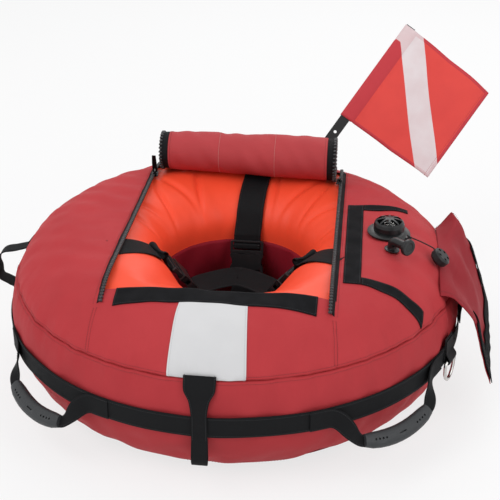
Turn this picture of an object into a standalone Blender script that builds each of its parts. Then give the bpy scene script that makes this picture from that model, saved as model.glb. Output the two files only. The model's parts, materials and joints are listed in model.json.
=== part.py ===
"""Round freediving buoy.

An inflatable ring in a sewn cover, with a zipped opening on top whose flap is rolled up at the back,
a webbing harness with three side-release buckles in the centre hole, a dump valve and an inflation
tube under a folded-back valve flap, carrying handles, a steel ring, and a flag on a flat pole.

Metres, +Z up. The origin is the middle of the flat bottom panel, and the front of the buoy is -Y.
An azimuth is measured round the ring from the front, positive towards +X.
"""

import math

import bmesh
import bpy
from mathutils import Matrix, Vector

# Ring and cover
COVER_RADIUS = 0.398          # widest radius of the cover, under the belt
BELT_HEIGHT = 0.135           # height of the widest line
CREST_RADIUS = 0.2625         # radius of the ring's highest line
CREST_HEIGHT = 0.293          # height of the cover's top
FLAT_RADIUS = 0.270           # radius where the ring's underside meets the ground
TOP_FULLNESS = 2.25           # superellipse exponent above the belt
BOTTOM_FULLNESS = 1.9         # superellipse exponent below the belt
TOP_SEAM_HEIGHT = 0.210       # seam between the top panel and the side wall
BOTTOM_SEAM_HEIGHT = 0.016    # seam between the side wall and the bottom panel
COVER_THICKNESS = 0.0014
SEAM_GAP = 0.0003             # clearance between pieces that touch
TRIM_LIFT = 0.0006            # trim sewn on the curved cover clears it by this much
AZIMUTH_STEP = math.radians(12.0)

# Bladder
THROAT_RADIUS = 0.131         # the centre hole at its narrowest
THROAT_HEIGHT = 0.205
THROAT_FULLNESS = 2.25
FRONT_FULLNESS = 1.06         # the centre strap pulls the front of the inner slope nearly straight
FRONT_PULL = math.radians(24.0)
PULL_FADE = math.radians(26.0)
BLADDER_GAP = 0.0022
FOOT_FULLNESS = 2.0
COLLAR_HEIGHT = 0.190         # top of the fabric wall inside the hole
COLLAR_FOOT = 0.006           # its lower edge

# Opening
OPENING_HALF_WIDTH = 0.190
OPENING_FRONT = 0.256         # distance of the front edge from the centre
OPENING_REAR = 0.245

# Zips
ZIP_FRONT = 0.283             # distance of a zip's front end from the centre
ZIP_REAR = 0.240
ZIP_TAPE_WIDTH = 0.016
ZIP_TAPE_OVERLAP = 0.004      # how far the tape lies on the cover
ZIP_TAPE_THICKNESS = 0.0008
ZIP_RISE = 0.0038             # the chain stands this far above the cover
ZIP_CHAIN_WIDTH = 0.0026
ZIP_CHAIN_HEIGHT = 0.0030
SLIDER_LENGTH = 0.015
SLIDER_WIDTH = 0.012
SLIDER_WALL = 0.0011
SLIDER_GAP = 0.0037           # height of the slider's channel
SLIDER_REST = 0.178           # where the sliders are parked, from the centre
SLIDER_CLEARANCE = 0.0004     # from the wedge to the chain
SLIDER_WEDGE = 0.0008         # half width of the wedge between the plates
BRIDGE_HALF_LENGTH = 0.0050
BRIDGE_FOOT = 0.0015
BRIDGE_BEAM = 0.0012
BRIDGE_HALF_WIDTH = 0.0012
PULL_LENGTH = 0.036
PULL_WIDTH = 0.009
PULL_THICKNESS = 0.0016
PULL_CLEARANCE = 0.0004
PULL_WINDOW = 0.0064          # far end of the pull's window from its pin bar
PULL_LEAN_LEFT = math.radians(80.0)
PULL_LEAN_RIGHT = math.radians(24.0)

# Flap rolled up behind the opening
ROLL_RADIUS = 0.0375
ROLL_CLOTH = 0.0030           # the flap and its lining
ROLL_PITCH = 0.0058           # growth of the roll's radius in a turn
ROLL_TURNS = 2.4
ROLL_STEPS_PER_TURN = 12
ROLL_LEFT_BACK = 0.222        # distance of the roll's axis behind the middle at its left end
ROLL_RIGHT_BACK = 0.196
ROLL_ZIP_WIDTH = 0.012
ROLL_END_CLEARANCE = 0.0010
FLAP_LAP = 0.012              # the flap's fixed edge is sewn on the cover over this width

# Velcro and white panels
VELCRO_THICKNESS = 0.0014
FRONT_VELCRO_HALF_LENGTH = 0.158
FRONT_VELCRO_WIDTH = 0.036
WHITE_THICKNESS = 0.0008
WHITE_HALF_WIDTH_INNER = 0.053
WHITE_HALF_WIDTH_OUTER = 0.060
WHITE_REAR_START = 0.262

# Valve side of the cover
VALVE_X = 0.267
VALVE_Y = -0.022
VALVE_FLANGE_RADIUS = 0.037
VALVE_SEAT = 0.0055           # top of the flange, where the dome stands
VALVE_NECK_RADIUS = 0.0235
VALVE_NECK_HEIGHT = 0.012     # above the cover
VALVE_WALL = 0.0025
VALVE_EAR_REACH = 0.006
VALVE_EAR_WIDTH = 0.011
VALVE_EAR_THICKNESS = 0.0032
VALVE_LEDGE_RADIUS = 0.0165
VALVE_LEDGE_HEIGHT = 0.0040
VALVE_FOOT = 0.0019           # the neck reaches this far into the cover's hole
GRILLE_SKIRT = 0.0085
GRILLE_WALL = 0.0022
GRILLE_DOME = 0.0125
GRILLE_SPOKES = 8
GRILLE_SPOKE_WIDTH = 0.0034
GRILLE_HUB_RADIUS = 0.0075
VALVE_DISC_RADIUS = 0.0185
VALVE_DISC_THICKNESS = 0.0020
SPRING_WIRE = 0.0010
SPRING_TURNS = 3.0
SPRING_BASE_RADIUS = 0.0120
SPRING_TOP_RADIUS = 0.0050
SPRING_POINTS_PER_TURN = 9
TUBE_X = 0.272
TUBE_Y = -0.086
TUBE_RADIUS = 0.0078
TUBE_WALL = 0.0016
TUBE_RISE = 0.0045            # straight stretch before the bend
TUBE_BEND = 0.0100            # radius of the bend
TUBE_LEAN = math.radians(88.0)
TUBE_HEADING = math.radians(42.0)  # azimuth that the bent tube points to
TUBE_REACH = 0.019            # straight stretch after the bend
TUBE_SPIGOT_RADIUS = 0.0062
TUBE_FLANGE_RADIUS = 0.0130
TUBE_FLANGE_HEIGHT = 0.0024
TUBE_BORE_DEPTH = 0.014
MOUTH_RADIUS = 0.0140
MOUTH_THICKNESS = 0.0075
MOUTH_STEM_RADIUS = 0.0056
MOUTH_TRAVEL = 0.004
HOLE_CLEARANCE = 0.0006

CORD_RADIUS = 0.0011
KNOB_X = 0.346
KNOB_Y = -0.064
KNOB_LIFT = 0.0030            # it lies across the sewn edge of the valve flap
KNOB_RADIUS = 0.0165
KNOB_THICKNESS = 0.017
KNOB_HOLES = 5
KNOB_HOLE_RADIUS = 0.0028

VALVE_VELCRO_SET_BACK = 0.0006 # from the zip tape to the wide strip
VALVE_VELCRO_WIDE = 0.028
VALVE_VELCRO_NARROW = 0.020
VALVE_VELCRO_FRONT = -0.208
VALVE_VELCRO_REAR = 0.086
VALVE_VELCRO_OUT_REAR = 0.301
VALVE_VELCRO_OUT_FRONT = 0.324

# Valve flap, folded open and hanging outside the cover
FLAP_FRONT = -0.128
FLAP_BACK = 0.112
FLAP_CLOTH = 0.0014
FLAP_FRONT_REACH = 0.451      # x and height of the free edge at the front
FLAP_FRONT_HANG = 0.068
FLAP_BACK_REACH = 0.462       # and at the back
FLAP_BACK_HANG = 0.088
FLAP_FOLD_DEPTH = 0.006       # soft folds down the hanging cloth
FLAP_FOLDS = 2.5
FLAP_VELCRO_ROWS = 2          # the edging's width, in rows of the cloth's grid
FLAP_FOLD_X = 0.354
FLAP_EDGING_TOP = 0.52        # share of the drop where the edging begins
FLAP_EDGING_LIFT = 0.0007

# Belt and webbing
BELT_WIDTH = 0.036
BELT_THICKNESS = 0.0016
WEBBING_THICKNESS = 0.0020
STRAP_X = -0.009              # the front strap lies a little left of the middle
STRAP_WIDE = 0.050
STRAP_NARROW = 0.025
STRAP_LOOP_HEIGHT = 0.068     # lowest point of the hanging loop
STRAP_LOOP_DEPTH = 0.010

# Carrying handles
HANDLE_WEBBING = 0.036
HANDLE_AZIMUTH = math.radians(43.7)
HANDLE_SPREAD = math.radians(16.8)
HANDLE_PATCH = math.radians(4.0)
GRIP_WEBBING = 0.019          # the webbing narrows to this width at the grip
HANDLE_DROP = math.radians(50.0)
HANDLE_REACH = 0.068          # from the hinge line to the grip's middle
GRIP_LENGTH = 0.138
GRIP_SAGITTA = 0.013          # how far the grip bows
GRIP_WIDTH = 0.028
GRIP_DEPTH = 0.020
GRIP_HOLES = 4
GRIP_HOLE_PITCH = 0.0066
GRIP_HOLE_RADIUS = 0.0019
GRIP_HOLE_DEPTH = 0.004
GRIP_HOLE_FIRST = 0.033       # from the grip's middle to the nearest hole
GRIP_SLOT_LENGTH = 0.014
GRIP_SLOT_WIDTH = 0.0022

# Webbing loops at the sides
LOOP_TOP_AZIMUTH = math.radians(95.0)
LOOP_LOW_AZIMUTH = math.radians(88.0)
LOOP_WIDTH = 0.030
LOOP_REACH_LEFT = 0.050       # how far a loop stands out of the belt
LOOP_REACH_RIGHT = 0.008

# Steel ring
RING_AZIMUTH = math.radians(68.5)
RING_WIRE = 0.0030            # radius
RING_INNER_WIDTH = 0.040
RING_HEIGHT = 0.046
TAB_WIDTH = 0.031
TAB_TOP = 0.168
TAB_FOLD = 0.126              # height of the ring's straight bar

# Flag
POLE_WIDTH = 0.020
POLE_THICKNESS = 0.0055
POLE_LENGTH = 0.316
POLE_START = 0.016            # from the foot point to the pole's lower end
POLE_HOLE_RADIUS = 0.0032
POLE_HOLE_AT = 0.078          # from the foot point
POLE_FOOT_X = 0.118           # where the pole's line meets the cover
POLE_FOOT_Y = 0.279
POLE_DIRECTION = (0.546, 0.426, 0.722)
FLAG_FACE = (0.094, -0.887, 0.452)  # the way the flag's face looks
POCKET_TOP = 0.042            # from the foot point to the pocket's mouth
POCKET_WALL = 0.0018
POCKET_PATCH = 0.040          # the pocket's sewn foot
FLAG_HOIST = 0.218
FLAG_FLY = 0.200
FLAG_CLOTH = 0.0016
FLAG_START = 0.112            # from the pole's foot to the flag's lower edge
FLAG_SAG = 0.012
FLAG_FOLD_DEPTH = 0.005
FLAG_FOLDS = 1.5

# Harness and buckles
HARNESS_WIDTH = 0.050
HARNESS_LIFT = 0.0016         # the wide straps clear the bladder's slope by this much
BUCKLE_WIDTH = 0.062
BUCKLE_WAIST = 0.0035
FEMALE_LENGTH = 0.040
FEMALE_THICKNESS = 0.0120
FEMALE_WALL = 0.0020
FEMALE_BAR = 0.0040
FEMALE_SLOT = 0.0056
BAR_THICKNESS = 0.0040
MALE_THICKNESS = 0.0070
MALE_INSERT = 0.026
MALE_ARM = 0.0075
MALE_BARB = 0.0037            # how far a barb stands out of its arm
MALE_GUIDE = 0.0070
MALE_FLANGE = 0.0060
LADDER_BAR = 0.0036
LADDER_SLOT = 0.0056
BUCKLE_CLEARANCE = 0.0004
WINDOW_LENGTH = 0.013
WINDOW_START = 0.008          # from the mouth
BACK_BUCKLE_X = 0.008         # the mouth of the back buckle
BACK_BUCKLE_Y = 0.108
BACK_BUCKLE_Z = 0.172
BACK_BUCKLE_LEAN = math.radians(10.0)
SIDE_BUCKLE_X = 0.099         # the mouths of the side buckles
SIDE_BUCKLE_Y = -0.047
SIDE_BUCKLE_Z = 0.215
SIDE_BUCKLE_DIP = math.radians(52.0)
SIDE_BUCKLE_TURN = math.radians(-32.0)
SIDE_BUCKLE_TILT = math.radians(6.0)
SIDE_STRAP_Y = -0.125
SIDE_STRAP_END = 0.1925        # where the side straps pass under the cover
BACK_STRAP_X = 0.022          # the back strap's upper end
BACK_STRAP_END = 0.242
BRIDGE_SHARES = (0.2, 0.4, 0.6, 0.8)  # stations where a strap turns from its buckle to the bladder's slope
BRIDGE_ARCH = 0.0105
SOCKET_TAIL = 0.004           # short end of the webbing round a female's bar
BRIDGE_EASE = 0.5
CROSS_HEIGHT = 0.1655
CROSS_BACK = 0.026
CROSS_SEAM = 0.0025           # straight end of each half at the middle seam
CENTRE_FRONT_END = 0.249

# Colours, linear RGB
RED = (0.52, 0.060, 0.068)
DARK_RED = (0.26, 0.010, 0.022)
ORANGE = (1.0, 0.095, 0.040)
WHITE = (0.72, 0.72, 0.73)
BLACK = (0.013, 0.014, 0.016)
WEB_BLACK = (0.010, 0.011, 0.012)
GREY = (0.048, 0.050, 0.054)
STEEL = (0.62, 0.61, 0.59)
FLAG_RED = (0.70, 0.075, 0.065)

FABRIC = {"roughness": 0.82}
RUBBERY = {"roughness": 0.45}
PLASTIC = {"roughness": 0.42}
METAL = {"roughness": 0.22, "metallic": 1.0}

LEFT, RIGHT = -1.0, 1.0
UP = Vector((0.0, 0.0, 1.0))


# Blender helpers

def clear_scene():
    """Remove every object that the file starts with."""
    for old in list(bpy.data.objects):
        bpy.data.objects.remove(old, do_unlink=True)


def finish(name, colour, roughness=0.5, metallic=0.0):
    """A Principled material for one sub-part."""
    material = bpy.data.materials.new(name)
    material.use_nodes = True
    shader = material.node_tree.nodes["Principled BSDF"]
    shader.inputs["Base Color"].default_value = (*colour, 1.0)
    shader.inputs["Roughness"].default_value = roughness
    shader.inputs["Metallic"].default_value = metallic
    material.diffuse_color = (*colour, 1.0)
    return material


def add_object(name, bm, colour, look, smooth=35.0):
    """Turn a bmesh into a named object with its own material."""
    bmesh.ops.recalc_face_normals(bm, faces=bm.faces)
    mesh = bpy.data.meshes.new(name)
    bm.to_mesh(mesh)
    bm.free()
    mesh.shade_smooth()
    mesh.set_sharp_from_angle(angle=math.radians(smooth))
    obj = bpy.data.objects.new(name, mesh)
    bpy.context.scene.collection.objects.link(obj)
    obj.data.materials.append(finish(name, colour, **look))
    return obj


def set_origin(obj, point, axes=None):
    """Move an object's origin to a point, with its local axes turned, and leave its shape in place."""
    frame = (axes or Matrix.Identity(3)).to_4x4()
    frame.translation = point
    obj.data.transform(frame.inverted())
    obj.matrix_world = frame
    return obj


def grid(rows, wrap_rows=False, wrap_columns=False, cap_ends=False, skip=None):
    """A bmesh of quads through rows of points; a wrapped direction closes on itself."""
    bm = bmesh.new()
    made = [[bm.verts.new(point) for point in row] for row in rows]
    count, width = len(made), len(made[0])
    for i in range(count if wrap_rows else count - 1):
        here, there = made[i], made[(i + 1) % count]
        for j in range(width if wrap_columns else width - 1):
            k = (j + 1) % width
            if skip is None or not skip(i, j):
                bm.faces.new((here[j], here[k], there[k], there[j]))
    if skip is not None:
        bmesh.ops.delete(bm, geom=[v for v in bm.verts if not v.link_faces], context="VERTS")
    if cap_ends:
        bm.faces.new(made[0])
        bm.faces.new(list(reversed(made[-1])))
    return bm


def strap_mesh(rows):
    """A closed strap through rows that each run across one face and back across the other.

    The two faces are split alike, so that they keep apart where the strap twists.
    """
    bm = bmesh.new()
    made = [[bm.verts.new(point) for point in row] for row in rows]
    width = len(made[0])
    for here, there in zip(made, made[1:]):
        for j in range(width):
            k = (j + 1) % width
            if j < width // 2:
                bm.faces.new((here[j], here[k], there[k]))
                bm.faces.new((here[j], there[k], there[j]))
            else:
                bm.faces.new((here[j], here[k], there[j]))
                bm.faces.new((here[k], there[k], there[j]))
    bm.faces.new(made[0])
    bm.faces.new(list(reversed(made[-1])))
    return bm


def sheet(name, rows, thickness, colour, look, outward=None, wrap_rows=False, centre=False, skip=None):
    """A cloth or webbing sheet through rows of points, thickened to one side.

    It grows away from the side that the rows give when outward is -1, and towards it when outward is 1.
    """
    bm = grid(rows, wrap_rows=wrap_rows, skip=skip)
    if centre:
        bm.verts.ensure_lookup_table()
        width = len(rows[0])
        bm.faces.new([bm.verts[i * width + width - 1] for i in reversed(range(len(rows)))])
    mesh = bpy.data.meshes.new(name)
    bm.to_mesh(mesh)
    bm.free()
    mesh.shade_smooth()
    obj = bpy.data.objects.new(name, mesh)
    bpy.context.scene.collection.objects.link(obj)
    obj.data.materials.append(finish(name, colour, **look))
    solid = obj.modifiers.new("thickness", "SOLIDIFY")
    solid.thickness = thickness
    solid.offset = outward if outward is not None else 1.0
    solid.use_even_offset = True
    return obj


def cutter(name, bm):
    """A hidden wire object that a Boolean takes away from another."""
    bmesh.ops.recalc_face_normals(bm, faces=bm.faces)
    mesh = bpy.data.meshes.new(name)
    bm.to_mesh(mesh)
    bm.free()
    obj = bpy.data.objects.new(name, mesh)
    bpy.context.scene.collection.objects.link(obj)
    obj.hide_render = True
    obj.display_type = "WIRE"
    return obj


def cut(obj, tool, operation="DIFFERENCE"):
    """Boolean one object by another."""
    boolean = obj.modifiers.new(tool.name, "BOOLEAN")
    boolean.operation = operation
    boolean.solver = "EXACT"
    boolean.object = tool
    return obj


def box_bm(low, high):
    """A box between two corners."""
    bm = bmesh.new()
    bmesh.ops.create_cube(bm, size=1.0)
    low, high = Vector(low), Vector(high)
    middle, size = (low + high) / 2.0, high - low
    bmesh.ops.scale(bm, vec=size, verts=bm.verts)
    bmesh.ops.translate(bm, vec=middle, verts=bm.verts)
    return bm


def join_bms(parts):
    """Several closed bodies in one bmesh, for cutters."""
    whole = bmesh.new()
    for part in parts:
        mesh = bpy.data.meshes.new("part")
        part.to_mesh(mesh)
        part.free()
        whole.from_mesh(mesh)
        bpy.data.meshes.remove(mesh)
    return whole


def lathe(profile, steps):
    """Turn an outline of (radius, height) points round Z; points on the axis become one point."""
    bm = bmesh.new()
    rings = []
    for radius, height in profile:
        if radius < 1e-6:
            rings.append([bm.verts.new((0.0, 0.0, height))])
            continue
        ring = []
        for i in range(steps):
            turn = 2.0 * math.pi * i / steps
            ring.append(bm.verts.new((radius * math.cos(turn), radius * math.sin(turn), height)))
        rings.append(ring)
    pairs = list(zip(rings, rings[1:]))
    if len(rings[0]) > 1:
        pairs.append((rings[-1], rings[0]))
    for first, second in pairs:
        for i in range(steps):
            k = (i + 1) % steps
            corners = [first[i % len(first)], first[k % len(first)]]
            corners += [second[k % len(second)], second[i % len(second)]]
            faces = [v for n, v in enumerate(corners) if v not in corners[:n]]
            if len(faces) > 2:
                bm.faces.new(faces)
    return bm


def plate(outline, low, high):
    """Extrude a flat outline of (x, y) points from one height to another."""
    bm = bmesh.new()
    base = bm.faces.new([bm.verts.new((x, y, low)) for x, y in outline])
    lifted = bmesh.ops.extrude_face_region(bm, geom=[base])["geom"]
    verts = [item for item in lifted if isinstance(item, bmesh.types.BMVert)]
    bmesh.ops.translate(bm, vec=(0.0, 0.0, high - low), verts=verts)
    return bm


def band(stations, width, thickness):
    """Webbing through stations of (point, across, up): its underside passes through the points."""
    rows = []
    widths = width if isinstance(width, list) else [width] * len(stations)
    for (point, across, up), here in zip(stations, widths):
        half = across.normalized() * (here / 2.0)
        lift = up.normalized() * thickness
        rows.append([point - half, point + half, point + half + lift, point - half + lift])
    return grid(rows, wrap_columns=True, cap_ends=True)


def frames_along(points, across, square=None):
    """Stations for a band: square to its way or, past the first few, along the given directions."""
    stations = []
    for i, point in enumerate(points):
        ahead = points[min(i + 1, len(points) - 1)] - points[max(i - 1, 0)]
        side = across[i] if isinstance(across, list) else across
        if square is None or i < square:
            side = side - ahead * side.dot(ahead) / ahead.length_squared
        side = side.normalized()
        stations.append((point, side, ahead.cross(side).normalized()))
    return stations


def smooth_path(points, steps):
    """Points spaced along a Catmull-Rom curve through the given ones."""
    ends = [2.0 * points[0] - points[1]] + list(points) + [2.0 * points[-1] - points[-2]]
    path = []
    for i in range(1, len(ends) - 2):
        a, b, c, d = ends[i - 1:i + 3]
        for k in range(steps):
            t = k / steps
            path.append(0.5 * (2.0 * b + (c - a) * t + (2.0 * a - 5.0 * b + 4.0 * c - d) * t * t
                               + (3.0 * b - a - 3.0 * c + d) * t ** 3))
    path.append(points[-1].copy())
    return path


# Shape of the ring

def around(azimuth, radius, height):
    """The point at an azimuth, a radius and a height."""
    return Vector((radius * math.sin(azimuth), -radius * math.cos(azimuth), height))


def quarter(centre, width, base, height, fullness, turn):
    """A point (radius, height) and its normal on a quarter superellipse, from its side up to its top."""
    c, s = math.cos(turn), math.sin(turn)
    u, v = max(c, 0.0) ** (2.0 / fullness), max(s, 0.0) ** (2.0 / fullness)
    normal = Vector((u ** (fullness - 1.0) / width, v ** (fullness - 1.0) / height))
    return Vector((centre + width * u, base + height * v)), normal.normalized()


def upper(turn, inset=0.0):
    """The cover's outline above the belt: turn 0 is the belt, a quarter turn the crest."""
    width = COVER_RADIUS - CREST_RADIUS
    point, normal = quarter(CREST_RADIUS, width, BELT_HEIGHT, CREST_HEIGHT - BELT_HEIGHT, TOP_FULLNESS, turn)
    return point - normal * inset


def lower(turn, inset=0.0):
    """The cover's outline below the belt: turn 0 is the belt, a quarter turn the flat bottom."""
    width = COVER_RADIUS - FLAT_RADIUS
    point, normal = quarter(FLAT_RADIUS, width, 0.0, BELT_HEIGHT, BOTTOM_FULLNESS, turn)
    point -= normal * inset
    return Vector((point.x, BELT_HEIGHT - point.y))


def upper_turn_at_height(height):
    """The turn at which the upper outline has a height."""
    share = (height - BELT_HEIGHT) / (CREST_HEIGHT - BELT_HEIGHT)
    return math.asin(share ** (TOP_FULLNESS / 2.0))


def lower_turn_at_height(height):
    """The turn at which the lower outline has a height."""
    share = (BELT_HEIGHT - height) / BELT_HEIGHT
    return math.asin(share ** (BOTTOM_FULLNESS / 2.0))


def upper_turn_at_radius(radius):
    """The turn at which the upper outline has a radius, for radii outside the crest."""
    share = (radius - CREST_RADIUS) / (COVER_RADIUS - CREST_RADIUS)
    return math.acos(min(max(share, 0.0), 1.0) ** (TOP_FULLNESS / 2.0))


def top_at(x, y, lift=0.0):
    """The point on the cover's top over (x, y), raised by a lift along its normal, and that normal."""
    radius = math.hypot(x, y)
    if radius <= CREST_RADIUS:
        return Vector((x, y, CREST_HEIGHT + lift)), UP.copy()
    width, height = COVER_RADIUS - CREST_RADIUS, CREST_HEIGHT - BELT_HEIGHT
    turn = upper_turn_at_radius(radius)
    point, normal = quarter(CREST_RADIUS, width, BELT_HEIGHT, height, TOP_FULLNESS, turn)
    outward = Vector((x / radius * normal.x, y / radius * normal.x, normal.y))
    return Vector((x, y, point.y)) + outward * lift, outward


def opening_radius(azimuth):
    """Distance from the centre to the edge of the rectangular opening at an azimuth."""
    side, ahead = abs(math.sin(azimuth)), math.cos(azimuth)
    reach = OPENING_FRONT if ahead > 0.0 else OPENING_REAR
    limits = []
    if side > 1e-9:
        limits.append(OPENING_HALF_WIDTH / side)
    if abs(ahead) > 1e-9:
        limits.append(reach / abs(ahead))
    return min(limits)


def ring_azimuths():
    """Azimuths round the ring, with one at each corner of the opening."""
    front = math.atan2(OPENING_HALF_WIDTH, OPENING_FRONT)
    rear = math.pi - math.atan2(OPENING_HALF_WIDTH, OPENING_REAR)
    corners = [-front, front, rear, 2.0 * math.pi - rear, 2.0 * math.pi - front]
    angles = []
    near = AZIMUTH_STEP * 0.4
    for start, end in zip(corners, corners[1:]):
        inner = end - start - 2.0 * near
        steps = 2 * max(1, round(inner / AZIMUTH_STEP / 2.0))
        angles += [start] + [start + near + inner * i / steps for i in range(steps + 1)]
    return angles


def slope_fullness(azimuth):
    """Superellipse exponent of the bladder's inner slope at an azimuth."""
    turned = abs(math.remainder(azimuth, 2.0 * math.pi))
    share = min(max((turned - FRONT_PULL) / PULL_FADE, 0.0), 1.0)
    eased = share * share * (3.0 - 2.0 * share)
    return FRONT_FULLNESS + (THROAT_FULLNESS - FRONT_FULLNESS) * eased


def bladder_slope(turn, lift=0.0, fullness=THROAT_FULLNESS):
    """A point (radius, height) on the bladder's inner slope: turn 0 is the throat, a quarter the crest."""
    top = CREST_HEIGHT - COVER_THICKNESS - BLADDER_GAP
    width = CREST_RADIUS - THROAT_RADIUS
    point, normal = quarter(0.0, width, 0.0, top - THROAT_HEIGHT, fullness, turn)
    point += normal * lift
    return Vector((CREST_RADIUS - point.x, THROAT_HEIGHT + point.y))


def bladder_foot(turn, lift=0.0):
    """A point on the bladder's inner wall below the throat: turn 0 is the throat, a quarter the bottom."""
    base = COVER_THICKNESS + BLADDER_GAP
    width = FLAT_RADIUS - THROAT_RADIUS
    point, normal = quarter(0.0, width, 0.0, THROAT_HEIGHT - base, FOOT_FULLNESS, turn)
    point += normal * lift
    return Vector((FLAT_RADIUS - point.x, THROAT_HEIGHT - point.y))


def foot_turn_at_height(height):
    """The turn at which the bladder's inner wall has a height below the throat."""
    share = (THROAT_HEIGHT - height) / (THROAT_HEIGHT - COVER_THICKNESS - BLADDER_GAP)
    return math.asin(share ** (FOOT_FULLNESS / 2.0))


# Ring and cover

QUARTER = math.pi / 2.0


def bladder_turns():
    """The turns at which the bladder's outline is sampled in each of its four quarters."""
    return [QUARTER * i / 5.0 for i in range(5)]


def build_bladder(azimuths):
    """The inflatable ring: it fills the cover and bulges into the hole."""
    inset = COVER_THICKNESS + BLADDER_GAP
    above = [upper(turn, inset) for turn in bladder_turns()]
    below = [bladder_foot(turn) for turn in bladder_turns()]
    below += [lower(QUARTER - turn, inset) for turn in bladder_turns()]
    rows = []
    for azimuth in azimuths:
        fullness = slope_fullness(azimuth)
        slope = [bladder_slope(QUARTER - turn, 0.0, fullness) for turn in bladder_turns()]
        rows.append([around(azimuth, p.x, p.y) for p in above + slope + below])
    bm = grid(rows, wrap_rows=True, wrap_columns=True)
    return add_object("bladder", bm, ORANGE, RUBBERY)


def build_cover_top(azimuths):
    """The top panel, from the edge of the opening out to the top seam, with holes for the valves."""
    seam = upper_turn_at_height(TOP_SEAM_HEIGHT)
    shared = math.hypot(OPENING_HALF_WIDTH, OPENING_FRONT) + 0.006
    shoulder = upper_turn_at_radius(shared)
    inside, outside = 4, 5
    rows = []
    for azimuth in azimuths:
        inner = opening_radius(azimuth)
        row = []
        for i in range(inside):
            radius = inner + (shared - inner) * i / inside
            row.append(top_at(*around(azimuth, radius, 0.0).xy)[0])
        for i in range(outside + 1):
            point = upper(shoulder + (seam - shoulder) * i / outside)
            row.append(around(azimuth, point.x, point.y))
        rows.append(row)
    obj = sheet("cover_top", rows, COVER_THICKNESS, RED, FABRIC, outward=-1.0, wrap_rows=True)
    low, high = CREST_HEIGHT - 0.03, CREST_HEIGHT + 0.03
    neck = lathe([(0.0, low), (VALVE_NECK_RADIUS + HOLE_CLEARANCE, low),
                  (VALVE_NECK_RADIUS + HOLE_CLEARANCE, high), (0.0, high)], 20)
    bmesh.ops.translate(neck, vec=(VALVE_X, VALVE_Y, 0.0), verts=neck.verts)
    tube = lathe([(0.0, low), (TUBE_SPIGOT_RADIUS + HOLE_CLEARANCE, low),
                  (TUBE_SPIGOT_RADIUS + HOLE_CLEARANCE, high), (0.0, high)], 12)
    bmesh.ops.translate(tube, vec=(TUBE_X, TUBE_Y, 0.0), verts=tube.verts)
    return cut(obj, cutter("valve_holes", join_bms([neck, tube])))


def build_cover_side(azimuths):
    """The side wall between the top and bottom seams, under the belt."""
    top = upper_turn_at_height(TOP_SEAM_HEIGHT)
    bottom = lower_turn_at_height(BOTTOM_SEAM_HEIGHT)
    outline = [upper(top * (1.0 - i / 3.0)) for i in range(3)]
    outline += [lower(bottom * i / 6.0) for i in range(7)]
    outline[0].y -= SEAM_GAP
    rows = [[around(a, p.x, p.y) for p in outline] for a in azimuths]
    return sheet("cover_side", rows, COVER_THICKNESS, RED, FABRIC, outward=-1.0, wrap_rows=True)


def build_cover_bottom(azimuths):
    """The bottom panel: flat on the ground, turned up at its edge to the bottom seam."""
    seam = lower_turn_at_height(BOTTOM_SEAM_HEIGHT)
    outline = [lower(seam + (QUARTER - seam) * i / 2.0) for i in range(3)]
    outline[0].y -= COVER_THICKNESS
    rows = [[around(a, p.x, p.y) for p in outline] for a in azimuths]
    return sheet("cover_bottom", rows, COVER_THICKNESS, DARK_RED, FABRIC, outward=-1.0, wrap_rows=True,
                 centre=True)


def build_inner_collar(azimuths):
    """The fabric wall that lines the hole below the bladder's bulge."""
    top, foot = foot_turn_at_height(COLLAR_HEIGHT), foot_turn_at_height(COLLAR_FOOT)
    turns = [top] + [t for t in bladder_turns() if top + 0.1 < t < foot - 0.1] + [foot]
    outline = [bladder_foot(turn, SEAM_GAP) for turn in turns]
    rows = [[around(a, p.x, p.y) for p in outline] for a in azimuths]
    return sheet("inner_collar", rows, COVER_THICKNESS, DARK_RED, FABRIC, outward=-1.0, wrap_rows=True)


def build_belt(azimuths):
    """The webbing sewn round the widest line."""
    inner = COVER_RADIUS + SEAM_GAP
    low, high = BELT_HEIGHT - BELT_WIDTH / 2.0, BELT_HEIGHT + BELT_WIDTH / 2.0
    corners = [(inner, low), (inner + BELT_THICKNESS, low), (inner + BELT_THICKNESS, high), (inner, high)]
    rows = [[around(a, r, z) for r, z in corners] for a in azimuths]
    return add_object("belt", grid(rows, wrap_rows=True, wrap_columns=True), WEB_BLACK, FABRIC)


# White panels, velcro and zips

def patch_rows(half_widths, start, end, steps, across=4):
    """Rows of points across a panel that runs from one distance behind or before the middle to the seam."""
    rows = []
    facing = -1.0 if end < 0.0 else 1.0
    first = upper_turn_at_radius(abs(start)) if abs(start) > CREST_RADIUS else QUARTER
    last = upper_turn_at_height(TOP_SEAM_HEIGHT + TRIM_LIFT)
    for i in range(steps + 1):
        turn = first + (last - first) * i / steps
        point = upper(turn)
        half = half_widths[0] + (half_widths[1] - half_widths[0]) * i / steps
        radius = max(point.x, abs(start)) if i == 0 else point.x
        row = []
        for j in range(across + 1):
            x = half * (2.0 * j / across - 1.0)
            y = facing * max(math.sqrt(radius * radius - x * x), abs(start))
            row.append(top_at(x, y, TRIM_LIFT)[0])
        rows.append(row)
    return rows


def build_white_panels():
    """The white stripe before and behind the opening."""
    widths = (WHITE_HALF_WIDTH_INNER, WHITE_HALF_WIDTH_OUTER)
    front = OPENING_FRONT + TRIM_LIFT + FRONT_VELCRO_WIDTH + SEAM_GAP
    rows = patch_rows(widths, -front, -1.0, 9)
    sheet("white_panel_front", rows, WHITE_THICKNESS, WHITE, FABRIC, outward=-1.0)
    rear = WHITE_REAR_START
    sheet("white_panel_rear", patch_rows(widths, rear, 1.0, 9), WHITE_THICKNESS, WHITE, FABRIC, outward=1.0)


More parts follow.
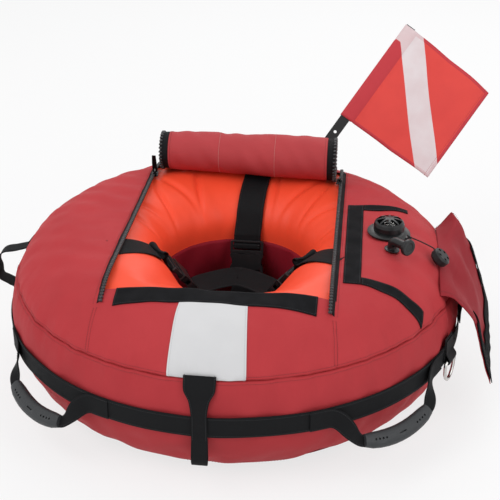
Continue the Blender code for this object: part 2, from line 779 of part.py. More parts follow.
def plan_strip(name, low, high, steps_x, steps_y, thickness, colour=BLACK):
    """A strip lying on the cover's top over a rectangle of the plan."""
    rows = []
    for i in range(steps_y + 1):
        y = low[1] + (high[1] - low[1]) * i / steps_y
        row = []
        for j in range(steps_x + 1):
            x = low[0] + (high[0] - low[0]) * j / steps_x
            row.append(top_at(x, y, TRIM_LIFT)[0])
        rows.append(row)
    return sheet(name, rows, thickness, colour, FABRIC, outward=1.0)


def build_velcro():
    """The strip before the opening and the three strips round the valve."""
    rear = -OPENING_FRONT - TRIM_LIFT
    half = FRONT_VELCRO_HALF_LENGTH
    plan_strip("velcro_front", (-half, rear - FRONT_VELCRO_WIDTH), (half, rear), 16, 3, VELCRO_THICKNESS)
    inner = OPENING_HALF_WIDTH + ZIP_TAPE_OVERLAP + VALVE_VELCRO_SET_BACK
    outer = inner + VALVE_VELCRO_WIDE
    plan_strip("valve_velcro_inner", (inner, VALVE_VELCRO_FRONT), (outer, VALVE_VELCRO_REAR), 3, 16,
               VELCRO_THICKNESS)
    narrow = outer + SEAM_GAP
    plan_strip("valve_velcro_rear", (narrow, VALVE_VELCRO_REAR - VALVE_VELCRO_NARROW),
               (VALVE_VELCRO_OUT_REAR, VALVE_VELCRO_REAR), 5, 2, VELCRO_THICKNESS)
    plan_strip("valve_velcro_front", (narrow, VALVE_VELCRO_FRONT),
               (VALVE_VELCRO_OUT_FRONT, VALVE_VELCRO_FRONT + VALVE_VELCRO_NARROW), 7, 2, VELCRO_THICKNESS)


def zip_line():
    """The x of the zip chains, measured from the middle."""
    return OPENING_HALF_WIDTH + ZIP_TAPE_OVERLAP - ZIP_TAPE_WIDTH


def build_zip(side, name):
    """A zip tape along one side of the opening, with its chain of teeth as a raised cord on its free edge."""
    steps = 24
    outer, inner = OPENING_HALF_WIDTH + ZIP_TAPE_OVERLAP, zip_line()
    half_chain = ZIP_CHAIN_WIDTH / 2.0
    rows = []
    for i in range(steps + 1):
        y = -ZIP_FRONT + (ZIP_FRONT + ZIP_REAR) * i / steps
        seat = top_at(outer, y, TRIM_LIFT)[0].z
        chain = top_at(inner, y)[0].z + ZIP_RISE
        tape_low, tape_high = chain - ZIP_TAPE_THICKNESS / 2.0, chain + ZIP_TAPE_THICKNESS / 2.0
        chain_low, chain_high = chain - ZIP_CHAIN_HEIGHT / 2.0, chain + ZIP_CHAIN_HEIGHT / 2.0
        section = [(outer, seat), (inner + half_chain, tape_low), (inner + half_chain, chain_low),
                   (inner - half_chain, chain_low), (inner - half_chain, chain_high),
                   (inner + half_chain, chain_high), (inner + half_chain, tape_high),
                   (outer, seat + ZIP_TAPE_THICKNESS)]
        rows.append([Vector((side * x, y, z)) for x, z in section])
    return add_object(f"zip_{name}", grid(rows, wrap_columns=True, cap_ends=True), BLACK, FABRIC)


def build_slider(side, name, lean):
    """A zip slider: two plates round the chain, joined by a wedge, with a bridge that holds the pull."""
    half_width, half_gap = SLIDER_WIDTH / 2.0, SLIDER_GAP / 2.0
    half_length, outer = SLIDER_LENGTH / 2.0, SLIDER_GAP / 2.0 + SLIDER_WALL
    offset = SLIDER_WEDGE + SLIDER_CLEARANCE + ZIP_CHAIN_WIDTH / 2.0
    centre = Vector((side * (zip_line() - offset), SLIDER_REST, CREST_HEIGHT + ZIP_RISE))
    nose = [(-half_width, -half_length), (half_width, -half_length), (half_width, half_length * 0.5),
            (half_width * 0.45, half_length), (-half_width * 0.45, half_length),
            (-half_width, half_length * 0.5)]
    pin_height = outer + PULL_CLEARANCE + PULL_THICKNESS * 0.71
    beam = pin_height + PULL_CLEARANCE + PULL_THICKNESS * 0.71
    reach, foot = BRIDGE_HALF_LENGTH, BRIDGE_HALF_LENGTH - BRIDGE_FOOT
    half_bridge = BRIDGE_HALF_WIDTH
    bury = SLIDER_WALL / 2.0
    pieces = [
        plate(nose, -outer, -half_gap),
        box_bm((-SLIDER_WEDGE, 0.0, -half_gap - bury), (SLIDER_WEDGE, half_length * 0.9, half_gap + bury)),
        box_bm((-half_bridge, -reach, outer - bury), (half_bridge, -foot, beam + BRIDGE_BEAM / 2.0)),
        box_bm((-half_bridge, foot, outer - bury), (half_bridge, reach, beam + BRIDGE_BEAM / 2.0)),
        box_bm((-half_bridge, -reach, beam), (half_bridge, reach, beam + BRIDGE_BEAM)),
    ]
    body = add_object(f"zip_slider_{name}", plate(nose, half_gap, outer), BLACK, METAL)
    body.location = centre
    for label, piece in zip(("plate", "wedge", "front", "rear", "beam"), pieces):
        tool = cutter(f"slider_{label}_{name}", piece)
        tool.location = centre
        cut(body, tool, "UNION")
    pull = build_pull(name)
    ahead = Vector((0.0, -math.cos(lean), math.sin(lean)))
    across = Vector((-1.0, 0.0, 0.0))
    frame = Matrix((across, ahead, across.cross(ahead))).transposed().to_4x4()
    frame.translation = centre + Vector((0.0, 0.0, pin_height))
    pull.matrix_world = frame


def build_pull(name):
    """The pull tab: its bar passes under the slider's bridge, and its origin is on that bar."""
    half, bar = PULL_WIDTH / 2.0, PULL_THICKNESS / 2.0
    outline = [(-half, -bar), (half, -bar), (half, PULL_LENGTH * 0.55), (half * 0.8, PULL_LENGTH),
               (-half * 0.8, PULL_LENGTH), (-half, PULL_LENGTH * 0.55)]
    pull = add_object(f"zip_pull_{name}", plate(outline, -bar, bar), BLACK, METAL)
    eye = BRIDGE_HALF_WIDTH + PULL_CLEARANCE
    window = cutter(f"pull_eye_{name}", box_bm((-eye, bar, -0.01), (eye, PULL_WINDOW, 0.01)))
    window.parent = pull
    return cut(pull, window)


# The rolled flap

def offset_outline(path, thickness):
    """The closed outline of a strip of even thickness along an open path of (x, y) points."""
    left, right = [], []
    for i, point in enumerate(path):
        before = (point - path[i - 1]).normalized() if i > 0 else None
        after = (path[i + 1] - point).normalized() if i < len(path) - 1 else None
        ahead = ((before or after) + (after or before)).normalized()
        side = Vector((-ahead.y, ahead.x))
        turn = max(abs(ahead.dot(after or before)), 0.5)
        left.append(point + side * (thickness / 2.0 / turn))
        right.append(point - side * (thickness / 2.0 / turn))
    return left + right[::-1]


def roll_path(x):
    """The flap's middle line at x, as (y, z) points: from the sewn edge, round the roll, to its core."""
    share = (x + roll_reach()) / (2.0 * roll_reach())
    back = ROLL_LEFT_BACK + (ROLL_RIGHT_BACK - ROLL_LEFT_BACK) * share
    middle = ROLL_RADIUS - ROLL_CLOTH / 2.0
    base = CREST_HEIGHT + TRIM_LIFT
    height = base + ROLL_RADIUS
    half = ROLL_CLOTH / 2.0
    path = []
    for y in (OPENING_REAR + FLAP_LAP, OPENING_REAR + FLAP_LAP / 2.0, OPENING_REAR):
        seat = top_at(x, y, TRIM_LIFT + SEAM_GAP + half)[0]
        path.append(Vector((y, seat.z)))
    path.append(Vector(((OPENING_REAR + back) / 2.0, base + half)))
    turns = int(ROLL_TURNS * ROLL_STEPS_PER_TURN)
    for i in range(turns + 1):
        turn = 2.0 * math.pi * i / ROLL_STEPS_PER_TURN
        radius = middle - ROLL_PITCH * turn / (2.0 * math.pi)
        angle = -QUARTER - turn
        path.append(Vector((back + radius * math.cos(angle), height + radius * math.sin(angle))))
    return path


def roll_reach():
    """Half the length of the roll with its zip edging, clear of the parked sliders."""
    offset = SLIDER_WEDGE + SLIDER_CLEARANCE + ZIP_CHAIN_WIDTH / 2.0
    return zip_line() - offset - SLIDER_WIDTH / 2.0 - ROLL_END_CLEARANCE


def build_roll():
    """The opening's flap, rolled up from its front edge, and the zip edging at its two ends."""
    reach = roll_reach()
    cloth = reach - ROLL_ZIP_WIDTH - SEAM_GAP
    rows = []
    for i in range(7):
        x = cloth * (2.0 * i / 6.0 - 1.0)
        rows.append([Vector((x, p.x, p.y)) for p in offset_outline(roll_path(x), ROLL_CLOTH)])
    add_object("cover_flap_roll", grid(rows, wrap_columns=True, cap_ends=True), RED, FABRIC, smooth=50.0)
    for side, name in ((LEFT, "left"), (RIGHT, "right")):
        rows = []
        start = cloth + SEAM_GAP
        edge = reach - ZIP_CHAIN_WIDTH
        for x, thickness in ((start, ZIP_TAPE_THICKNESS), (edge, ZIP_TAPE_THICKNESS),
                             (edge + 0.0001, ZIP_CHAIN_HEIGHT), (reach, ZIP_CHAIN_HEIGHT)):
            outline = offset_outline(roll_path(side * x), thickness)
            rows.append([Vector((side * x, p.x, p.y)) for p in outline])
        tape = grid(rows, wrap_columns=True, cap_ends=True)
        add_object(f"roll_zip_{name}", tape, BLACK, FABRIC, smooth=50.0)


# Valve, inflation tube, cord and knob

def follow_cover(x, y, angle, radius, lift):
    """A point on the cover, lifted straight up, at an angle and radius round (x, y)."""
    px, py = x + radius * math.cos(angle), y + radius * math.sin(angle)
    return Vector((px, py, top_at(px, py)[0].z + lift))


def build_valve():
    """The dump valve: flanged body with an ear, seal disc, spring, and the spoked dome over them."""
    steps = 28
    rows = []
    bore = VALVE_NECK_RADIUS - VALVE_WALL
    seat = VALVE_SEAT
    for i in range(steps):
        angle = 2.0 * math.pi * i / steps

        def level(radius, height):
            return Vector((VALVE_X + radius * math.cos(angle), VALVE_Y + radius * math.sin(angle),
                           CREST_HEIGHT + height))

        rows.append([
            level(VALVE_LEDGE_RADIUS, -VALVE_FOOT), level(VALVE_NECK_RADIUS, -VALVE_FOOT),
            follow_cover(VALVE_X, VALVE_Y, angle, VALVE_NECK_RADIUS, TRIM_LIFT),
            follow_cover(VALVE_X, VALVE_Y, angle, VALVE_FLANGE_RADIUS, TRIM_LIFT),
            follow_cover(VALVE_X, VALVE_Y, angle, VALVE_FLANGE_RADIUS, TRIM_LIFT + 0.0022),
            follow_cover(VALVE_X, VALVE_Y, angle, VALVE_FLANGE_RADIUS - 0.005, TRIM_LIFT + 0.0040),
            level(VALVE_NECK_RADIUS + 0.003, seat), level(VALVE_NECK_RADIUS, seat),
            level(VALVE_NECK_RADIUS, VALVE_NECK_HEIGHT), level(bore, VALVE_NECK_HEIGHT),
            level(bore, VALVE_LEDGE_HEIGHT), level(VALVE_LEDGE_RADIUS, VALVE_LEDGE_HEIGHT),
        ])
    body = add_object("valve_body", grid(rows, wrap_rows=True, wrap_columns=True), BLACK, RUBBERY)
    ear = ear_point()
    wide, deep = VALVE_EAR_WIDTH / 2.0, VALVE_EAR_THICKNESS / 2.0
    lug = lathe([(0.0, -deep), (wide, -deep), (wide, deep), (0.0, deep)], 14)
    bmesh.ops.translate(lug, vec=ear, verts=lug.verts)
    cut(body, cutter("valve_lug", lug), "UNION")
    hole_radius = CORD_RADIUS + 2.0 * HOLE_CLEARANCE
    hole = lathe([(0.0, -0.01), (hole_radius, -0.01), (hole_radius, 0.01), (0.0, 0.01)], 10)
    bmesh.ops.translate(hole, vec=ear, verts=hole.verts)
    cut(body, cutter("valve_lug_hole", hole))
    centre = Vector((VALVE_X, VALVE_Y, CREST_HEIGHT))
    build_grille(centre, seat + SEAM_GAP)
    disc_base = VALVE_LEDGE_HEIGHT + SEAM_GAP
    disc = lathe([(0.0, disc_base), (VALVE_DISC_RADIUS, disc_base),
                  (VALVE_DISC_RADIUS, disc_base + VALVE_DISC_THICKNESS * 0.6),
                  (VALVE_DISC_RADIUS - 0.0012, disc_base + VALVE_DISC_THICKNESS),
                  (0.0, disc_base + VALVE_DISC_THICKNESS)], 24)
    bmesh.ops.translate(disc, vec=centre, verts=disc.verts)
    set_origin(add_object("valve_disc", disc, GREY, RUBBERY), centre + Vector((0.0, 0.0, disc_base)))
    build_spring(centre, disc_base + VALVE_DISC_THICKNESS + SEAM_GAP)


def ear_point():
    """The middle of the valve's ear, on the flange towards the knob."""
    reach = VALVE_FLANGE_RADIUS + VALVE_EAR_REACH - VALVE_EAR_WIDTH / 2.0
    aim = Vector((KNOB_X - VALVE_X, KNOB_Y - VALVE_Y)).normalized() * reach
    seat = top_at(VALVE_X + aim.x * 0.94, VALVE_Y + aim.y * 0.94)[0].z
    return Vector((VALVE_X + aim.x, VALVE_Y + aim.y, seat + TRIM_LIFT + 0.0022))


def grille_levels(base):
    """Heights in the dome over the crest: skirt foot, shoulder, top and the hub's underside."""
    return base, base + GRILLE_SKIRT, base + GRILLE_SKIRT + GRILLE_DOME, \
        base + GRILLE_SKIRT + GRILLE_DOME - GRILLE_WALL


def build_grille(centre, base):
    """The dome: a skirt that screws on the neck, a hub, and windows between the spokes."""
    foot, shoulder, top, under = grille_levels(base)
    inner = VALVE_NECK_RADIUS + HOLE_CLEARANCE
    outer = inner + GRILLE_WALL
    dome = top - shoulder
    profile = [(inner, foot), (outer, foot), (outer, shoulder)]
    for i in range(1, 4):
        turn = QUARTER * i / 4.0
        profile.append((outer * math.cos(turn) ** 0.8, shoulder + dome * math.sin(turn)))
    profile += [(0.0, top), (0.0, under)]
    for i in range(3, 0, -1):
        turn = QUARTER * i / 4.0
        profile.append((inner * math.cos(turn) ** 0.8, shoulder + (dome - GRILLE_WALL) * math.sin(turn)))
    profile.append((inner, shoulder))
    bm = lathe(profile, 32)
    grille = add_object("valve_grille", bm, BLACK, RUBBERY)
    windows = []
    half = GRILLE_SPOKE_WIDTH / 2.0
    near, far = GRILLE_HUB_RADIUS, inner - 0.0016
    for i in range(GRILLE_SPOKES):
        turn = 2.0 * math.pi * (i + 0.5) / GRILLE_SPOKES
        spread = math.pi / GRILLE_SPOKES
        outline = []
        for radius, sign in ((near, -1.0), (far, -1.0), (far, 1.0), (near, 1.0)):
            angle = turn + sign * (spread - math.asin(half / radius))
            outline.append((radius * math.cos(angle), radius * math.sin(angle)))
        windows.append(plate(outline, shoulder - 0.001, top + 0.01))
    tool = cutter("grille_windows", join_bms(windows))
    cut(grille, tool)
    set_origin(grille, Vector((0.0, 0.0, 0.0)))
    grille.location = centre
    tool.location = centre


def build_spring(centre, base):
    """The conical spring between the seal disc and the dome's hub; its least gap to itself is printed."""
    top = grille_levels(VALVE_SEAT + SEAM_GAP)[3] - SEAM_GAP
    wire = SPRING_WIRE / 2.0
    count = int(SPRING_TURNS * SPRING_POINTS_PER_TURN)
    points = []
    for i in range(count + 1):
        share = i / count
        turn = 2.0 * math.pi * SPRING_TURNS * share
        radius = SPRING_BASE_RADIUS + (SPRING_TOP_RADIUS - SPRING_BASE_RADIUS) * share
        height = base + wire + (top - base - SPRING_WIRE) * share
        points.append(centre + Vector((radius * math.cos(turn), radius * math.sin(turn), height)))
    gaps = [(a - b).length - SPRING_WIRE for i, a in enumerate(points) for b in points[i + 5:]]
    print(f"spring: least gap to itself {min(gaps) * 1000.0:.2f} mm")
    wire_object("valve_spring", points, wire, STEEL, METAL, 1)


def wire_object(name, points, radius, colour, look, resolution):
    """A round cord or wire as a curve object through points."""
    curve = bpy.data.curves.new(name, "CURVE")
    curve.dimensions = "3D"
    curve.bevel_depth = radius
    curve.bevel_resolution = resolution
    curve.use_fill_caps = True
    spline = curve.splines.new("POLY")
    spline.points.add(len(points) - 1)
    for item, point in zip(spline.points, points):
        item.co = (*point, 1.0)
    spline.use_smooth = True
    obj = bpy.data.objects.new(name, curve)
    bpy.context.scene.collection.objects.link(obj)
    curve.materials.append(finish(name, colour, **look))
    return obj


def tube_path():
    """The inflation tube's middle line over the cover, and its direction at the end."""
    x, y = TUBE_X, TUBE_Y
    base = top_at(x, y)[0].z + TRIM_LIFT + TUBE_FLANGE_HEIGHT
    heading = Vector((math.sin(TUBE_HEADING), -math.cos(TUBE_HEADING), 0.0))
    start = Vector((x, y, base))
    points = [(start, UP.copy()), (start + UP * TUBE_RISE, UP.copy())]
    steps = 5
    for i in range(1, steps + 1):
        lean = TUBE_LEAN * i / steps
        point = start + UP * (TUBE_RISE + TUBE_BEND * math.sin(lean))
        point += heading * (TUBE_BEND * (1.0 - math.cos(lean)))
        points.append((point, UP * math.cos(lean) + heading * math.sin(lean)))
    point, ahead = points[-1]
    points.append((point + ahead * TUBE_REACH, ahead))
    return points


def build_tube():
    """The inflation tube and its push-down mouthpiece, which slides in the tube's end."""
    steps = 12
    heading = Vector((math.sin(TUBE_HEADING), -math.cos(TUBE_HEADING), 0.0))
    side = UP.cross(heading)
    path = tube_path()

    def ring(point, ahead, radius):
        other = ahead.cross(side)
        return [point + side * (radius * math.cos(t)) + other * (radius * math.sin(t))
                for t in (2.0 * math.pi * i / steps for i in range(steps))]

    def cover_ring(radius, lift):
        base = ring(Vector((TUBE_X, TUBE_Y, 0.0)), UP, radius)
        return [Vector((p.x, p.y, top_at(p.x, p.y)[0].z + lift)) for p in base]

    spigot = Vector((TUBE_X, TUBE_Y, top_at(TUBE_X, TUBE_Y)[0].z - COVER_THICKNESS - 0.0003))
    rows = [ring(spigot, UP, TUBE_SPIGOT_RADIUS), cover_ring(TUBE_SPIGOT_RADIUS, TRIM_LIFT),
            cover_ring(TUBE_FLANGE_RADIUS, TRIM_LIFT), cover_ring(TUBE_FLANGE_RADIUS, TRIM_LIFT + 0.0012),
            cover_ring(TUBE_RADIUS + 0.0015, TRIM_LIFT + TUBE_FLANGE_HEIGHT)]
    rows += [ring(point, ahead, TUBE_RADIUS) for point, ahead in path]
    end, ahead = path[-1]
    bore = TUBE_RADIUS - TUBE_WALL
    rows += [ring(end, ahead, bore), ring(end - ahead * TUBE_BORE_DEPTH, ahead, bore)]
    add_object("oral_tube", grid(rows, wrap_columns=True, cap_ends=True), BLACK, RUBBERY)
    gap = MOUTH_TRAVEL + SEAM_GAP
    head = [(0.0, -TUBE_BORE_DEPTH + gap + 0.001), (MOUTH_STEM_RADIUS, -TUBE_BORE_DEPTH + gap + 0.001),
            (MOUTH_STEM_RADIUS, gap), (MOUTH_RADIUS - 0.0015, gap), (MOUTH_RADIUS, gap + 0.0015),
            (MOUTH_RADIUS, gap + MOUTH_THICKNESS - 0.0015), (MOUTH_RADIUS - 0.0015, gap + MOUTH_THICKNESS),
            (MOUTH_RADIUS * 0.62, gap + MOUTH_THICKNESS),
            (MOUTH_RADIUS * 0.55, gap + MOUTH_THICKNESS - 0.0012),
            (0.0, gap + MOUTH_THICKNESS - 0.0012)]
    mouth = add_object("oral_mouthpiece", lathe(head, 24), BLACK, RUBBERY)
    frame = Matrix((side, ahead.cross(side), ahead)).transposed().to_4x4()
    frame.translation = end
    mouth.matrix_world = frame


def knob_frame():
    """The knob's matrix: lying on the cover, its face turned outwards along the slope."""
    seat, normal = top_at(KNOB_X, KNOB_Y, KNOB_LIFT)
    across = UP.cross(normal).normalized()
    frame = Matrix((across, normal.cross(across), normal)).transposed().to_4x4()
    frame.translation = seat
    return frame


def build_knob():
    """The pull knob with its ring of holes, and the cord from the valve's ear to it."""
    rounding = 0.003
    profile = [(0.0, 0.0005), (KNOB_RADIUS - rounding - 0.002, 0.0005), (KNOB_RADIUS - rounding, 0.001),
               (KNOB_RADIUS, rounding + 0.002), (KNOB_RADIUS, KNOB_THICKNESS - rounding),
               (KNOB_RADIUS - rounding, KNOB_THICKNESS), (0.0, KNOB_THICKNESS)]
    knob = add_object("pull_knob", lathe(profile, 24), BLACK, RUBBERY)
    holes = []
    for i in range(KNOB_HOLES):
        turn = 2.0 * math.pi * i / KNOB_HOLES
        middle = (KNOB_RADIUS * 0.62 * math.cos(turn), KNOB_RADIUS * 0.62 * math.sin(turn), 0.0)
        hole = lathe([(0.0, -0.01), (KNOB_HOLE_RADIUS, -0.01), (KNOB_HOLE_RADIUS, 0.03), (0.0, 0.03)], 10)
        bmesh.ops.translate(hole, vec=middle, verts=hole.verts)
        holes.append(hole)
    frame = knob_frame()
    tool = cutter("knob_holes", join_bms(holes))
    cut(knob, tool)
    knob.matrix_world = frame
    tool.matrix_world = frame
    normal = frame.col[2].to_3d()
    inward = Vector((VALVE_X - KNOB_X, VALVE_Y - KNOB_Y, 0.0))
    inward = (inward - normal * inward.dot(normal)).normalized()
    start = ear_point() - UP * 0.0008
    grip = frame.translation + normal * (KNOB_THICKNESS * 0.5)
    edge = grip + inward * (KNOB_RADIUS + SEAM_GAP)
    middle = (start + edge) / 2.0
    lift = top_at(middle.x, middle.y)[0].z + 0.010
    bend = Vector((middle.x, middle.y, max(middle.z, lift)))
    points = smooth_path([start, start + UP * 0.006, bend, edge + inward * 0.004, edge], 4)
    wire_object("valve_lanyard", points, CORD_RADIUS, BLACK, FABRIC, 2)


# Webbing and handles

def ring_radius(height):
    """Radius of the cover at a height, or of the belt where it lies."""
    half = BELT_WIDTH / 2.0 + SEAM_GAP
    if abs(height - BELT_HEIGHT) <= half:
        return COVER_RADIUS + SEAM_GAP + BELT_THICKNESS
    if height >= BELT_HEIGHT:
        return upper(upper_turn_at_height(min(height, CREST_HEIGHT - 0.001))).x
    return lower(lower_turn_at_height(max(height, 0.001))).x


def facet_share(azimuth, azimuths):
    """How far out the ring's flat facet lies at an azimuth, as a share of the radius at its corners."""
    full = 2.0 * math.pi
    turn = (azimuth - azimuths[0]) % full + azimuths[0]
    for low, high in zip(azimuths, azimuths[1:] + [azimuths[0] + full]):
        if low <= turn <= high:
            half = (high - low) / 2.0
            return math.cos(half) / math.cos(turn - low - half)
    return 1.0


def facet_corners(start, end, azimuths):
    """The azimuths from start to end, with each corner of the ring's facets that lies between."""
    full = 2.0 * math.pi
    low, high = min(start, end), max(start, end)
    turns = [low + (a - low) % full for a in azimuths]
    between = sorted(t for t in turns if low < t < high)
    found = [low] + between + [high]
    return found if start < end else found[::-1]


def clear_of_ring(point, gap, azimuths=None):
    """Push a point outwards until it clears the cover and the belt."""
    radius = math.hypot(point.x, point.y)
    share = facet_share(math.atan2(point.x, -point.y), azimuths) if azimuths else 1.0
    limit = ring_radius(point.z) * share + gap
    if radius >= limit:
        return point
    scale = limit / radius
    return Vector((point.x * scale, point.y * scale, point.z))


def wrapped_webbing(name, azimuth, path, width, thickness, colour=WEB_BLACK, across=3):
    """Webbing that follows the ring: a path of (radius, height, azimuth shift) thickened both ways."""
    outline = offset_outline([Vector((r, z)) for r, z, _ in path], thickness)
    shifts = [shift for _, _, shift in path]
    shifts += shifts[::-1]
    widths = width if isinstance(width, list) else [width] * len(path)
    widths = widths + widths[::-1]
    rows = []
    for j in range(across):
        share = j / (across - 1.0) - 0.5
        rows.append([around(azimuth + shift + share * wide / COVER_RADIUS, p.x, p.y)
                     for p, shift, wide in zip(outline, shifts, widths)])
    return add_object(name, grid(rows, wrap_columns=True, cap_ends=True), colour, FABRIC, smooth=50.0)


def build_front_strap():
    """The strap from the white panel over the belt, with a loop hanging at its lower end."""
    half = WEBBING_THICKNESS / 2.0
    over_panel = 2.0 * TRIM_LIFT + WHITE_THICKNESS + SEAM_GAP + half
    belt = COVER_RADIUS + SEAM_GAP + BELT_THICKNESS + TRIM_LIFT + half
    top = ring_radius(TOP_SEAM_HEIGHT + 0.008) + over_panel
    low = BELT_HEIGHT - BELT_WIDTH / 2.0
    loop = STRAP_LOOP_HEIGHT + half
    out = belt + STRAP_LOOP_DEPTH
    path = [(top, TOP_SEAM_HEIGHT + 0.008, 0.0), (ring_radius(0.196) + over_panel + 0.0006, 0.196, 0.0),
            (ring_radius(0.180) + over_panel + 0.0006, 0.180, 0.0),
            (belt, BELT_HEIGHT + BELT_WIDTH / 2.0 + 0.004, 0.0),
            (belt, BELT_HEIGHT, 0.0), (belt, low, 0.0), (belt + 0.004, low - 0.014, 0.0),
            (out - 0.002, loop + 0.016, 0.0), (out - 0.003, loop + 0.006, 0.0), (out - 0.007, loop, 0.0),
            (belt - 0.002, loop + 0.004, 0.0), (belt - 0.0045, loop + 0.014, 0.0),
            (belt - 0.0030, low - 0.012, 0.0), (belt - 0.0026, low - 0.003, 0.0)]
    widths = [STRAP_WIDE, STRAP_WIDE * 0.96, STRAP_NARROW * 1.3] + [STRAP_NARROW] * 11
    wrapped_webbing("front_strap", STRAP_X / COVER_RADIUS, path, widths, WEBBING_THICKNESS)


def build_side_loops():
    """The webbing loops from the top seam to the belt at the two sides."""
    half = WEBBING_THICKNESS / 2.0
    belt = COVER_RADIUS + SEAM_GAP + BELT_THICKNESS + TRIM_LIFT + half
    shift = LOOP_LOW_AZIMUTH - LOOP_TOP_AZIMUTH
    for side, name, reach in ((LEFT, "left", LOOP_REACH_LEFT), (RIGHT, "right", LOOP_REACH_RIGHT)):
        root = ring_radius(TOP_SEAM_HEIGHT + 0.010) + TRIM_LIFT + half
        flat = ring_radius(TOP_SEAM_HEIGHT - 0.002) + TRIM_LIFT + half
        path = [(root, TOP_SEAM_HEIGHT + 0.010, 0.0), (flat, TOP_SEAM_HEIGHT - 0.002, 0.0),
                (flat + reach * 0.42, 0.208 - reach * 0.1, 0.15), (flat + reach * 0.85, 0.200, 0.3),
                (flat + reach * 1.06, 0.188, 0.45), (flat + reach * 1.0, 0.174, 0.62),
                (belt + reach * 0.62, 0.161, 0.78), (belt + reach * 0.22, 0.153, 0.9),
                (belt, 0.146, 1.0), (belt, 0.124, 1.0)]
        path = [(r, z, side * shift * s) for r, z, s in path]
        wrapped_webbing(f"side_loop_{name}", side * LOOP_TOP_AZIMUTH, path, LOOP_WIDTH, WEBBING_THICKNESS)


def handle_frame(side):
    """A handle's hinge point, the direction along it, and the direction out of the ring."""
    middle = side * HANDLE_AZIMUTH
    out = around(middle, 1.0, 0.0)
    along = UP.cross(out)
    hinge = around(middle, (COVER_RADIUS + BELT_THICKNESS) * math.cos(HANDLE_SPREAD), BELT_HEIGHT)
    return hinge, along, out


def build_handles(azimuths):
    """The two carrying handles: moulded grips on webbing whose ends are sewn on the belt."""
    half = WEBBING_THICKNESS / 2.0
    seat = COVER_RADIUS + SEAM_GAP + BELT_THICKNESS
    for side, name in ((LEFT, "left"), (RIGHT, "right")):
        hinge, along, out = handle_frame(side)
        down = out * math.cos(HANDLE_DROP) - UP * math.sin(HANDLE_DROP)
        face = out * math.sin(HANDLE_DROP) + UP * math.cos(HANDLE_DROP)
        build_grip(f"grip_{name}", hinge, along, down, face)
        for end in (-1.0, 1.0):
            rear = end * side > 0.0
            points, across, ups = [], [], []
            first = side * HANDLE_AZIMUTH + end * (HANDLE_SPREAD + HANDLE_PATCH)
            last = side * HANDLE_AZIMUTH + end * HANDLE_SPREAD
            for azimuth in facet_corners(first, last, azimuths):
                facet = seat * facet_share(azimuth, azimuths)
                points.append(around(azimuth, facet + SEAM_GAP, BELT_HEIGHT))
                across.append(UP * -1.0)
                ups.append(around(azimuth, 1.0, 0.0))
            tip = hinge + along * (end * (GRIP_LENGTH / 2.0 + SEAM_GAP))
            tip += down * (HANDLE_REACH - GRIP_SAGITTA)
            tip -= face * half
            sewn = len(points)
            leave = points[-1]
            ahead = (points[-1] - points[-2]).normalized()
            into = (-along * end + down * (2.0 * GRIP_SAGITTA / (GRIP_LENGTH / 2.0))).normalized()
            span = (tip - leave).length
            for i in range(1, 7):
                t = i / 6.0
                a, b = (1.0 - t), t
                point = (leave * a ** 3 + (leave + ahead * span * 0.42) * 3.0 * a * a * b
                         + (tip - into * span * 0.30) * 3.0 * a * b * b + tip * b ** 3)
                ease = b * b * (3.0 - 2.0 * b)
                turn = HANDLE_DROP + (QUARTER - HANDLE_DROP) * (1.0 - ease)
                points.append(point)
                across.append(out * math.cos(turn) - UP * math.sin(turn))
                ups.append(out * math.sin(turn) + UP * math.cos(turn))
            rows = []
            for i, point in enumerate(points):
                before = points[max(i - 1, 0)]
                after = points[min(i + 1, len(points) - 1)]
                heading = (after - before).normalized()
                if i == len(points) - 1:
                    heading = into
                up = (ups[i] - heading * ups[i].dot(heading)).normalized()
                wide = heading.cross(up).normalized()
                if wide.dot(across[i]) < 0.0:
                    wide = -wide
                share = max(i + 1 - sewn, 0) / 6.0
                width = HANDLE_WEBBING + (GRIP_WEBBING - HANDLE_WEBBING) * share
                low, middle, high = [clear_of_ring(point + wide * shift, SEAM_GAP, azimuths)
                                     for shift in (-width / 2.0, 0.0, width / 2.0)]
                thick = up * WEBBING_THICKNESS
                rows.append([low, middle, high, high + thick, middle + thick, low + thick])
            label = f"handle_{name}_{'rear' if rear else 'front'}"
            add_object(label, strap_mesh(rows), WEB_BLACK, FABRIC, smooth=50.0)


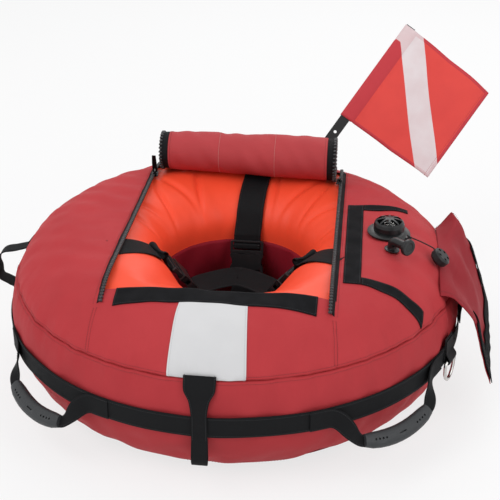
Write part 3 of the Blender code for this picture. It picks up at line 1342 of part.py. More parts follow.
def build_grip(name, hinge, along, down, face):
    """A moulded grip, bowed outwards, with rows of holes near its ends and a slot in the middle."""
    half = GRIP_LENGTH / 2.0
    rows = []
    stations = 11
    sides = 12
    for i in range(stations):
        run = 2.0 * i / (stations - 1.0) - 1.0
        middle = Vector((half * run, HANDLE_REACH - GRIP_SAGITTA * run * run, 0.0))
        slope = Vector((half, -2.0 * GRIP_SAGITTA * run, 0.0)).normalized()
        normal = Vector((-slope.y, slope.x, 0.0))
        taper = 1.0 - 0.18 * abs(run) ** 3 - (0.10 if abs(run) > 0.99 else 0.0)
        row = []
        for j in range(sides):
            turn = 2.0 * math.pi * j / sides
            c, s = math.cos(turn), math.sin(turn)
            wide = math.copysign(abs(c) ** 0.8, c) * GRIP_WIDTH / 2.0 * taper
            deep = math.copysign(abs(s) ** 0.8, s) * GRIP_DEPTH / 2.0 * taper
            row.append(middle + normal * wide + Vector((0.0, 0.0, deep)))
        rows.append(row)
    grip = add_object(name, grid(rows, wrap_columns=True, cap_ends=True), GREY, RUBBERY, smooth=40.0)
    cutters = []
    top, floor = GRIP_DEPTH, GRIP_DEPTH / 2.0 - GRIP_HOLE_DEPTH
    for end in (-1.0, 1.0):
        for i in range(GRIP_HOLES):
            u = end * (GRIP_HOLE_FIRST + GRIP_HOLE_PITCH * i)
            v = HANDLE_REACH - GRIP_SAGITTA * (u / half) ** 2
            hole = lathe([(0.0, floor), (GRIP_HOLE_RADIUS, floor), (GRIP_HOLE_RADIUS, top), (0.0, top)], 8)
            bmesh.ops.translate(hole, vec=(u, v, 0.0), verts=hole.verts)
            cutters.append(hole)
    cutters.append(box_bm((-GRIP_SLOT_LENGTH / 2.0, HANDLE_REACH - GRIP_SLOT_WIDTH / 2.0, floor),
                          (GRIP_SLOT_LENGTH / 2.0, HANDLE_REACH + GRIP_SLOT_WIDTH / 2.0, top)))
    tool = cutter(f"{name}_holes", join_bms(cutters))
    cut(grip, tool)
    frame = Matrix((along, down, along.cross(down))).transposed().to_4x4()
    if along.cross(down).dot(face) < 0.0:
        frame = Matrix((-along, down, (-along).cross(down))).transposed().to_4x4()
    frame.translation = hinge
    grip.matrix_world = frame
    tool.matrix_world = frame


def build_ring(azimuths):
    """The steel ring and the webbing tab that holds its straight bar on the belt."""
    half = WEBBING_THICKNESS / 2.0
    seat = COVER_RADIUS + SEAM_GAP + BELT_THICKNESS
    spread = TAB_WIDTH / 2.0 / seat
    turns = [spread * k / 8.0 for k in range(-8, 9)]
    reach = max(seat * facet_share(RING_AZIMUTH + turn, azimuths) * math.cos(turn) for turn in turns)
    bend = RING_WIRE + 0.0012 + half
    inner = reach + TRIM_LIFT + half
    bar = inner + bend
    path = [(inner, TAB_TOP, 0.0), (inner, TAB_TOP - 0.015, 0.0), (inner, TAB_FOLD, 0.0)]
    for i in range(1, 6):
        turn = math.pi * i / 6.0
        path.append((bar - bend * math.cos(turn), TAB_FOLD - bend * math.sin(turn), 0.0))
    outer = inner + WEBBING_THICKNESS + SEAM_GAP
    path += [(bar + bend, TAB_FOLD, 0.0), (bar + bend - 0.0006, TAB_FOLD + 0.004, 0.0),
             (outer + 0.0006, TAB_FOLD + 0.014, 0.0), (outer, TAB_TOP - 0.014, 0.0),
             (outer, TAB_TOP - 0.004, 0.0)]
    wrapped_webbing("d_ring_tab", RING_AZIMUTH, path, TAB_WIDTH, WEBBING_THICKNESS)
    wide = RING_INNER_WIDTH / 2.0 + RING_WIRE
    corner = 0.007
    outline = [Vector((-wide + corner, 0.0)), Vector((wide - corner, 0.0)), Vector((wide - 0.001, -0.0022)),
               Vector((wide, -corner))]
    drop = RING_HEIGHT - 2.0 * RING_WIRE
    for i in range(1, 8):
        turn = math.pi * i / 8.0
        low = corner + 0.004 + (drop - corner - 0.004) * math.sin(turn)
        outline.append(Vector((wide * math.cos(turn), -low)))
    outline += [Vector((-wide, -corner)), Vector((-wide + 0.001, -0.0022))]
    rows = []
    count = len(outline)
    for i, point in enumerate(outline):
        ahead = (outline[(i + 1) % count] - outline[i - 1]).normalized()
        side = Vector((-ahead.y, ahead.x))
        row = []
        for k in range(8):
            turn = math.pi * k / 4.0
            wide_by, high_by = RING_WIRE * math.cos(turn), RING_WIRE * math.sin(turn)
            row.append(Vector((point.x + side.x * wide_by, point.y + side.y * wide_by, high_by)))
        rows.append(row)
    ring = add_object("d_ring", grid(rows, wrap_rows=True, wrap_columns=True), STEEL, METAL)
    out = around(RING_AZIMUTH, 1.0, 0.0)
    frame = Matrix((UP.cross(out), UP, out)).transposed().to_4x4()
    frame.translation = around(RING_AZIMUTH, bar, TAB_FOLD)
    ring.matrix_world = frame


# Valve flap

def flap_point(share, drop):
    """A point on the hanging valve flap: share runs from front to back, drop from the sewn line down."""
    front = [Vector((FLAP_FOLD_X, 0.2405)), Vector((0.384, 0.2200)), Vector((0.412, 0.1840)),
             Vector((0.428, 0.1350)), Vector((FLAP_FRONT_REACH, FLAP_FRONT_HANG))]
    back = [Vector((FLAP_FOLD_X, 0.2600)), Vector((0.384, 0.2740)), Vector((0.409, 0.2290)),
            Vector((0.436, 0.1670)), Vector((FLAP_BACK_REACH, FLAP_BACK_HANG))]
    paths = []
    for corners in (front, back):
        fine = smooth_path(corners, 8)
        paths.append(fine)
    place = drop * (len(paths[0]) - 1)
    low = min(int(place), len(paths[0]) - 2)
    part = place - low
    ends = [path[low].lerp(path[low + 1], part) for path in paths]
    blend = share * share * (3.0 - 2.0 * share)
    point = ends[0].lerp(ends[1], blend)
    y = FLAP_FRONT + (FLAP_BACK - FLAP_FRONT) * share
    y += (-0.004 if share < 0.5 else 0.004) * drop
    seat = top_at(FLAP_FOLD_X, y)[0].z + TRIM_LIFT
    hold = max(0.0, 1.0 - drop * 4.0)
    z = point.y * (1.0 - hold) + seat * hold
    wave = FLAP_FOLD_DEPTH * math.sin(2.0 * math.pi * FLAP_FOLDS * share + 0.6)
    wave *= math.sin(math.pi * min(drop * 1.15, 1.0))
    return clear_of_ring(Vector((point.x + wave, y, z)), 0.004 * min(drop * 6.0, 1.0) + TRIM_LIFT)


def build_valve_flap():
    """The flap over the valve, folded open so that it hangs outside, and the edging on its free end."""
    columns, rows_down = 12, 12
    rows = []
    for i in range(columns + 1):
        rows.append([flap_point(i / columns, j / rows_down) for j in range(rows_down + 1)])
    sheet("valve_flap", rows, FLAP_CLOTH, RED, FABRIC, outward=1.0)
    outer = []
    count = 8
    for i in range(columns + 1):
        share = i / columns
        row = []
        for j in range(count + 1):
            drop = FLAP_EDGING_TOP + (1.0 - FLAP_EDGING_TOP) * j / count
            here = flap_point(share, drop)
            du = flap_point(min(share + 0.02, 1.0), drop) - flap_point(max(share - 0.02, 0.0), drop)
            dv = flap_point(share, min(drop + 0.02, 1.0)) - flap_point(share, drop - 0.02)
            normal = dv.cross(du).normalized()
            row.append(here + normal * (FLAP_CLOTH + FLAP_EDGING_LIFT))
        outer.append(row)
    wide = FLAP_VELCRO_ROWS

    def inside(i, j):
        return wide - 1 < i < columns - wide + 1 and j < count - wide

    sheet("valve_flap_velcro", outer, VELCRO_THICKNESS, BLACK, FABRIC, outward=1.0, skip=inside)


# Flag

def pole_frame():
    """The pole's matrix: its origin is the foot point on the cover, x is the fly's way, y along the pole."""
    along = Vector(POLE_DIRECTION).normalized()
    face = Vector(FLAG_FACE)
    face = (face - along * face.dot(along)).normalized()
    frame = Matrix((along.cross(face), along, face)).transposed().to_4x4()
    frame.translation = top_at(POLE_FOOT_X, POLE_FOOT_Y)[0]
    return frame


def build_flag():
    """The flat pole with its hole, and the flag whose sleeve wraps it."""
    frame = pole_frame()
    half, deep = POLE_WIDTH / 2.0, POLE_THICKNESS / 2.0
    chamfer = 0.0008
    section = [(-half, -deep + chamfer), (-half + chamfer, -deep)]
    section += [(-x, z) for x, z in reversed(section)]
    section += [(x, -z) for x, z in reversed(section)]
    end = POLE_START + POLE_LENGTH
    rows = [[Vector((x, y, z)) for x, z in section] for y in (POLE_START, end)]
    pole = add_object("flag_pole", grid(rows, wrap_columns=True, cap_ends=True), BLACK, PLASTIC)
    hole = lathe([(0.0, -0.02), (POLE_HOLE_RADIUS, -0.02), (POLE_HOLE_RADIUS, 0.02), (0.0, 0.02)], 12)
    bmesh.ops.translate(hole, vec=(0.0, POLE_HOLE_AT, 0.0), verts=hole.verts)
    tool = cutter("pole_hole", hole)
    cut(pole, tool)
    pole.matrix_world = frame
    tool.matrix_world = frame
    gap = SEAM_GAP + 0.0002 + FLAG_CLOTH / 2.0
    out, up = half + gap, deep + gap
    rows = []
    steps = 8
    for i in range(steps + 1):
        hoist = i / steps
        path = [Vector((out + 0.0020, -up)), Vector((0.0, -up)), Vector((-out + 0.0015, -up)),
                Vector((-out, -up + 0.0015)), Vector((-out, up - 0.0015)), Vector((-out + 0.0015, up)),
                Vector((0.0, up)), Vector((half - 0.001, up)),
                Vector((half + 0.004, up - 0.0009)), Vector((half + 0.011, 0.0))]
        drops = [0.0] * len(path)
        fly = 10
        for k in range(1, fly + 1):
            share = k / fly
            wave = FLAG_FOLD_DEPTH * math.sin(2.0 * math.pi * FLAG_FOLDS * share + 0.9 * hoist)
            wave *= min(share * 2.0, 1.0)
            start = half + 0.011
            path.append(Vector((start + (FLAG_FLY - start) * share, wave)))
            drops.append(FLAG_SAG * share ** 1.4 * hoist)
        outline = offset_outline(path, FLAG_CLOTH)
        levels = drops + drops[::-1]
        y = FLAG_START + FLAG_HOIST * hoist
        rows.append([Vector((p.x, y - level, p.y)) for p, level in zip(outline, levels)])
    flag = add_object("flag", grid(rows, wrap_columns=True, cap_ends=True), FLAG_RED, FABRIC, smooth=50.0)
    flag.matrix_world = frame
    build_pocket(frame)


def build_pocket(frame):
    """The pocket behind the roll that holds the pole: a boot on a patch sewn on the cover."""
    gap = 0.0004
    inner_x, inner_z = POLE_WIDTH / 2.0 + gap, POLE_THICKNESS / 2.0 + gap
    outer_x, outer_z = inner_x + POCKET_WALL, inner_z + POCKET_WALL
    floor = POLE_START - SEAM_GAP

    def section(y, x, z):
        return [frame @ Vector(p) for p in ((-x, y, -z), (x, y, -z), (x, y, z), (-x, y, z))]

    half = POCKET_PATCH / 2.0
    middle = frame.translation + frame.col[1].to_3d() * 0.010
    foot = []
    for point in section(0.0, outer_x, outer_z + 0.004):
        px, py = point.x, point.y
        foot.append(top_at(px, py, TRIM_LIFT + WEBBING_THICKNESS / 2.0)[0])
    rows = [foot, section(POLE_START + 0.004, outer_x, outer_z), section(POCKET_TOP, outer_x, outer_z),
            section(POCKET_TOP, inner_x, inner_z), section(floor, inner_x, inner_z)]
    boot = add_object("pole_pocket", grid(rows, wrap_columns=True, cap_ends=True), WEB_BLACK, FABRIC)
    patch = []
    for i in range(4):
        y = middle.y - half + POCKET_PATCH * i / 3.0
        low = [top_at(middle.x - half + POCKET_PATCH * j / 3.0, y, TRIM_LIFT)[0] for j in range(4)]
        starts = [middle.x - half + POCKET_PATCH * j / 3.0 for j in range(4)]
        high = [top_at(start, y, TRIM_LIFT + WEBBING_THICKNESS)[0] for start in starts]
        patch.append(low + high[::-1])
    cut(boot, cutter("pocket_patch", grid(patch, wrap_columns=True, cap_ends=True)), "UNION")


# Harness and buckles

def buckle_frame(place):
    """A buckle's matrix: origin in the female's mouth, y out of it towards the male, z its face."""
    if place == "back":
        lean = BACK_BUCKLE_LEAN
        along = Vector((0.0, math.sin(lean), math.cos(lean)))
        face = Vector((0.0, -math.cos(lean), math.sin(lean)))
        mouth = Vector((BACK_BUCKLE_X, BACK_BUCKLE_Y, BACK_BUCKLE_Z))
    else:
        side = LEFT if place == "left" else RIGHT
        dip, turn, tilt = SIDE_BUCKLE_DIP, SIDE_BUCKLE_TURN, SIDE_BUCKLE_TILT
        along = Vector((side * math.cos(dip) * math.cos(turn), math.cos(dip) * math.sin(turn), math.sin(dip)))
        upright = (UP - along * UP.dot(along)).normalized()
        ahead = along.cross(upright) * side
        face = upright * math.cos(tilt) + ahead * math.sin(tilt)
        mouth = Vector((side * SIDE_BUCKLE_X, SIDE_BUCKLE_Y, SIDE_BUCKLE_Z))
    frame = Matrix((along.cross(face), along, face)).transposed().to_4x4()
    frame.translation = mouth
    return frame


def cut_local(obj, label, pieces):
    """Cut local boxes out of an object whose matrix is set later: the cutter is its child."""
    tool = cutter(f"{obj.name}_{label}", join_bms(pieces))
    tool.parent = obj
    return cut(obj, tool)


def build_female(place, frame):
    """The socket of a side-release buckle: hollow, with a window at each side and a bar for its webbing."""
    half, deep = BUCKLE_WIDTH / 2.0, FEMALE_THICKNESS / 2.0
    waist = half - BUCKLE_WAIST
    far = -FEMALE_LENGTH
    right = [(half - 0.0015, 0.0), (half, -0.0020), (half, -0.0050), (waist, -0.0110), (waist, -0.0190),
             (half, -0.0260), (half, far + 0.003), (half - 0.003, far)]
    outline = right + [(-x, y) for x, y in reversed(right)]
    body = add_object(f"buckle_{place}_female", plate(outline, -deep, deep), BLACK, PLASTIC)
    room = MALE_THICKNESS / 2.0 + BUCKLE_CLEARANCE
    hollow_end = far + FEMALE_BAR + FEMALE_SLOT + FEMALE_WALL * 0.8
    side_wall = half - FEMALE_WALL
    slot = HARNESS_WIDTH / 2.0 + 0.0015
    bar = BAR_THICKNESS / 2.0
    window = (-WINDOW_START - WINDOW_LENGTH, -WINDOW_START)
    cut_local(body, "hollow", [box_bm((-side_wall, hollow_end, -room), (side_wall, 0.01, room))])
    cut_local(body, "windows", [box_bm((waist - 0.004, window[0], -room), (half + 0.01, window[1], room)),
                                box_bm((-half - 0.01, window[0], -room), (-waist + 0.004, window[1], room))])
    bar_top = far + FEMALE_BAR
    cut_local(body, "slot", [box_bm((-slot, bar_top, -0.02), (slot, bar_top + FEMALE_SLOT, 0.02))])
    cut_local(body, "above", [box_bm((-slot, far - 0.01, bar), (slot, far + FEMALE_BAR + 0.002, 0.02))])
    cut_local(body, "below", [box_bm((-slot, far - 0.01, -0.02), (slot, far + FEMALE_BAR + 0.002, -bar))])
    body.matrix_world = frame


def ladder_levels():
    """Where the male's flange, slots and bars lie along it: flange top, first bar, second bar, end."""
    flange = BUCKLE_CLEARANCE + MALE_FLANGE
    first = flange + LADDER_SLOT
    second = first + LADDER_BAR + LADDER_SLOT
    return flange, first, second, second + LADDER_BAR


def build_male(place, frame):
    """The plug of a side-release buckle: two barbed arms and a guide, and a ladder for its webbing."""
    half, deep = BUCKLE_WIDTH / 2.0, MALE_THICKNESS / 2.0
    flange, first, second, end = ladder_levels()
    start = BUCKLE_CLEARANCE
    barb = half - FEMALE_WALL - BUCKLE_CLEARANCE
    arm = barb - MALE_BARB
    inner = arm - MALE_ARM
    catch = -WINDOW_START - BUCKLE_CLEARANCE
    tip = -MALE_INSERT
    guide = MALE_GUIDE / 2.0
    right = [(guide - 0.0015, tip + 0.002), (guide, tip + 0.004), (guide, start), (inner, start),
             (inner, tip + 0.0025), (inner + 0.002, tip), (barb, catch - 0.0052), (barb, catch),
             (arm, catch), (arm, start), (half, start),
             (half, end - 0.002), (half - 0.002, end)]
    outline = right + [(-x, y) for x, y in reversed(right)]
    body = add_object(f"buckle_{place}_male", plate(outline, -deep, deep), BLACK, PLASTIC)
    slot = HARNESS_WIDTH / 2.0 + 0.0015
    bar = BAR_THICKNESS / 2.0
    cut_local(body, "slots", [box_bm((-slot, flange, -0.02), (slot, first, 0.02)),
                              box_bm((-slot, first + LADDER_BAR, -0.02), (slot, second, 0.02))])
    cut_local(body, "above", [box_bm((-slot, first - 0.002, bar), (slot, end + 0.01, 0.02))])
    cut_local(body, "below", [box_bm((-slot, first - 0.002, -0.02), (slot, end + 0.01, -bar))])
    body.matrix_world = frame


def ribbon(name, points, across, square=None):
    """Harness webbing through points on its middle line."""
    rows = []
    for point, side, up in frames_along(points, across, square):
        wide, thick = side * (HARNESS_WIDTH / 2.0), up * (WEBBING_THICKNESS / 2.0)
        rows.append([point - wide - thick, point + wide - thick, point + wide + thick, point - wide + thick])
    return add_object(name, strap_mesh(rows), WEB_BLACK, FABRIC, smooth=50.0)


def socket_loop(frame, tail):
    """Webbing round a female's bar, from its short tail to where it leaves the buckle."""
    bar = -FEMALE_LENGTH + FEMALE_BAR / 2.0
    clear = BAR_THICKNESS / 2.0 + BUCKLE_CLEARANCE + WEBBING_THICKNESS / 2.0
    flat = WEBBING_THICKNESS / 2.0 + 0.0002
    path = [(bar - 0.008 - tail, -flat), (bar - 0.008, -flat - 0.0001), (bar - 0.0035, -clear + 0.0006),
            (bar, -clear), (bar + 0.0032, -clear + 0.0004), (bar + 0.0048, 0.0),
            (bar + 0.0032, clear - 0.0004), (bar, clear),
            (bar - 0.0035, clear - 0.0006), (bar - 0.008, flat + 0.0001)]
    return [frame @ Vector((0.0, y, z)) for y, z in path]


def ladder_loop(frame):
    """Webbing through a male's ladder, from its tail under the strap to where the strap leaves."""
    flange, first, second, end = ladder_levels()
    clear = BAR_THICKNESS / 2.0 + BUCKLE_CLEARANCE + 0.0001 + WEBBING_THICKNESS / 2.0
    mid_first = first + LADDER_BAR / 2.0
    slot_one, slot_two = flange + LADDER_SLOT / 2.0, second - LADDER_SLOT / 2.0
    path = [(end + 0.005, -clear - 0.0027), (end - 0.002, -clear - 0.0027),
            (slot_two - 0.0008, -clear - 0.0022),
            (mid_first, -clear - 0.0010), (slot_one + 0.0013, -clear + 0.0005), (slot_one, 0.0),
            (slot_one + 0.0010, clear - 0.0004), (mid_first, clear), (slot_two - 0.0006, clear - 0.0005),
            (slot_two, 0.0), (slot_two + 0.0006, -clear + 0.0005), (end - 0.0018, -clear),
            (end + 0.006, -clear), (end + 0.010, -clear)]
    return [frame @ Vector((0.0, y, z)) for y, z in path]


def slope_point(azimuth, turn):
    """A point for the middle of harness webbing that bridges the bladder's inner slope."""
    fullness = slope_fullness(azimuth)
    near = bladder_slope(turn, 0.0, fullness)
    far = bladder_slope(turn, 1.0, fullness)
    normal = far - near
    bridge = HARNESS_WIDTH ** 2 / (8.0 * near.x) * abs(normal.x)
    lift = WEBBING_THICKNESS / 2.0 + HARNESS_LIFT + bridge
    point = bladder_slope(turn, lift, fullness)
    return around(azimuth, point.x, point.y)


def slope_turn(radius, fullness=THROAT_FULLNESS):
    """The turn on the bladder's inner slope at a radius."""
    share = (CREST_RADIUS - radius) / (CREST_RADIUS - THROAT_RADIUS)
    return math.acos(min(max(share, 0.0), 1.0) ** (fullness / 2.0))


def build_harness():
    """The three straps from under the cover, their buckles, and the webbing that joins the buckles."""
    frames = {place: buckle_frame(place) for place in ("back", "left", "right")}
    for place, frame in frames.items():
        build_female(place, frame)
        build_male(place, frame)
    ends = {
        "back": (Vector((BACK_BUCKLE_X, BACK_BUCKLE_Y)), Vector((BACK_STRAP_X, BACK_STRAP_END))),
        "left": (Vector((-SIDE_BUCKLE_X, SIDE_BUCKLE_Y)), Vector((-SIDE_STRAP_END, SIDE_STRAP_Y))),
        "right": (Vector((SIDE_BUCKLE_X, SIDE_BUCKLE_Y)), Vector((SIDE_STRAP_END, SIDE_STRAP_Y))),
    }
    for place, frame in frames.items():
        near, far = ends[place]
        loop = ladder_loop(frame)
        points = list(loop)
        across = [frame.col[0].to_3d()] * len(points)
        clear = 0.004 if place == "back" else 0.020
        start, stop = slope_turn(THROAT_RADIUS + clear), slope_turn(far.length)
        turns = [start + (stop - start) * i / 7.0 for i in range(8)]
        climb = []
        highest = CREST_HEIGHT - COVER_THICKNESS - SEAM_GAP - WEBBING_THICKNESS / 2.0
        hem = frame.col[0].to_3d() if place == "back" else Vector((0.0, 1.0, 0.0))
        for i, turn in enumerate(turns):
            radius = bladder_slope(turn).x
            share = (radius - near.length) / (far.length - near.length)
            heading = near.lerp(far, share)
            azimuth = math.atan2(heading.x, -heading.y)
            point = slope_point(azimuth, turn)
            climb.append(Vector((point.x, point.y, min(point.z, highest))))
            tangent = around(azimuth + QUARTER, 1.0, 0.0)
            if tangent.dot(across[0]) < 0.0:
                tangent = -tangent
            if hem.dot(tangent) < 0.0:
                hem = -hem
            across.append(tangent.lerp(hem, (i / 7.0) ** 2).normalized())
        first, second = points[-1], climb[0]
        held, laid = across[len(loop) - 1], across[len(loop)]
        bridge = []
        for i, share in enumerate(BRIDGE_SHARES):
            arch = 0.0 if place == "back" else BRIDGE_ARCH * math.sin(math.pi * share)
            bridge.append(first.lerp(second, share) + UP * arch)
            across.insert(len(loop) + i, held.lerp(laid, share ** BRIDGE_EASE).normalized())
        ribbon(f"harness_strap_{place}", points + bridge + climb, across, len(loop) - 1)
    build_cross(frames)
    build_centre(frames["back"])


def build_cross(frames):
    """The webbing between the two side buckles, in an arc towards the back."""
    right = socket_loop(frames["right"], SOCKET_TAIL)
    lean = frames["right"].col[0].to_3d()
    flat = Vector((0.0, -1.0, -0.25)).normalized()
    leave = -frames["right"].col[1].to_3d()
    shift = right[-1] + leave * 0.010
    arc = [shift, Vector((shift.x * 0.62, CROSS_BACK * 0.15, (shift.z + CROSS_HEIGHT) / 2.0 - 0.002)),
           Vector((0.0, CROSS_BACK, CROSS_HEIGHT))]
    arc += [Vector((-p.x, p.y, p.z)) for p in reversed(arc[:-1])]
    arc = smooth_path(arc, 3)
    middle = arc[len(arc) // 2]
    half = arc[:len(arc) // 2]
    half += [Vector((x, middle.y, middle.z)) for x in (CROSS_SEAM, SEAM_GAP / 2.0)]
    across = [lean] * len(right)
    across += [lean.lerp(flat, min(1.0, i / (len(half) - 2.0))).normalized() for i in range(len(half))]
    points = right + half
    ribbon("harness_cross_right", points, across, len(right))
    mirror = Vector((-1.0, 1.0, 1.0))
    ribbon("harness_cross_left", [p * mirror for p in points], [a * mirror for a in across], len(right))


def build_centre(frame):
    """The webbing from the back buckle forward across the hole and up over the bladder's front."""
    loop = socket_loop(frame, SOCKET_TAIL)
    leave = (loop[-1] - loop[-2]).normalized()
    low = loop[-1] + leave * 0.006 - Vector((0.0, SOCKET_TAIL / 2.0, 0.0))
    run = [low, Vector((BACK_BUCKLE_X * 0.8, low.y - 0.018, low.z - 0.010)),
           Vector((BACK_BUCKLE_X * 0.6, 0.030, low.z - 0.006)),
           Vector((BACK_BUCKLE_X * 0.3, -0.045, low.z + 0.006)), Vector((0.0, -0.103, low.z + 0.046)),
           Vector((0.0, -THROAT_RADIUS + 0.0050, THROAT_HEIGHT + 0.002))]
    run = smooth_path(run, 3)
    fullness = slope_fullness(0.0)
    start, stop = slope_turn(THROAT_RADIUS + 0.004, fullness), slope_turn(CENTRE_FRONT_END, fullness)
    climb = [slope_point(0.0, start + (stop - start) * i / 7.0) for i in range(8)]
    points = loop + run + climb
    ribbon("harness_centre", points, [Vector((1.0, 0.0, 0.0))] * len(points))


def main():
    """Build every sub-part."""
    clear_scene()
    azimuths = ring_azimuths()
    build_bladder(azimuths)
    build_cover_top(azimuths)
    build_cover_side(azimuths)
    build_cover_bottom(azimuths)
    build_inner_collar(azimuths)
    build_belt(azimuths)
    build_white_panels()
    build_velcro()
    for side, name, lean in ((LEFT, "left", PULL_LEAN_LEFT), (RIGHT, "right", PULL_LEAN_RIGHT)):
        build_zip(side, name)
        build_slider(side, name, lean)
    build_roll()
    build_valve()
    build_tube()
    build_knob()
    build_front_strap()
    build_side_loops()
    build_handles(azimuths)
    build_ring(azimuths)
    build_valve_flap()
    build_flag()
    build_harness()


main()
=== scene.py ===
"""Freediving buoy: the cloth, webbing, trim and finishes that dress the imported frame.

The frame holds the rigid pieces in metres, +Z up, with the front of the buoy towards -Y. The cloth is
made here as fine surfaces from the ring's own outline, webbing follows the straps' middle lines, zip
teeth and stitches are rows of copies made with Geometry Nodes, and every finish is a node material.
An azimuth is measured round the ring from the front, positive towards +X.
"""

from __future__ import annotations

import json
import logging
import math
from collections.abc import Iterator
from contextlib import contextmanager
from dataclasses import dataclass, field
from enum import Enum

import bmesh
import bpy
import numpy as np
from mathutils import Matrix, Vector

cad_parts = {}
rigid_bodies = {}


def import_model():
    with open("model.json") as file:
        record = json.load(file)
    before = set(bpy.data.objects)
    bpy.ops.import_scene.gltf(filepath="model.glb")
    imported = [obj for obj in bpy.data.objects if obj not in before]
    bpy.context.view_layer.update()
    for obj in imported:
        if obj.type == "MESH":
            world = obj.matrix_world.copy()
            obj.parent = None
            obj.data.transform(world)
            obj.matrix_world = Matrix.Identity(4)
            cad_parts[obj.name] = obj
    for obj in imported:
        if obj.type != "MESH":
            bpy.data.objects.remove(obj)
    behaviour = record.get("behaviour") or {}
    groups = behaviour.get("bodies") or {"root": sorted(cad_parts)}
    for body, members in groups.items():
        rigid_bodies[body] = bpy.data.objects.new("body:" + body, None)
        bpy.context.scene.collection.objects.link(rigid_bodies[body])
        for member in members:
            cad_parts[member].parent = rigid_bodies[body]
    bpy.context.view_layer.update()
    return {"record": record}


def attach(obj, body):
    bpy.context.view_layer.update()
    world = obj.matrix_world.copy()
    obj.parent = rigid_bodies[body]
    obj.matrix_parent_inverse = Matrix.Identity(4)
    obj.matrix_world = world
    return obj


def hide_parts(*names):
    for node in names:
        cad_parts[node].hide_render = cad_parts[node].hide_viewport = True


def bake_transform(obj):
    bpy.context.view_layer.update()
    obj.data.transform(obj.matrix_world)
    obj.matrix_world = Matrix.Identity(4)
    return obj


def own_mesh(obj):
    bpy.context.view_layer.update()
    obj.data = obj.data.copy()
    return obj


LOG = logging.getLogger("buoy")

# short names for the types that the notes below use
Colour = tuple[float, float, float]
Point = tuple[float, float, float]
Array = np.ndarray
Pair = tuple[np.ndarray, np.ndarray]
Piece = bpy.types.Object
Material = bpy.types.Material

CLOTH_UV = "cloth"
FACE = "face"

# where the dump valve's axis stands, x and y
VALVE = (0.267, -0.022)


class Side(Enum):
    """The two sides of the buoy, with the sign of x."""

    LEFT = -1.0
    RIGHT = 1.0

    @property
    def label(self) -> str:
        """The side's name as it stands in the names of pieces."""
        return self.name.lower()


class Tone:
    """Colours, linear RGB."""

    RED: Colour = (0.490, 0.044, 0.051)
    DEEP_RED: Colour = (0.450, 0.040, 0.047)
    ROLL_RED: Colour = (0.470, 0.058, 0.064)
    # Painted shade: the valve flap's red is darkened to stand in for the shade on its hanging part.
    FLAP_RED: Colour = (0.300, 0.024, 0.032)
    # Painted shade: a darker red for the cloth wall in the hole and the bottom panel, standing in for the
    # shade there.
    DARK_RED: Colour = (0.280, 0.012, 0.025)
    ORANGE: Colour = (1.000, 0.088, 0.036)
    WHITE: Colour = (0.680, 0.680, 0.690)
    FLAG_RED: Colour = (0.760, 0.075, 0.062)
    FLAG_HEM: Colour = (0.560, 0.050, 0.062)
    FLAG_WHITE: Colour = (0.800, 0.740, 0.755)
    WEBBING: Colour = (0.0070, 0.0073, 0.0082)
    TRIM: Colour = (0.0080, 0.0080, 0.0090)
    PLASTIC: Colour = (0.0090, 0.0095, 0.0105)
    GRIP: Colour = (0.0360, 0.0385, 0.0420)
    # Painted highlight: the black zip teeth and cords are given a lighter grey to stand in for the teeth's
    # glints.
    ZIP: Colour = (0.0440, 0.0440, 0.0470)
    # Partly painted highlight: the buckles' black plastic is lightened so that their shape reads as it does
    # with highlights.
    BUCKLE: Colour = (0.0170, 0.0170, 0.0185)
    STEEL: Colour = (0.620, 0.610, 0.590)
    PALE_THREAD: Colour = (0.620, 0.360, 0.330)
    DARK_THREAD: Colour = (0.160, 0.016, 0.020)
    BLACK_THREAD: Colour = (0.026, 0.027, 0.030)
    WHITE_THREAD: Colour = (0.560, 0.560, 0.570)


# Materials

class Wire:
    """One output of a material's node. Python's operators on numbers add Math nodes."""

    def __init__(self, net: Net, socket: bpy.types.NodeSocket) -> None:
        """Wrap an output socket of a net."""
        self.net = net
        self.socket = socket

    def _math(self, operation: str, *values: object) -> Wire:
        """Add a Math node with these values."""
        return self.net.node("ShaderNodeMath", {"operation": operation}, dict(enumerate(values)))

    def __add__(self, other: object) -> Wire:
        """Sum."""
        return self._math("ADD", self, other)

    def __sub__(self, other: object) -> Wire:
        """Difference."""
        return self._math("SUBTRACT", self, other)

    def __rsub__(self, other: object) -> Wire:
        """Difference, with the number first."""
        return self._math("SUBTRACT", other, self)

    def __mul__(self, other: object) -> Wire:
        """Product."""
        return self._math("MULTIPLY", self, other)

    def __truediv__(self, other: object) -> Wire:
        """Quotient."""
        return self._math("DIVIDE", self, other)

    def __abs__(self) -> Wire:
        """Size without its sign."""
        return self._math("ABSOLUTE", self)

    def sine(self) -> Wire:
        """Sine of an angle in radians."""
        return self._math("SINE", self)

    def least(self, other: object) -> Wire:
        """The smaller of two values."""
        return self._math("MINIMUM", self, other)

    def most(self, other: object) -> Wire:
        """The larger of two values."""
        return self._math("MAXIMUM", self, other)

    def rise(self, low: float, high: float) -> Wire:
        """A smooth step.

        Args:
            low: The value below which the result is 0.
            high: The value above which the result is 1.

        Returns:
            The step, between 0 and 1.
        """
        settings = {"interpolation_type": "SMOOTHSTEP"}
        limits = {"Value": self, "From Min": low, "From Max": high}
        return self.net.node("ShaderNodeMapRange", settings, limits)


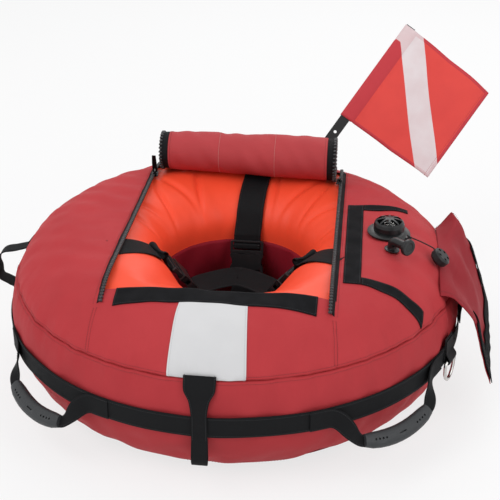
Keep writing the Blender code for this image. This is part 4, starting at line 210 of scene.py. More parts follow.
class Net:
    """The node tree of one material, with its Principled shader."""

    def __init__(self, name: str) -> None:
        """Start a material of this name."""
        self.material = bpy.data.materials.new(name)
        self.material.use_nodes = True
        self.tree = self.material.node_tree
        self.shader = self.tree.nodes["Principled BSDF"]

    def node(self, kind: str, settings: dict | None = None, inputs: dict | None = None,
             output: int | str = 0) -> Wire:
        """Add a node.

        Args:
            kind: The node's type.
            settings: Properties that are set first.
            inputs: Values or wires by socket name or index.
            output: The output socket that is returned.

        Returns:
            The chosen output.
        """
        made = self.tree.nodes.new(kind)
        for key, value in (settings or {}).items():
            setattr(made, key, value)
        for key, value in (inputs or {}).items():
            self.feed(made.inputs[key], value)
        return Wire(self, made.outputs[output])

    def feed(self, socket: bpy.types.NodeSocket, value: object) -> None:
        """Link a wire to a socket, or set its value."""
        if isinstance(value, Wire):
            self.tree.links.new(value.socket, socket)
        elif isinstance(value, tuple) and len(value) == 3 and socket.type == "RGBA":
            socket.default_value = (*value, 1.0)
        else:
            socket.default_value = value

    def set(self, **values: object) -> None:
        """Set or link the shader's sockets, with _ for a space in their names."""
        for key, value in values.items():
            self.feed(self.shader.inputs[key.replace("_", " ")], value)

    def place(self) -> Wire:
        """Object coordinates in metres."""
        return self.node("ShaderNodeTexCoord", {}, {}, "Object")

    def cloth(self) -> tuple[Wire, Wire]:
        """The two lengths along the cloth, in metres, from its own map."""
        flat = self.node("ShaderNodeUVMap", {"uv_map": CLOTH_UV})
        first, second = (self.node("ShaderNodeSeparateXYZ", {}, {0: flat}, axis) for axis in (0, 1))
        return first, second

    def noise(self, scale: float, detail: float = 2.0, stretch: tuple | None = None) -> Wire:
        """Smooth noise on object coordinates.

        Args:
            scale: Features per metre.
            detail: Octaves of finer noise.
            stretch: Optional scale of each axis first.

        Returns:
            A value about 0.5.
        """
        vector = self.place()
        if stretch:
            vector = self.node("ShaderNodeMapping", {}, {"Vector": vector, "Scale": stretch})
        values = {"Vector": vector, "Scale": scale, "Detail": detail}
        return self.node("ShaderNodeTexNoise", {}, values)

    def mix(self, share: object, first: object, second: object) -> Wire:
        """Blend two colours.

        Args:
            share: 0 for the first, 1 for the second.
            first: A colour or a wire.
            second: A colour or a wire.

        Returns:
            The blended colour.
        """
        return self.node("ShaderNodeMix", {"data_type": "RGBA"}, {0: share, 6: first, 7: second}, 2)

    def bump(self, height: Wire, depth: float, strength: float, under: Wire | None = None) -> Wire:
        """Relief of a depth in metres.

        Args:
            height: The relief, about 0 to 1.
            depth: How deep 1 is, in metres.
            strength: How strongly it shows.
            under: A coarser relief below this one.

        Returns:
            The bent normal.
        """
        values = {"Height": height, "Distance": depth, "Strength": strength}
        if under is not None:
            values["Normal"] = under
        return self.node("ShaderNodeBump", {}, values)


def darker(colour: Colour, share: float) -> Colour:
    """A colour scaled by a share."""
    return tuple(channel * share for channel in colour)


def wave(length: Wire, pitch: float) -> Wire:
    """A sine along a length, between 0 and 1, with a pitch in metres."""
    return (length * (2.0 * math.pi / pitch)).sine() * 0.5 + 0.5


@dataclass(frozen=True)
class Finish:
    """A named material. Each kind of finish draws its own nodes."""

    name: str

    def make(self) -> Material:
        """Build the material.

        Returns:
            The finished material.
        """
        net = Net(self.name)
        self.draw(net)
        return net.material

    def draw(self, net: Net) -> None:
        """Add the nodes of this kind of finish."""
        raise NotImplementedError


@dataclass(frozen=True)
class WovenNylon(Finish):
    """Coated pack cloth: a matt plain weave with soft creases and darker stains."""

    colour: Colour
    roughness: float = 0.66
    pitch: float = 0.0013
    weave_depth: float = 0.00012
    crease_depth: float = 0.0034
    mottle: float = 0.18

    def draw(self, net: Net) -> None:
        """Add this finish's nodes."""
        along, across = net.cloth()
        weave = wave(along, self.pitch) * wave(across, self.pitch)
        warp = wave(along + across, self.pitch * 0.5)
        creases = net.noise(17.0, 3.0, (1.0, 1.0, 0.5))
        broad = net.noise(7.0, 3.0)
        folded = net.bump(creases + broad * 0.6, self.crease_depth, 0.55)
        normal = net.bump(weave + warp * 0.35, self.weave_depth, 0.8, folded)
        stain = (broad.rise(0.35, 0.68) * 0.7 + creases.rise(0.42, 0.62) * 0.3) * self.mottle
        worn = net.mix(stain, self.colour, darker(self.colour, 0.62))
        threads = net.mix(weave * 0.16, worn, darker(self.colour, 0.55))
        net.set(Base_Color=threads, Roughness=creases * 0.16 + (self.roughness - 0.08), Normal=normal)
        net.set(Specular_IOR_Level=0.14)


@dataclass(frozen=True)
class FlagCloth(Finish):
    """Thin flag cloth: red with a white stripe from corner to corner, and darker hems."""

    fly: float
    hoist: float
    sleeve: float
    stripe: float

    def draw(self, net: Net) -> None:
        """Add this finish's nodes."""
        out, up = net.cloth()
        reach = self.fly * self.hoist / math.hypot(self.fly, self.hoist)
        from_line = abs(out / self.fly + up / self.hoist - 1.0) * reach
        white = 1.0 - from_line.rise(self.stripe - 0.0005, self.stripe + 0.0005)
        edge = (self.fly - out).least(up).least(self.hoist - up)
        hem = (1.0 - edge.rise(0.0062, 0.0070)).most(1.0 - out.rise(self.sleeve, self.sleeve + 0.0008))
        weave = wave(out, 0.0009) * wave(up, 0.0009)
        broad = net.noise(14.0, 3.0)
        field_colour = net.mix(white, Tone.FLAG_RED, Tone.FLAG_WHITE)
        hemmed = net.mix(hem * (1.0 - white * 0.8), field_colour, Tone.FLAG_HEM)
        colour = net.mix(broad.rise(0.35, 0.7) * 0.14 + weave * 0.06, hemmed, darker(Tone.FLAG_HEM, 0.8))
        creased = net.bump(broad + hem * 0.5, 0.0012, 0.5)
        net.set(Base_Color=colour, Roughness=broad * 0.12 + 0.58, Specular_IOR_Level=0.2)
        net.set(Normal=net.bump(weave, 0.00006, 0.7, creased))


@dataclass(frozen=True)
class CoatedBladder(Finish):
    """Airtight coated cloth: satin, with the weave only just showing and fine tension creases."""

    colour: Colour

    def draw(self, net: Net) -> None:
        """Add this finish's nodes."""
        along, across = net.cloth()
        weave = wave(along, 0.0011) * wave(across, 0.0011)
        creases = net.noise(34.0, 3.0, (1.0, 1.0, 0.35))
        broad = net.noise(8.0, 2.0)
        folded = net.bump(creases + broad, 0.0011, 0.45)
        shade = net.mix(broad.rise(0.3, 0.72) * 0.20, self.colour, darker(self.colour, 0.66))
        net.set(Base_Color=net.mix(weave * 0.07, shade, darker(self.colour, 0.6)))
        net.set(Roughness=creases * 0.14 + 0.36, Normal=net.bump(weave, 0.00004, 0.6, folded))
        net.set(Specular_IOR_Level=0.24)


@dataclass(frozen=True)
class WovenWebbing(Finish):
    """Nylon webbing: ribs across, fine cords along, and a bound edge."""

    half_width: float
    colour: Colour = Tone.WEBBING
    rib: float = 0.0021
    cord: float = 0.0026

    def draw(self, net: Net) -> None:
        """Add this finish's nodes."""
        across, along = net.cloth()
        cords = wave(across, self.cord)
        ribs = wave(along + cords * (self.rib * 0.5), self.rib)
        edge = abs(across).rise(self.half_width - 0.0026, self.half_width - 0.0016)
        relief = ribs * 0.6 + cords * 0.4 + edge * 0.5
        wear = net.noise(60.0, 3.0)
        lint = net.noise(420.0, 2.0).rise(0.60, 0.75)
        worn = net.mix(ribs * 0.45 + wear * 0.25, darker(self.colour, 0.6), darker(self.colour, 1.7))
        net.set(Base_Color=net.mix(lint * 0.15, worn, darker(self.colour, 4.0)))
        net.set(Roughness=wear * 0.2 + 0.58, Normal=net.bump(relief, 0.00032, 0.9))
        net.set(Specular_IOR_Level=0.12)


@dataclass(frozen=True)
class HookTape(Finish):
    """Hook-and-loop tape: a mat of tiny hooks in rows, with a smooth woven margin."""

    colour: Colour = Tone.TRIM

    def draw(self, net: Net) -> None:
        """Add this finish's nodes."""
        along, across = net.cloth()
        fuzz = net.noise(1500.0, 2.0)
        rows = wave(along, 0.0018) * wave(across, 0.0018)
        patches = net.noise(45.0, 3.0)
        relief = fuzz * 0.7 + rows * 0.5
        share = relief * 0.6 + patches.rise(0.35, 0.7) * 0.3
        tone = net.mix(share, darker(self.colour, 0.6), darker(self.colour, 2.1))
        net.set(Base_Color=tone, Roughness=fuzz * 0.15 + 0.8, Normal=net.bump(relief, 0.0005, 0.9))
        net.set(Specular_IOR_Level=0.08)


@dataclass(frozen=True)
class Moulded(Finish):
    """Moulded plastic or rubber: a fine grain, faint flow marks and rubbed patches."""

    colour: Colour
    roughness: float = 0.42
    grain: float = 1800.0
    grain_depth: float = 0.00005
    metal: float = 0.0

    def draw(self, net: Net) -> None:
        """Add this finish's nodes."""
        grain = net.noise(self.grain, 2.0)
        flow = net.noise(38.0, 4.0, (1.0, 0.45, 1.0))
        rubbed = net.noise(110.0, 3.0).rise(0.55, 0.78)
        tone = net.mix(flow * 0.35, darker(self.colour, 0.75), darker(self.colour, 1.35))
        net.set(Base_Color=net.mix(rubbed * 0.22, tone, darker(self.colour, 2.0)))
        net.set(Roughness=flow * 0.14 + rubbed * 0.08 + (self.roughness - 0.1))
        net.set(Normal=net.bump(grain, self.grain_depth, 0.7), Metallic=self.metal, Specular_IOR_Level=0.34)


@dataclass(frozen=True)
class PolishedSteel(Finish):
    """Stainless wire, polished, with fine scratches."""

    def draw(self, net: Net) -> None:
        """Add this finish's nodes."""
        scratches = net.noise(900.0, 3.0, (1.0, 0.2, 1.0))
        clouds = net.noise(90.0, 3.0)
        tone = net.mix(clouds * 0.4, Tone.STEEL, darker(Tone.STEEL, 0.72))
        net.set(Base_Color=tone, Metallic=1.0, Roughness=scratches * 0.16 + clouds * 0.1 + 0.12)
        net.set(Normal=net.bump(scratches, 0.00001, 0.6))


@dataclass(frozen=True)
class Thread(Finish):
    """Sewing thread: twisted, slightly glossy."""

    colour: Colour

    def draw(self, net: Net) -> None:
        """Add this finish's nodes."""
        twist = net.noise(2600.0, 1.0)
        tone = net.mix(twist * 0.6, darker(self.colour, 0.7), darker(self.colour, 1.15))
        net.set(Base_Color=tone, Roughness=0.6, Normal=net.bump(twist, 0.0001, 0.6))


# Meshes

def new_object(name: str, mesh: bpy.types.Mesh, material: Material) -> Piece:
    """Put a mesh in the scene.

    Args:
        name: The piece's name.
        mesh: Its mesh, in place.
        material: Its only material.

    Returns:
        The new object.
    """
    mesh.materials.clear()
    mesh.materials.append(material)
    obj = bpy.data.objects.new(name, mesh)
    bpy.context.scene.collection.objects.link(obj)
    return obj


def lengths_along(points: Array, axis: int) -> Array:
    """Length run along one way of a grid of points, at each point."""
    steps = np.linalg.norm(np.diff(points, axis=axis), axis=-1)
    start = np.zeros_like(np.take(steps, [0], axis=axis))
    return np.concatenate([start, np.cumsum(steps, axis=axis)], axis=axis)


@contextmanager
def editing(mesh: bpy.types.Mesh) -> Iterator[bmesh.types.BMesh]:
    """A mesh opened for editing, and stored again afterwards."""
    bm = bmesh.new()
    bm.from_mesh(mesh)
    yield bm
    bm.to_mesh(mesh)
    bm.free()


def face_outwards(mesh: bpy.types.Mesh) -> None:
    """Turn all of a mesh's faces the same way, outwards."""
    with editing(mesh) as bm:
        bmesh.ops.recalc_face_normals(bm, faces=bm.faces)


def merged(node: str) -> bmesh.types.BMesh:
    """A node's mesh for reading, with its doubled corners joined."""
    bm = bmesh.new()
    bm.from_mesh(bpy.data.objects[node].data)
    bmesh.ops.remove_doubles(bm, verts=bm.verts, dist=0.00001)
    bm.verts.index_update()
    bm.faces.index_update()
    return bm


def rings_after(first: list[bmesh.types.BMVert]) -> list[list[bmesh.types.BMVert]]:
    """The rings of corners along a strap or tube, from its first ring on."""
    seen, rings = set(first), [first]
    while rings[-1]:
        ahead = {other for v in rings[-1] for e in v.link_edges for other in e.verts} - seen
        seen |= ahead
        rings.append(sorted(ahead, key=lambda v: v.index))
    return rings[:-1]


def strap_end(start: bmesh.types.BMVert) -> list[bmesh.types.BMVert]:
    """The four corners of a strap's end: the least flat patch beside one of them.

    Args:
        start: One of the end's corners.

    Returns:
        All four.
    """
    near = sorted({f for e in start.link_edges for v in e.verts for f in v.link_faces}, key=lambda f: f.index)
    found = []
    for face in near:
        patch, waiting = {face}, [face]
        while waiting:
            beside = {other for edge in waiting.pop().edges for other in edge.link_faces}
            for other in beside - patch:
                if other.normal.dot(face.normal) > 0.9:
                    patch.add(other)
                    waiting.append(other)
        corners = {v for f in patch for v in f.verts}
        if len(corners) == 4:
            found.append((sum(f.calc_area() for f in patch), corners))
    return sorted(min(found, key=lambda item: item[0])[1], key=lambda v: v.index)


def curve_through(corners: Array, steps: int) -> Array:
    """A smooth curve through rows of numbers.

    Args:
        corners: The rows, in order.
        steps: New rows for each old one.

    Returns:
        The rows of the curve.
    """
    ends = np.concatenate([[2.0 * corners[0] - corners[1]], corners, [2.0 * corners[-1] - corners[-2]]])
    rows = []
    for a, b, c, d in zip(ends, ends[1:], ends[2:], ends[3:]):
        for t in np.arange(steps) / steps:
            rows.append(0.5 * (2.0 * b + (c - a) * t + (2.0 * a - 5.0 * b + 4.0 * c - d) * t * t
                               + (3.0 * b - a - 3.0 * c + d) * t ** 3))
    rows.append(corners[-1])
    return np.array(rows)


def eased(share: Array | float) -> Array | float:
    """A share from 0 to 1 with a soft start and a soft end."""
    return share * share * (3.0 - 2.0 * share)


def bell(distance: Array, width: float) -> Array:
    """1 at no distance, falling smoothly to nothing at about twice the width."""
    return np.exp(-(distance / width) ** 2)


def grid_piece(name: str, points: Array, material: Material, wrap: tuple[bool, bool] = (False, False),
               lengths: Pair | None = None, thickness: float = 0.0, flip: bool = False) -> Piece:
    """A surface through a grid of points, with a map in metres.

    Args:
        name: The piece's name.
        points: The grid, rows by columns by 3.
        material: Its material.
        wrap: Whether the rows, and the columns, close on themselves.
        lengths: The map's two coordinates at each point, if not the lengths along the grid.
        thickness: Wall given inwards from the surface, or none.
        flip: Whether the faces are turned over.

    Returns:
        The new object.
    """
    rows, columns = points.shape[:2]
    if lengths is None:
        lengths = (lengths_along(points, 0), lengths_along(points, 1))
    faces, corners = [], []
    for i in range(rows if wrap[0] else rows - 1):
        for j in range(columns if wrap[1] else columns - 1):
            quad = [(i, j), (i + 1, j), (i + 1, j + 1), (i, j + 1)]
            if flip:
                quad.reverse()
            faces.append([(a % rows) * columns + b % columns for a, b in quad])
            corners += quad
    mesh = bpy.data.meshes.new(name)
    mesh.from_pydata(points.reshape(-1, 3).tolist(), [], faces)
    layer = mesh.uv_layers.new(name=CLOTH_UV)
    first, second = lengths
    seam_row = first[0] * 0.0 + 2.0 * first[-1] - first[-2] if wrap[0] else None
    for loop, (a, b) in enumerate(corners):
        one = first[a, b % columns] if a < rows else seam_row[b % columns]
        two = second[a % rows, b] if b < columns else 2.0 * second[a % rows, -1] - second[a % rows, -2]
        layer.data[loop].uv = (one, two)
    mesh.shade_smooth()
    obj = new_object(name, mesh, material)
    if thickness:
        wall = obj.modifiers.new("wall", "SOLIDIFY")
        wall.thickness = thickness
        wall.offset = -1.0
    return obj


def refined_copy(node: str, material: Material, edge: float, angle: float = 32.0) -> Piece:
    """A merged copy of a node's mesh with soft edges, which stands for the node.

    Args:
        node: The node's name.
        material: Its material.
        edge: Radius of the soft edges.
        angle: Edges sharper than this, in degrees, stay sharp or are softened.

    Returns:
        The new object.
    """
    bm = merged(node)
    bmesh.ops.dissolve_limit(bm, angle_limit=math.radians(0.6), verts=bm.verts, edges=bm.edges)
    mesh = bpy.data.meshes.new(f"{node}_fine")
    bm.to_mesh(mesh)
    bm.free()
    mesh.shade_smooth()
    mesh.set_sharp_from_angle(angle=math.radians(angle))
    obj = new_object(f"{node}_fine", mesh, material)
    if edge > 0.0:
        bevel = obj.modifiers.new("soft_edges", "BEVEL")
        bevel.width = edge
        bevel.segments = 2
        bevel.limit_method = "ANGLE"
        bevel.angle_limit = math.radians(angle)
        bevel.harden_normals = True
    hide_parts(node)
    return obj


@dataclass(frozen=True)
class Bend:
    """Where a piece of cloth goes over to the body beyond a joint."""

    beyond: str
    start: Point
    end: Point


def settle(obj: Piece, body: str, slot: str, *replaced: str, bend: Bend | None = None) -> Piece:
    """Fix a piece to its body, or only bake its place where it crosses a joint, and report it.

    Args:
        obj: The piece.
        body: The body that it moves with.
        slot: The record's material slot; not used.
        replaced: The nodes that it stands for.
        bend: The joint that the piece crosses, if it does.

    Returns:
        The same object.
    """
    if bend is None:
        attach(obj, body)
    else:
        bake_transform(obj)
    if replaced:
        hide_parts(*replaced)
    LOG.info("%s rides on %s", obj.name, body)
    return obj


class Ripple:
    """Smooth irregular relief made of sine waves in many directions, alike at each run."""

    def __init__(self, length: float, seed: int, count: int = 12) -> None:
        """Choose the waves.

        Args:
            length: Typical wavelength in metres.
            seed: Which set of waves.
            count: How many waves.
        """
        chance = np.random.default_rng(seed)
        ways = chance.normal(size=(count, 3))
        ways /= np.linalg.norm(ways, axis=1, keepdims=True)
        self.waves = ways * (2.0 * math.pi / (length * chance.uniform(0.7, 1.5, (count, 1))))
        self.phases = chance.uniform(0.0, 2.0 * math.pi, count)

    def __call__(self, points: Array) -> Array:
        """The relief at points, mostly between -1 and 1."""
        waves = np.sin(points @ self.waves.T + self.phases)
        return waves.sum(axis=-1) / math.sqrt(len(self.phases))


def around(azimuth: Array | float, radius: Array | float, height: Array | float) -> Array:
    """The points at azimuths, radii and heights."""
    azimuth, radius, height = np.broadcast_arrays(azimuth, radius, height)
    return np.stack([radius * np.sin(azimuth), -radius * np.cos(azimuth), height], axis=-1)


def unit(vectors: Array) -> Array:
    """Vectors scaled to length 1."""
    return vectors / np.maximum(np.linalg.norm(vectors, axis=-1, keepdims=True), 1e-12)


@dataclass
class RingShape:
    """The outline of the inflated ring in its cover."""

    cover_radius: float = 0.398
    belt_height: float = 0.135
    crest_radius: float = 0.2625
    crest_height: float = 0.293
    flat_radius: float = 0.270
    top_fullness: float = 2.25
    bottom_fullness: float = 1.9
    top_seam: float = 0.210
    bottom_seam: float = 0.016
    throat_radius: float = 0.131
    throat_height: float = 0.205
    throat_fullness: float = 2.25
    front_fullness: float = 1.06
    front_pull: float = math.radians(24.0)
    pull_fade: float = math.radians(26.0)
    lip: float = 0.003
    foot_fullness: float = 2.0
    bladder_inset: float = 0.0036
    half_width: float = 0.190
    front: float = 0.256
    rear: float = 0.245
    trim_lift: float = 0.0006

    def upper(self, turn: Array) -> tuple[Array, Array, Array, Array]:
        """The cover's outline above the belt.

        Args:
            turn: 0 at the belt, a quarter turn at the crest.

        Returns:
            Radius, height, and the normal's radial and upward parts.
        """
        u = np.maximum(np.cos(turn), 0.0) ** (2.0 / self.top_fullness)
        v = np.maximum(np.sin(turn), 0.0) ** (2.0 / self.top_fullness)
        width, height = self.cover_radius - self.crest_radius, self.crest_height - self.belt_height
        nr, nz = u ** (self.top_fullness - 1.0) / width, v ** (self.top_fullness - 1.0) / height
        size = np.hypot(nr, nz)
        return self.crest_radius + width * u, self.belt_height + height * v, nr / size, nz / size

    def lower(self, turn: Array) -> tuple[Array, Array, Array, Array]:
        """The cover's outline below the belt, in the same form."""
        u = np.maximum(np.cos(turn), 0.0) ** (2.0 / self.bottom_fullness)
        v = np.maximum(np.sin(turn), 0.0) ** (2.0 / self.bottom_fullness)
        width, height = self.cover_radius - self.flat_radius, self.belt_height
        nr, nz = u ** (self.bottom_fullness - 1.0) / width, v ** (self.bottom_fullness - 1.0) / height
        size = np.hypot(nr, nz)
        return self.flat_radius + width * u, self.belt_height - height * v, nr / size, -nz / size

    def turn_at_radius(self, radius: Array) -> Array:
        """The turn of the upper outline at a radius outside the crest."""
        share = (radius - self.crest_radius) / (self.cover_radius - self.crest_radius)
        return np.arccos(np.clip(share, 0.0, 1.0) ** (self.top_fullness / 2.0))

    def top_height(self, radius: Array) -> Array:
        """The height of the cover's top at a radius, flat inside the crest."""
        curved = self.upper(self.turn_at_radius(radius))[1]
        return np.where(radius > self.crest_radius, curved, self.crest_height)

    def turn_at_height(self, height: float) -> float:
        """The turn of the upper outline at a height."""
        share = (height - self.belt_height) / (self.crest_height - self.belt_height)
        return math.asin(share ** (self.top_fullness / 2.0))

    def low_turn_at_height(self, height: float) -> float:
        """The turn of the lower outline at a height."""
        share = (self.belt_height - height) / self.belt_height
        return math.asin(share ** (self.bottom_fullness / 2.0))

    def radius_at(self, height: float) -> float:
        """The cover's radius at a height."""
        if height >= self.belt_height:
            return float(self.upper(np.array(self.turn_at_height(height)))[0])
        return float(self.lower(np.array(self.low_turn_at_height(height)))[0])

    def opening(self, azimuth: Array) -> Array:
        """Distance from the middle to the edge of the opening at azimuths."""
        side = np.maximum(np.abs(np.sin(azimuth)), 1e-9)
        ahead = np.cos(azimuth)
        reach = np.where(ahead > 0.0, self.front, self.rear)
        return np.minimum((self.half_width - self.lip) / side, reach / np.maximum(np.abs(ahead), 1e-9))

    def bladder(self, steps: int, azimuth: Array) -> Pair:
        """The bladder's closed outline.

        Args:
            steps: Points in each of its four quarters.
            azimuth: A column of azimuths. The slope into the hole is nearly straight at the front.

        Returns:
            Radius and height at each azimuth and point.
        """
        share = eased(np.clip((np.abs(azimuth) - self.front_pull) / self.pull_fade, 0.0, 1.0))
        fullness = self.front_fullness + (self.throat_fullness - self.front_fullness) * share
        turn = np.linspace(0.0, math.pi / 2.0, steps, endpoint=False)
        back = math.pi / 2.0 - turn
        inset, throat = self.bladder_inset, self.throat_height
        width, rise = self.crest_radius - self.throat_radius, self.crest_height - inset - throat
        power = 2.0 / fullness
        slope = (self.crest_radius - width * np.cos(back) ** power, throat + rise * np.sin(back) ** power)
        width, rise = self.flat_radius - self.throat_radius, throat - inset
        power = 2.0 / self.foot_fullness
        foot = (self.flat_radius - width * np.cos(turn) ** power, throat - rise * np.sin(turn) ** power)
        outer = [(radius - nr * inset, height - nz * inset)
                 for radius, height, nr, nz in (self.upper(turn), self.lower(back))]
        parts = []
        for part in (outer[0], slope, foot, outer[1]):
            shape = (len(azimuth), steps)
            parts.append(np.stack([np.broadcast_to(values, shape) for values in part], axis=-1))
        outline = np.concatenate(parts, axis=1)
        return outline[..., 0], outline[..., 1]


@dataclass
class Skin:
    """The sewn cover's outer surface with its puckers, on which all flat trim lies."""

    ring: RingShape
    pucker: float = 0.0020
    seam_reach: float = 0.021
    slack_height: float = 0.088
    slack_reach: float = 0.034
    zip_reach: float = 0.014
    groove: float = 0.0024
    belt_reach: float = 0.008
    deepest: float = -0.0050
    highest: float = 0.0003
    broad: Ripple = field(default_factory=lambda: Ripple(0.120, 3))
    mid: Ripple = field(default_factory=lambda: Ripple(0.048, 5))
    at_seam: Ripple = field(default_factory=lambda: Ripple(0.026, 7))
    slack: Ripple = field(default_factory=lambda: Ripple(0.060, 13))
    at_zip: Ripple = field(default_factory=lambda: Ripple(0.022, 11))

    def relief(self, points: Array) -> Array:
        """How far the cloth stands off the even outline, mostly inwards.

        Args:
            points: Points on the even outline.

        Returns:
            The distance along the outward normal, in metres.
        """
        ring = self.ring
        x, y, z = points[..., 0], points[..., 1], points[..., 2]
        radius = np.hypot(x, y)
        run = np.arctan2(x, -y) * ring.cover_radius
        from_seam = np.abs(z - ring.top_seam)
        from_zip = np.abs(np.abs(x) - ring.half_width)
        from_belt = np.maximum(np.abs(z - ring.belt_height) - 0.018, 0.0)
        tight = np.stack([run, z * 0.35, radius * 0.35], axis=-1)
        along = np.stack([x * 0.3, y, z * 0.3], axis=-1)
        slanted = np.stack([run + z * 0.9, z * 0.4, radius], axis=-1)
        beside = (z > ring.top_seam + 0.03) & (y > -0.30) & (y < 0.26)
        total = -0.0016 + 0.0011 * self.broad(points) + 0.0012 * self.mid(points)
        total += 0.0016 * (self.slack(slanted) - 0.7) * bell(z - self.slack_height, self.slack_reach)
        total += self.pucker * self.at_seam(tight) * np.exp(-from_seam / self.seam_reach)
        total += np.where(beside, 0.0007 * self.at_zip(along) * np.exp(-from_zip / self.zip_reach), 0.0)
        total -= 0.0026 * bell(from_seam, self.groove)
        total -= 0.0010 * np.exp(-from_belt / self.belt_reach)
        return np.clip(total, self.deepest, self.highest)

    def over(self, x: Array, y: Array, lift: float = 0.0) -> Pair:
        """Points on the cover's top over plan positions.

        Args:
            x: Positions across.
            y: Positions along.
            lift: Distance above the cloth.

        Returns:
            The points and the outward normals.
        """
        ring = self.ring
        radius = np.hypot(x, y)
        _, height, nr, nz = ring.upper(ring.turn_at_radius(radius))
        flat = radius <= ring.crest_radius
        height = np.where(flat, ring.crest_height, height)
        nr, nz = np.where(flat, 0.0, nr), np.where(flat, 1.0, nz)
        safe = np.maximum(radius, 1e-9)
        normal = np.stack([x / safe * nr, y / safe * nr, nz], axis=-1)
        point = np.stack([x, y, height], axis=-1)
        return point + normal * (self.relief(point) + lift)[..., None], normal

    def wall(self, azimuth: Array, turn: Array, below: bool, lift: float = 0.0) -> Array:
        """Points on the cover by azimuth and turn, above or below the belt."""
        outline = self.ring.lower if below else self.ring.upper
        radius, height, nr, nz = outline(turn)
        point = around(azimuth, radius, height)
        normal = around(azimuth, nr, nz)
        return point + normal * (self.relief(point) + lift)[..., None]


# Rows of copies

class CopyRow:
    """A Geometry Nodes tree that sets copies of a small piece along lines."""

    def __init__(self, name: str) -> None:
        """Build the tree, with its sizes as named inputs."""
        self.tree = bpy.data.node_groups.new(name, "GeometryNodeTree")
        self.ids = {}
        face = self.tree.interface
        wanted = {"Lines": "Geometry", "Pitch": "Float", "Copy": "Object", "Finish": "Material"}
        for label, kind in wanted.items():
            socket = face.new_socket(name=label, in_out="INPUT", socket_type=f"NodeSocket{kind}")
            self.ids[label] = socket.identifier
        face.new_socket(name="Lines", in_out="OUTPUT", socket_type="NodeSocketGeometry")
        given = self._add("NodeGroupInput", {})
        curve = self._add("GeometryNodeMeshToCurve", {"Mesh": given["Lines"]})
        even = self._add("GeometryNodeResampleCurve", {"Curve": curve[0], "Length": given["Pitch"]},
                         mode="LENGTH")
        outwards = self._add("GeometryNodeInputNamedAttribute", {"Name": FACE}, data_type="FLOAT_VECTOR")
        up = self._add("FunctionNodeAlignRotationToVector", {"Vector": outwards["Attribute"]}, axis="Z")
        tangent = self._add("GeometryNodeInputTangent", {})
        ahead = self._add("FunctionNodeAlignRotationToVector", {"Rotation": up[0], "Vector": tangent[0]},
                          axis="X", pivot_axis="Z")
        info = self._add("GeometryNodeObjectInfo", {"Object": given["Copy"]})
        sown = self._add("GeometryNodeInstanceOnPoints", {
            "Points": even[0], "Instance": info["Geometry"], "Rotation": ahead[0]})
        plain = self._add("GeometryNodeRealizeInstances", {"Geometry": sown[0]})
        done = self._add("GeometryNodeSetMaterial", {"Geometry": plain[0], "Material": given["Finish"]})
        self._add("NodeGroupOutput", {"Lines": done[0]})

    def _add(self, kind: str, links: dict, **settings: str) -> bpy.types.bpy_prop_collection:
        """Add a node.

        Args:
            kind: The node's type.
            links: The socket or the value that goes to each named input.
            settings: Properties that are set first.

        Returns:
            The node's outputs.
        """
        made = self.tree.nodes.new(kind)
        for key, value in settings.items():
            setattr(made, key, value)
        for label, value in links.items():
            if isinstance(value, bpy.types.NodeSocket):
                self.tree.links.new(value, made.inputs[label])
            else:
                made.inputs[label].default_value = value
        return made.outputs

    def lay(self, name: str, lines: list[Pair], pitch: float, copy: Piece, material: Material) -> Piece:
        """Set copies along lines and turn them into a plain mesh.

        Args:
            name: The new piece's name.
            lines: Each line's points and the outward normals there.
            pitch: Distance from copy to copy.
            copy: The piece that is repeated, along X with Z outwards.
            material: The copies' material.

        Returns:
            The new object.
        """
        mesh = bpy.data.meshes.new(name)
        points = np.concatenate([line for line, _ in lines])
        faces = np.concatenate([normal for _, normal in lines])
        edges, base = [], 0
        for line, _ in lines:
            edges += [(base + i, base + i + 1) for i in range(len(line) - 1)]
            base += len(line)
        mesh.from_pydata(points.tolist(), edges, [])
        attribute = mesh.attributes.new(FACE, "FLOAT_VECTOR", "POINT")
        attribute.data.foreach_set("vector", faces.astype(np.float32).ravel())
        source = bpy.data.objects.new(f"{name}_lines", mesh)
        bpy.context.scene.collection.objects.link(source)
        rows = source.modifiers.new("rows", "NODES")
        rows.node_group = self.tree
        rows[self.ids["Pitch"]] = pitch
        rows[self.ids["Copy"]] = copy
        rows[self.ids["Finish"]] = material
        graph = bpy.context.evaluated_depsgraph_get()
        made = bpy.data.meshes.new_from_object(source.evaluated_get(graph), depsgraph=graph)
        made.name = name
        bpy.data.objects.remove(source)
        made.shade_smooth()
        return new_object(name, made, material)


def stitch_copy(length: float, radius: float) -> Piece:
    """One stitch of thread, along X, sunk a little at its ends.

    Args:
        length: The stitch's length.
        radius: The thread's radius.

    Returns:
        The object that is repeated.
    """
    stations = ((-0.5, 0.35, -0.4), (-0.25, 0.95, 0.25), (0.25, 0.95, 0.25), (0.5, 0.35, -0.4))
    turns = np.linspace(0.0, 2.0 * math.pi, 6, endpoint=False)
    rings = []
    for share, swell, lift in stations:
        across, up = np.cos(turns) * swell, np.sin(turns) * swell + lift
        rings.append(np.stack([np.full(6, share * length), across * radius, up * radius], axis=-1))
    return copy_object("stitch", np.stack(rings))


def copy_object(name: str, rings: Array) -> Piece:
    """A small closed piece through rings of points, which main() takes away again."""
    count, sides = rings.shape[:2]
    faces = []
    for low in range(0, (count - 1) * sides, sides):
        for j in range(sides):
            k = (j + 1) % sides
            faces.append([low + j, low + k, low + sides + k, low + sides + j])
    faces.append(list(range(sides))[::-1])
    faces.append([(count - 1) * sides + j for j in range(sides)])
    mesh = bpy.data.meshes.new(name)
    mesh.from_pydata(rings.reshape(-1, 3).tolist(), [], faces)
    face_outwards(mesh)
    obj = bpy.data.objects.new(name, mesh)
    bpy.context.scene.collection.objects.link(obj)
    return obj


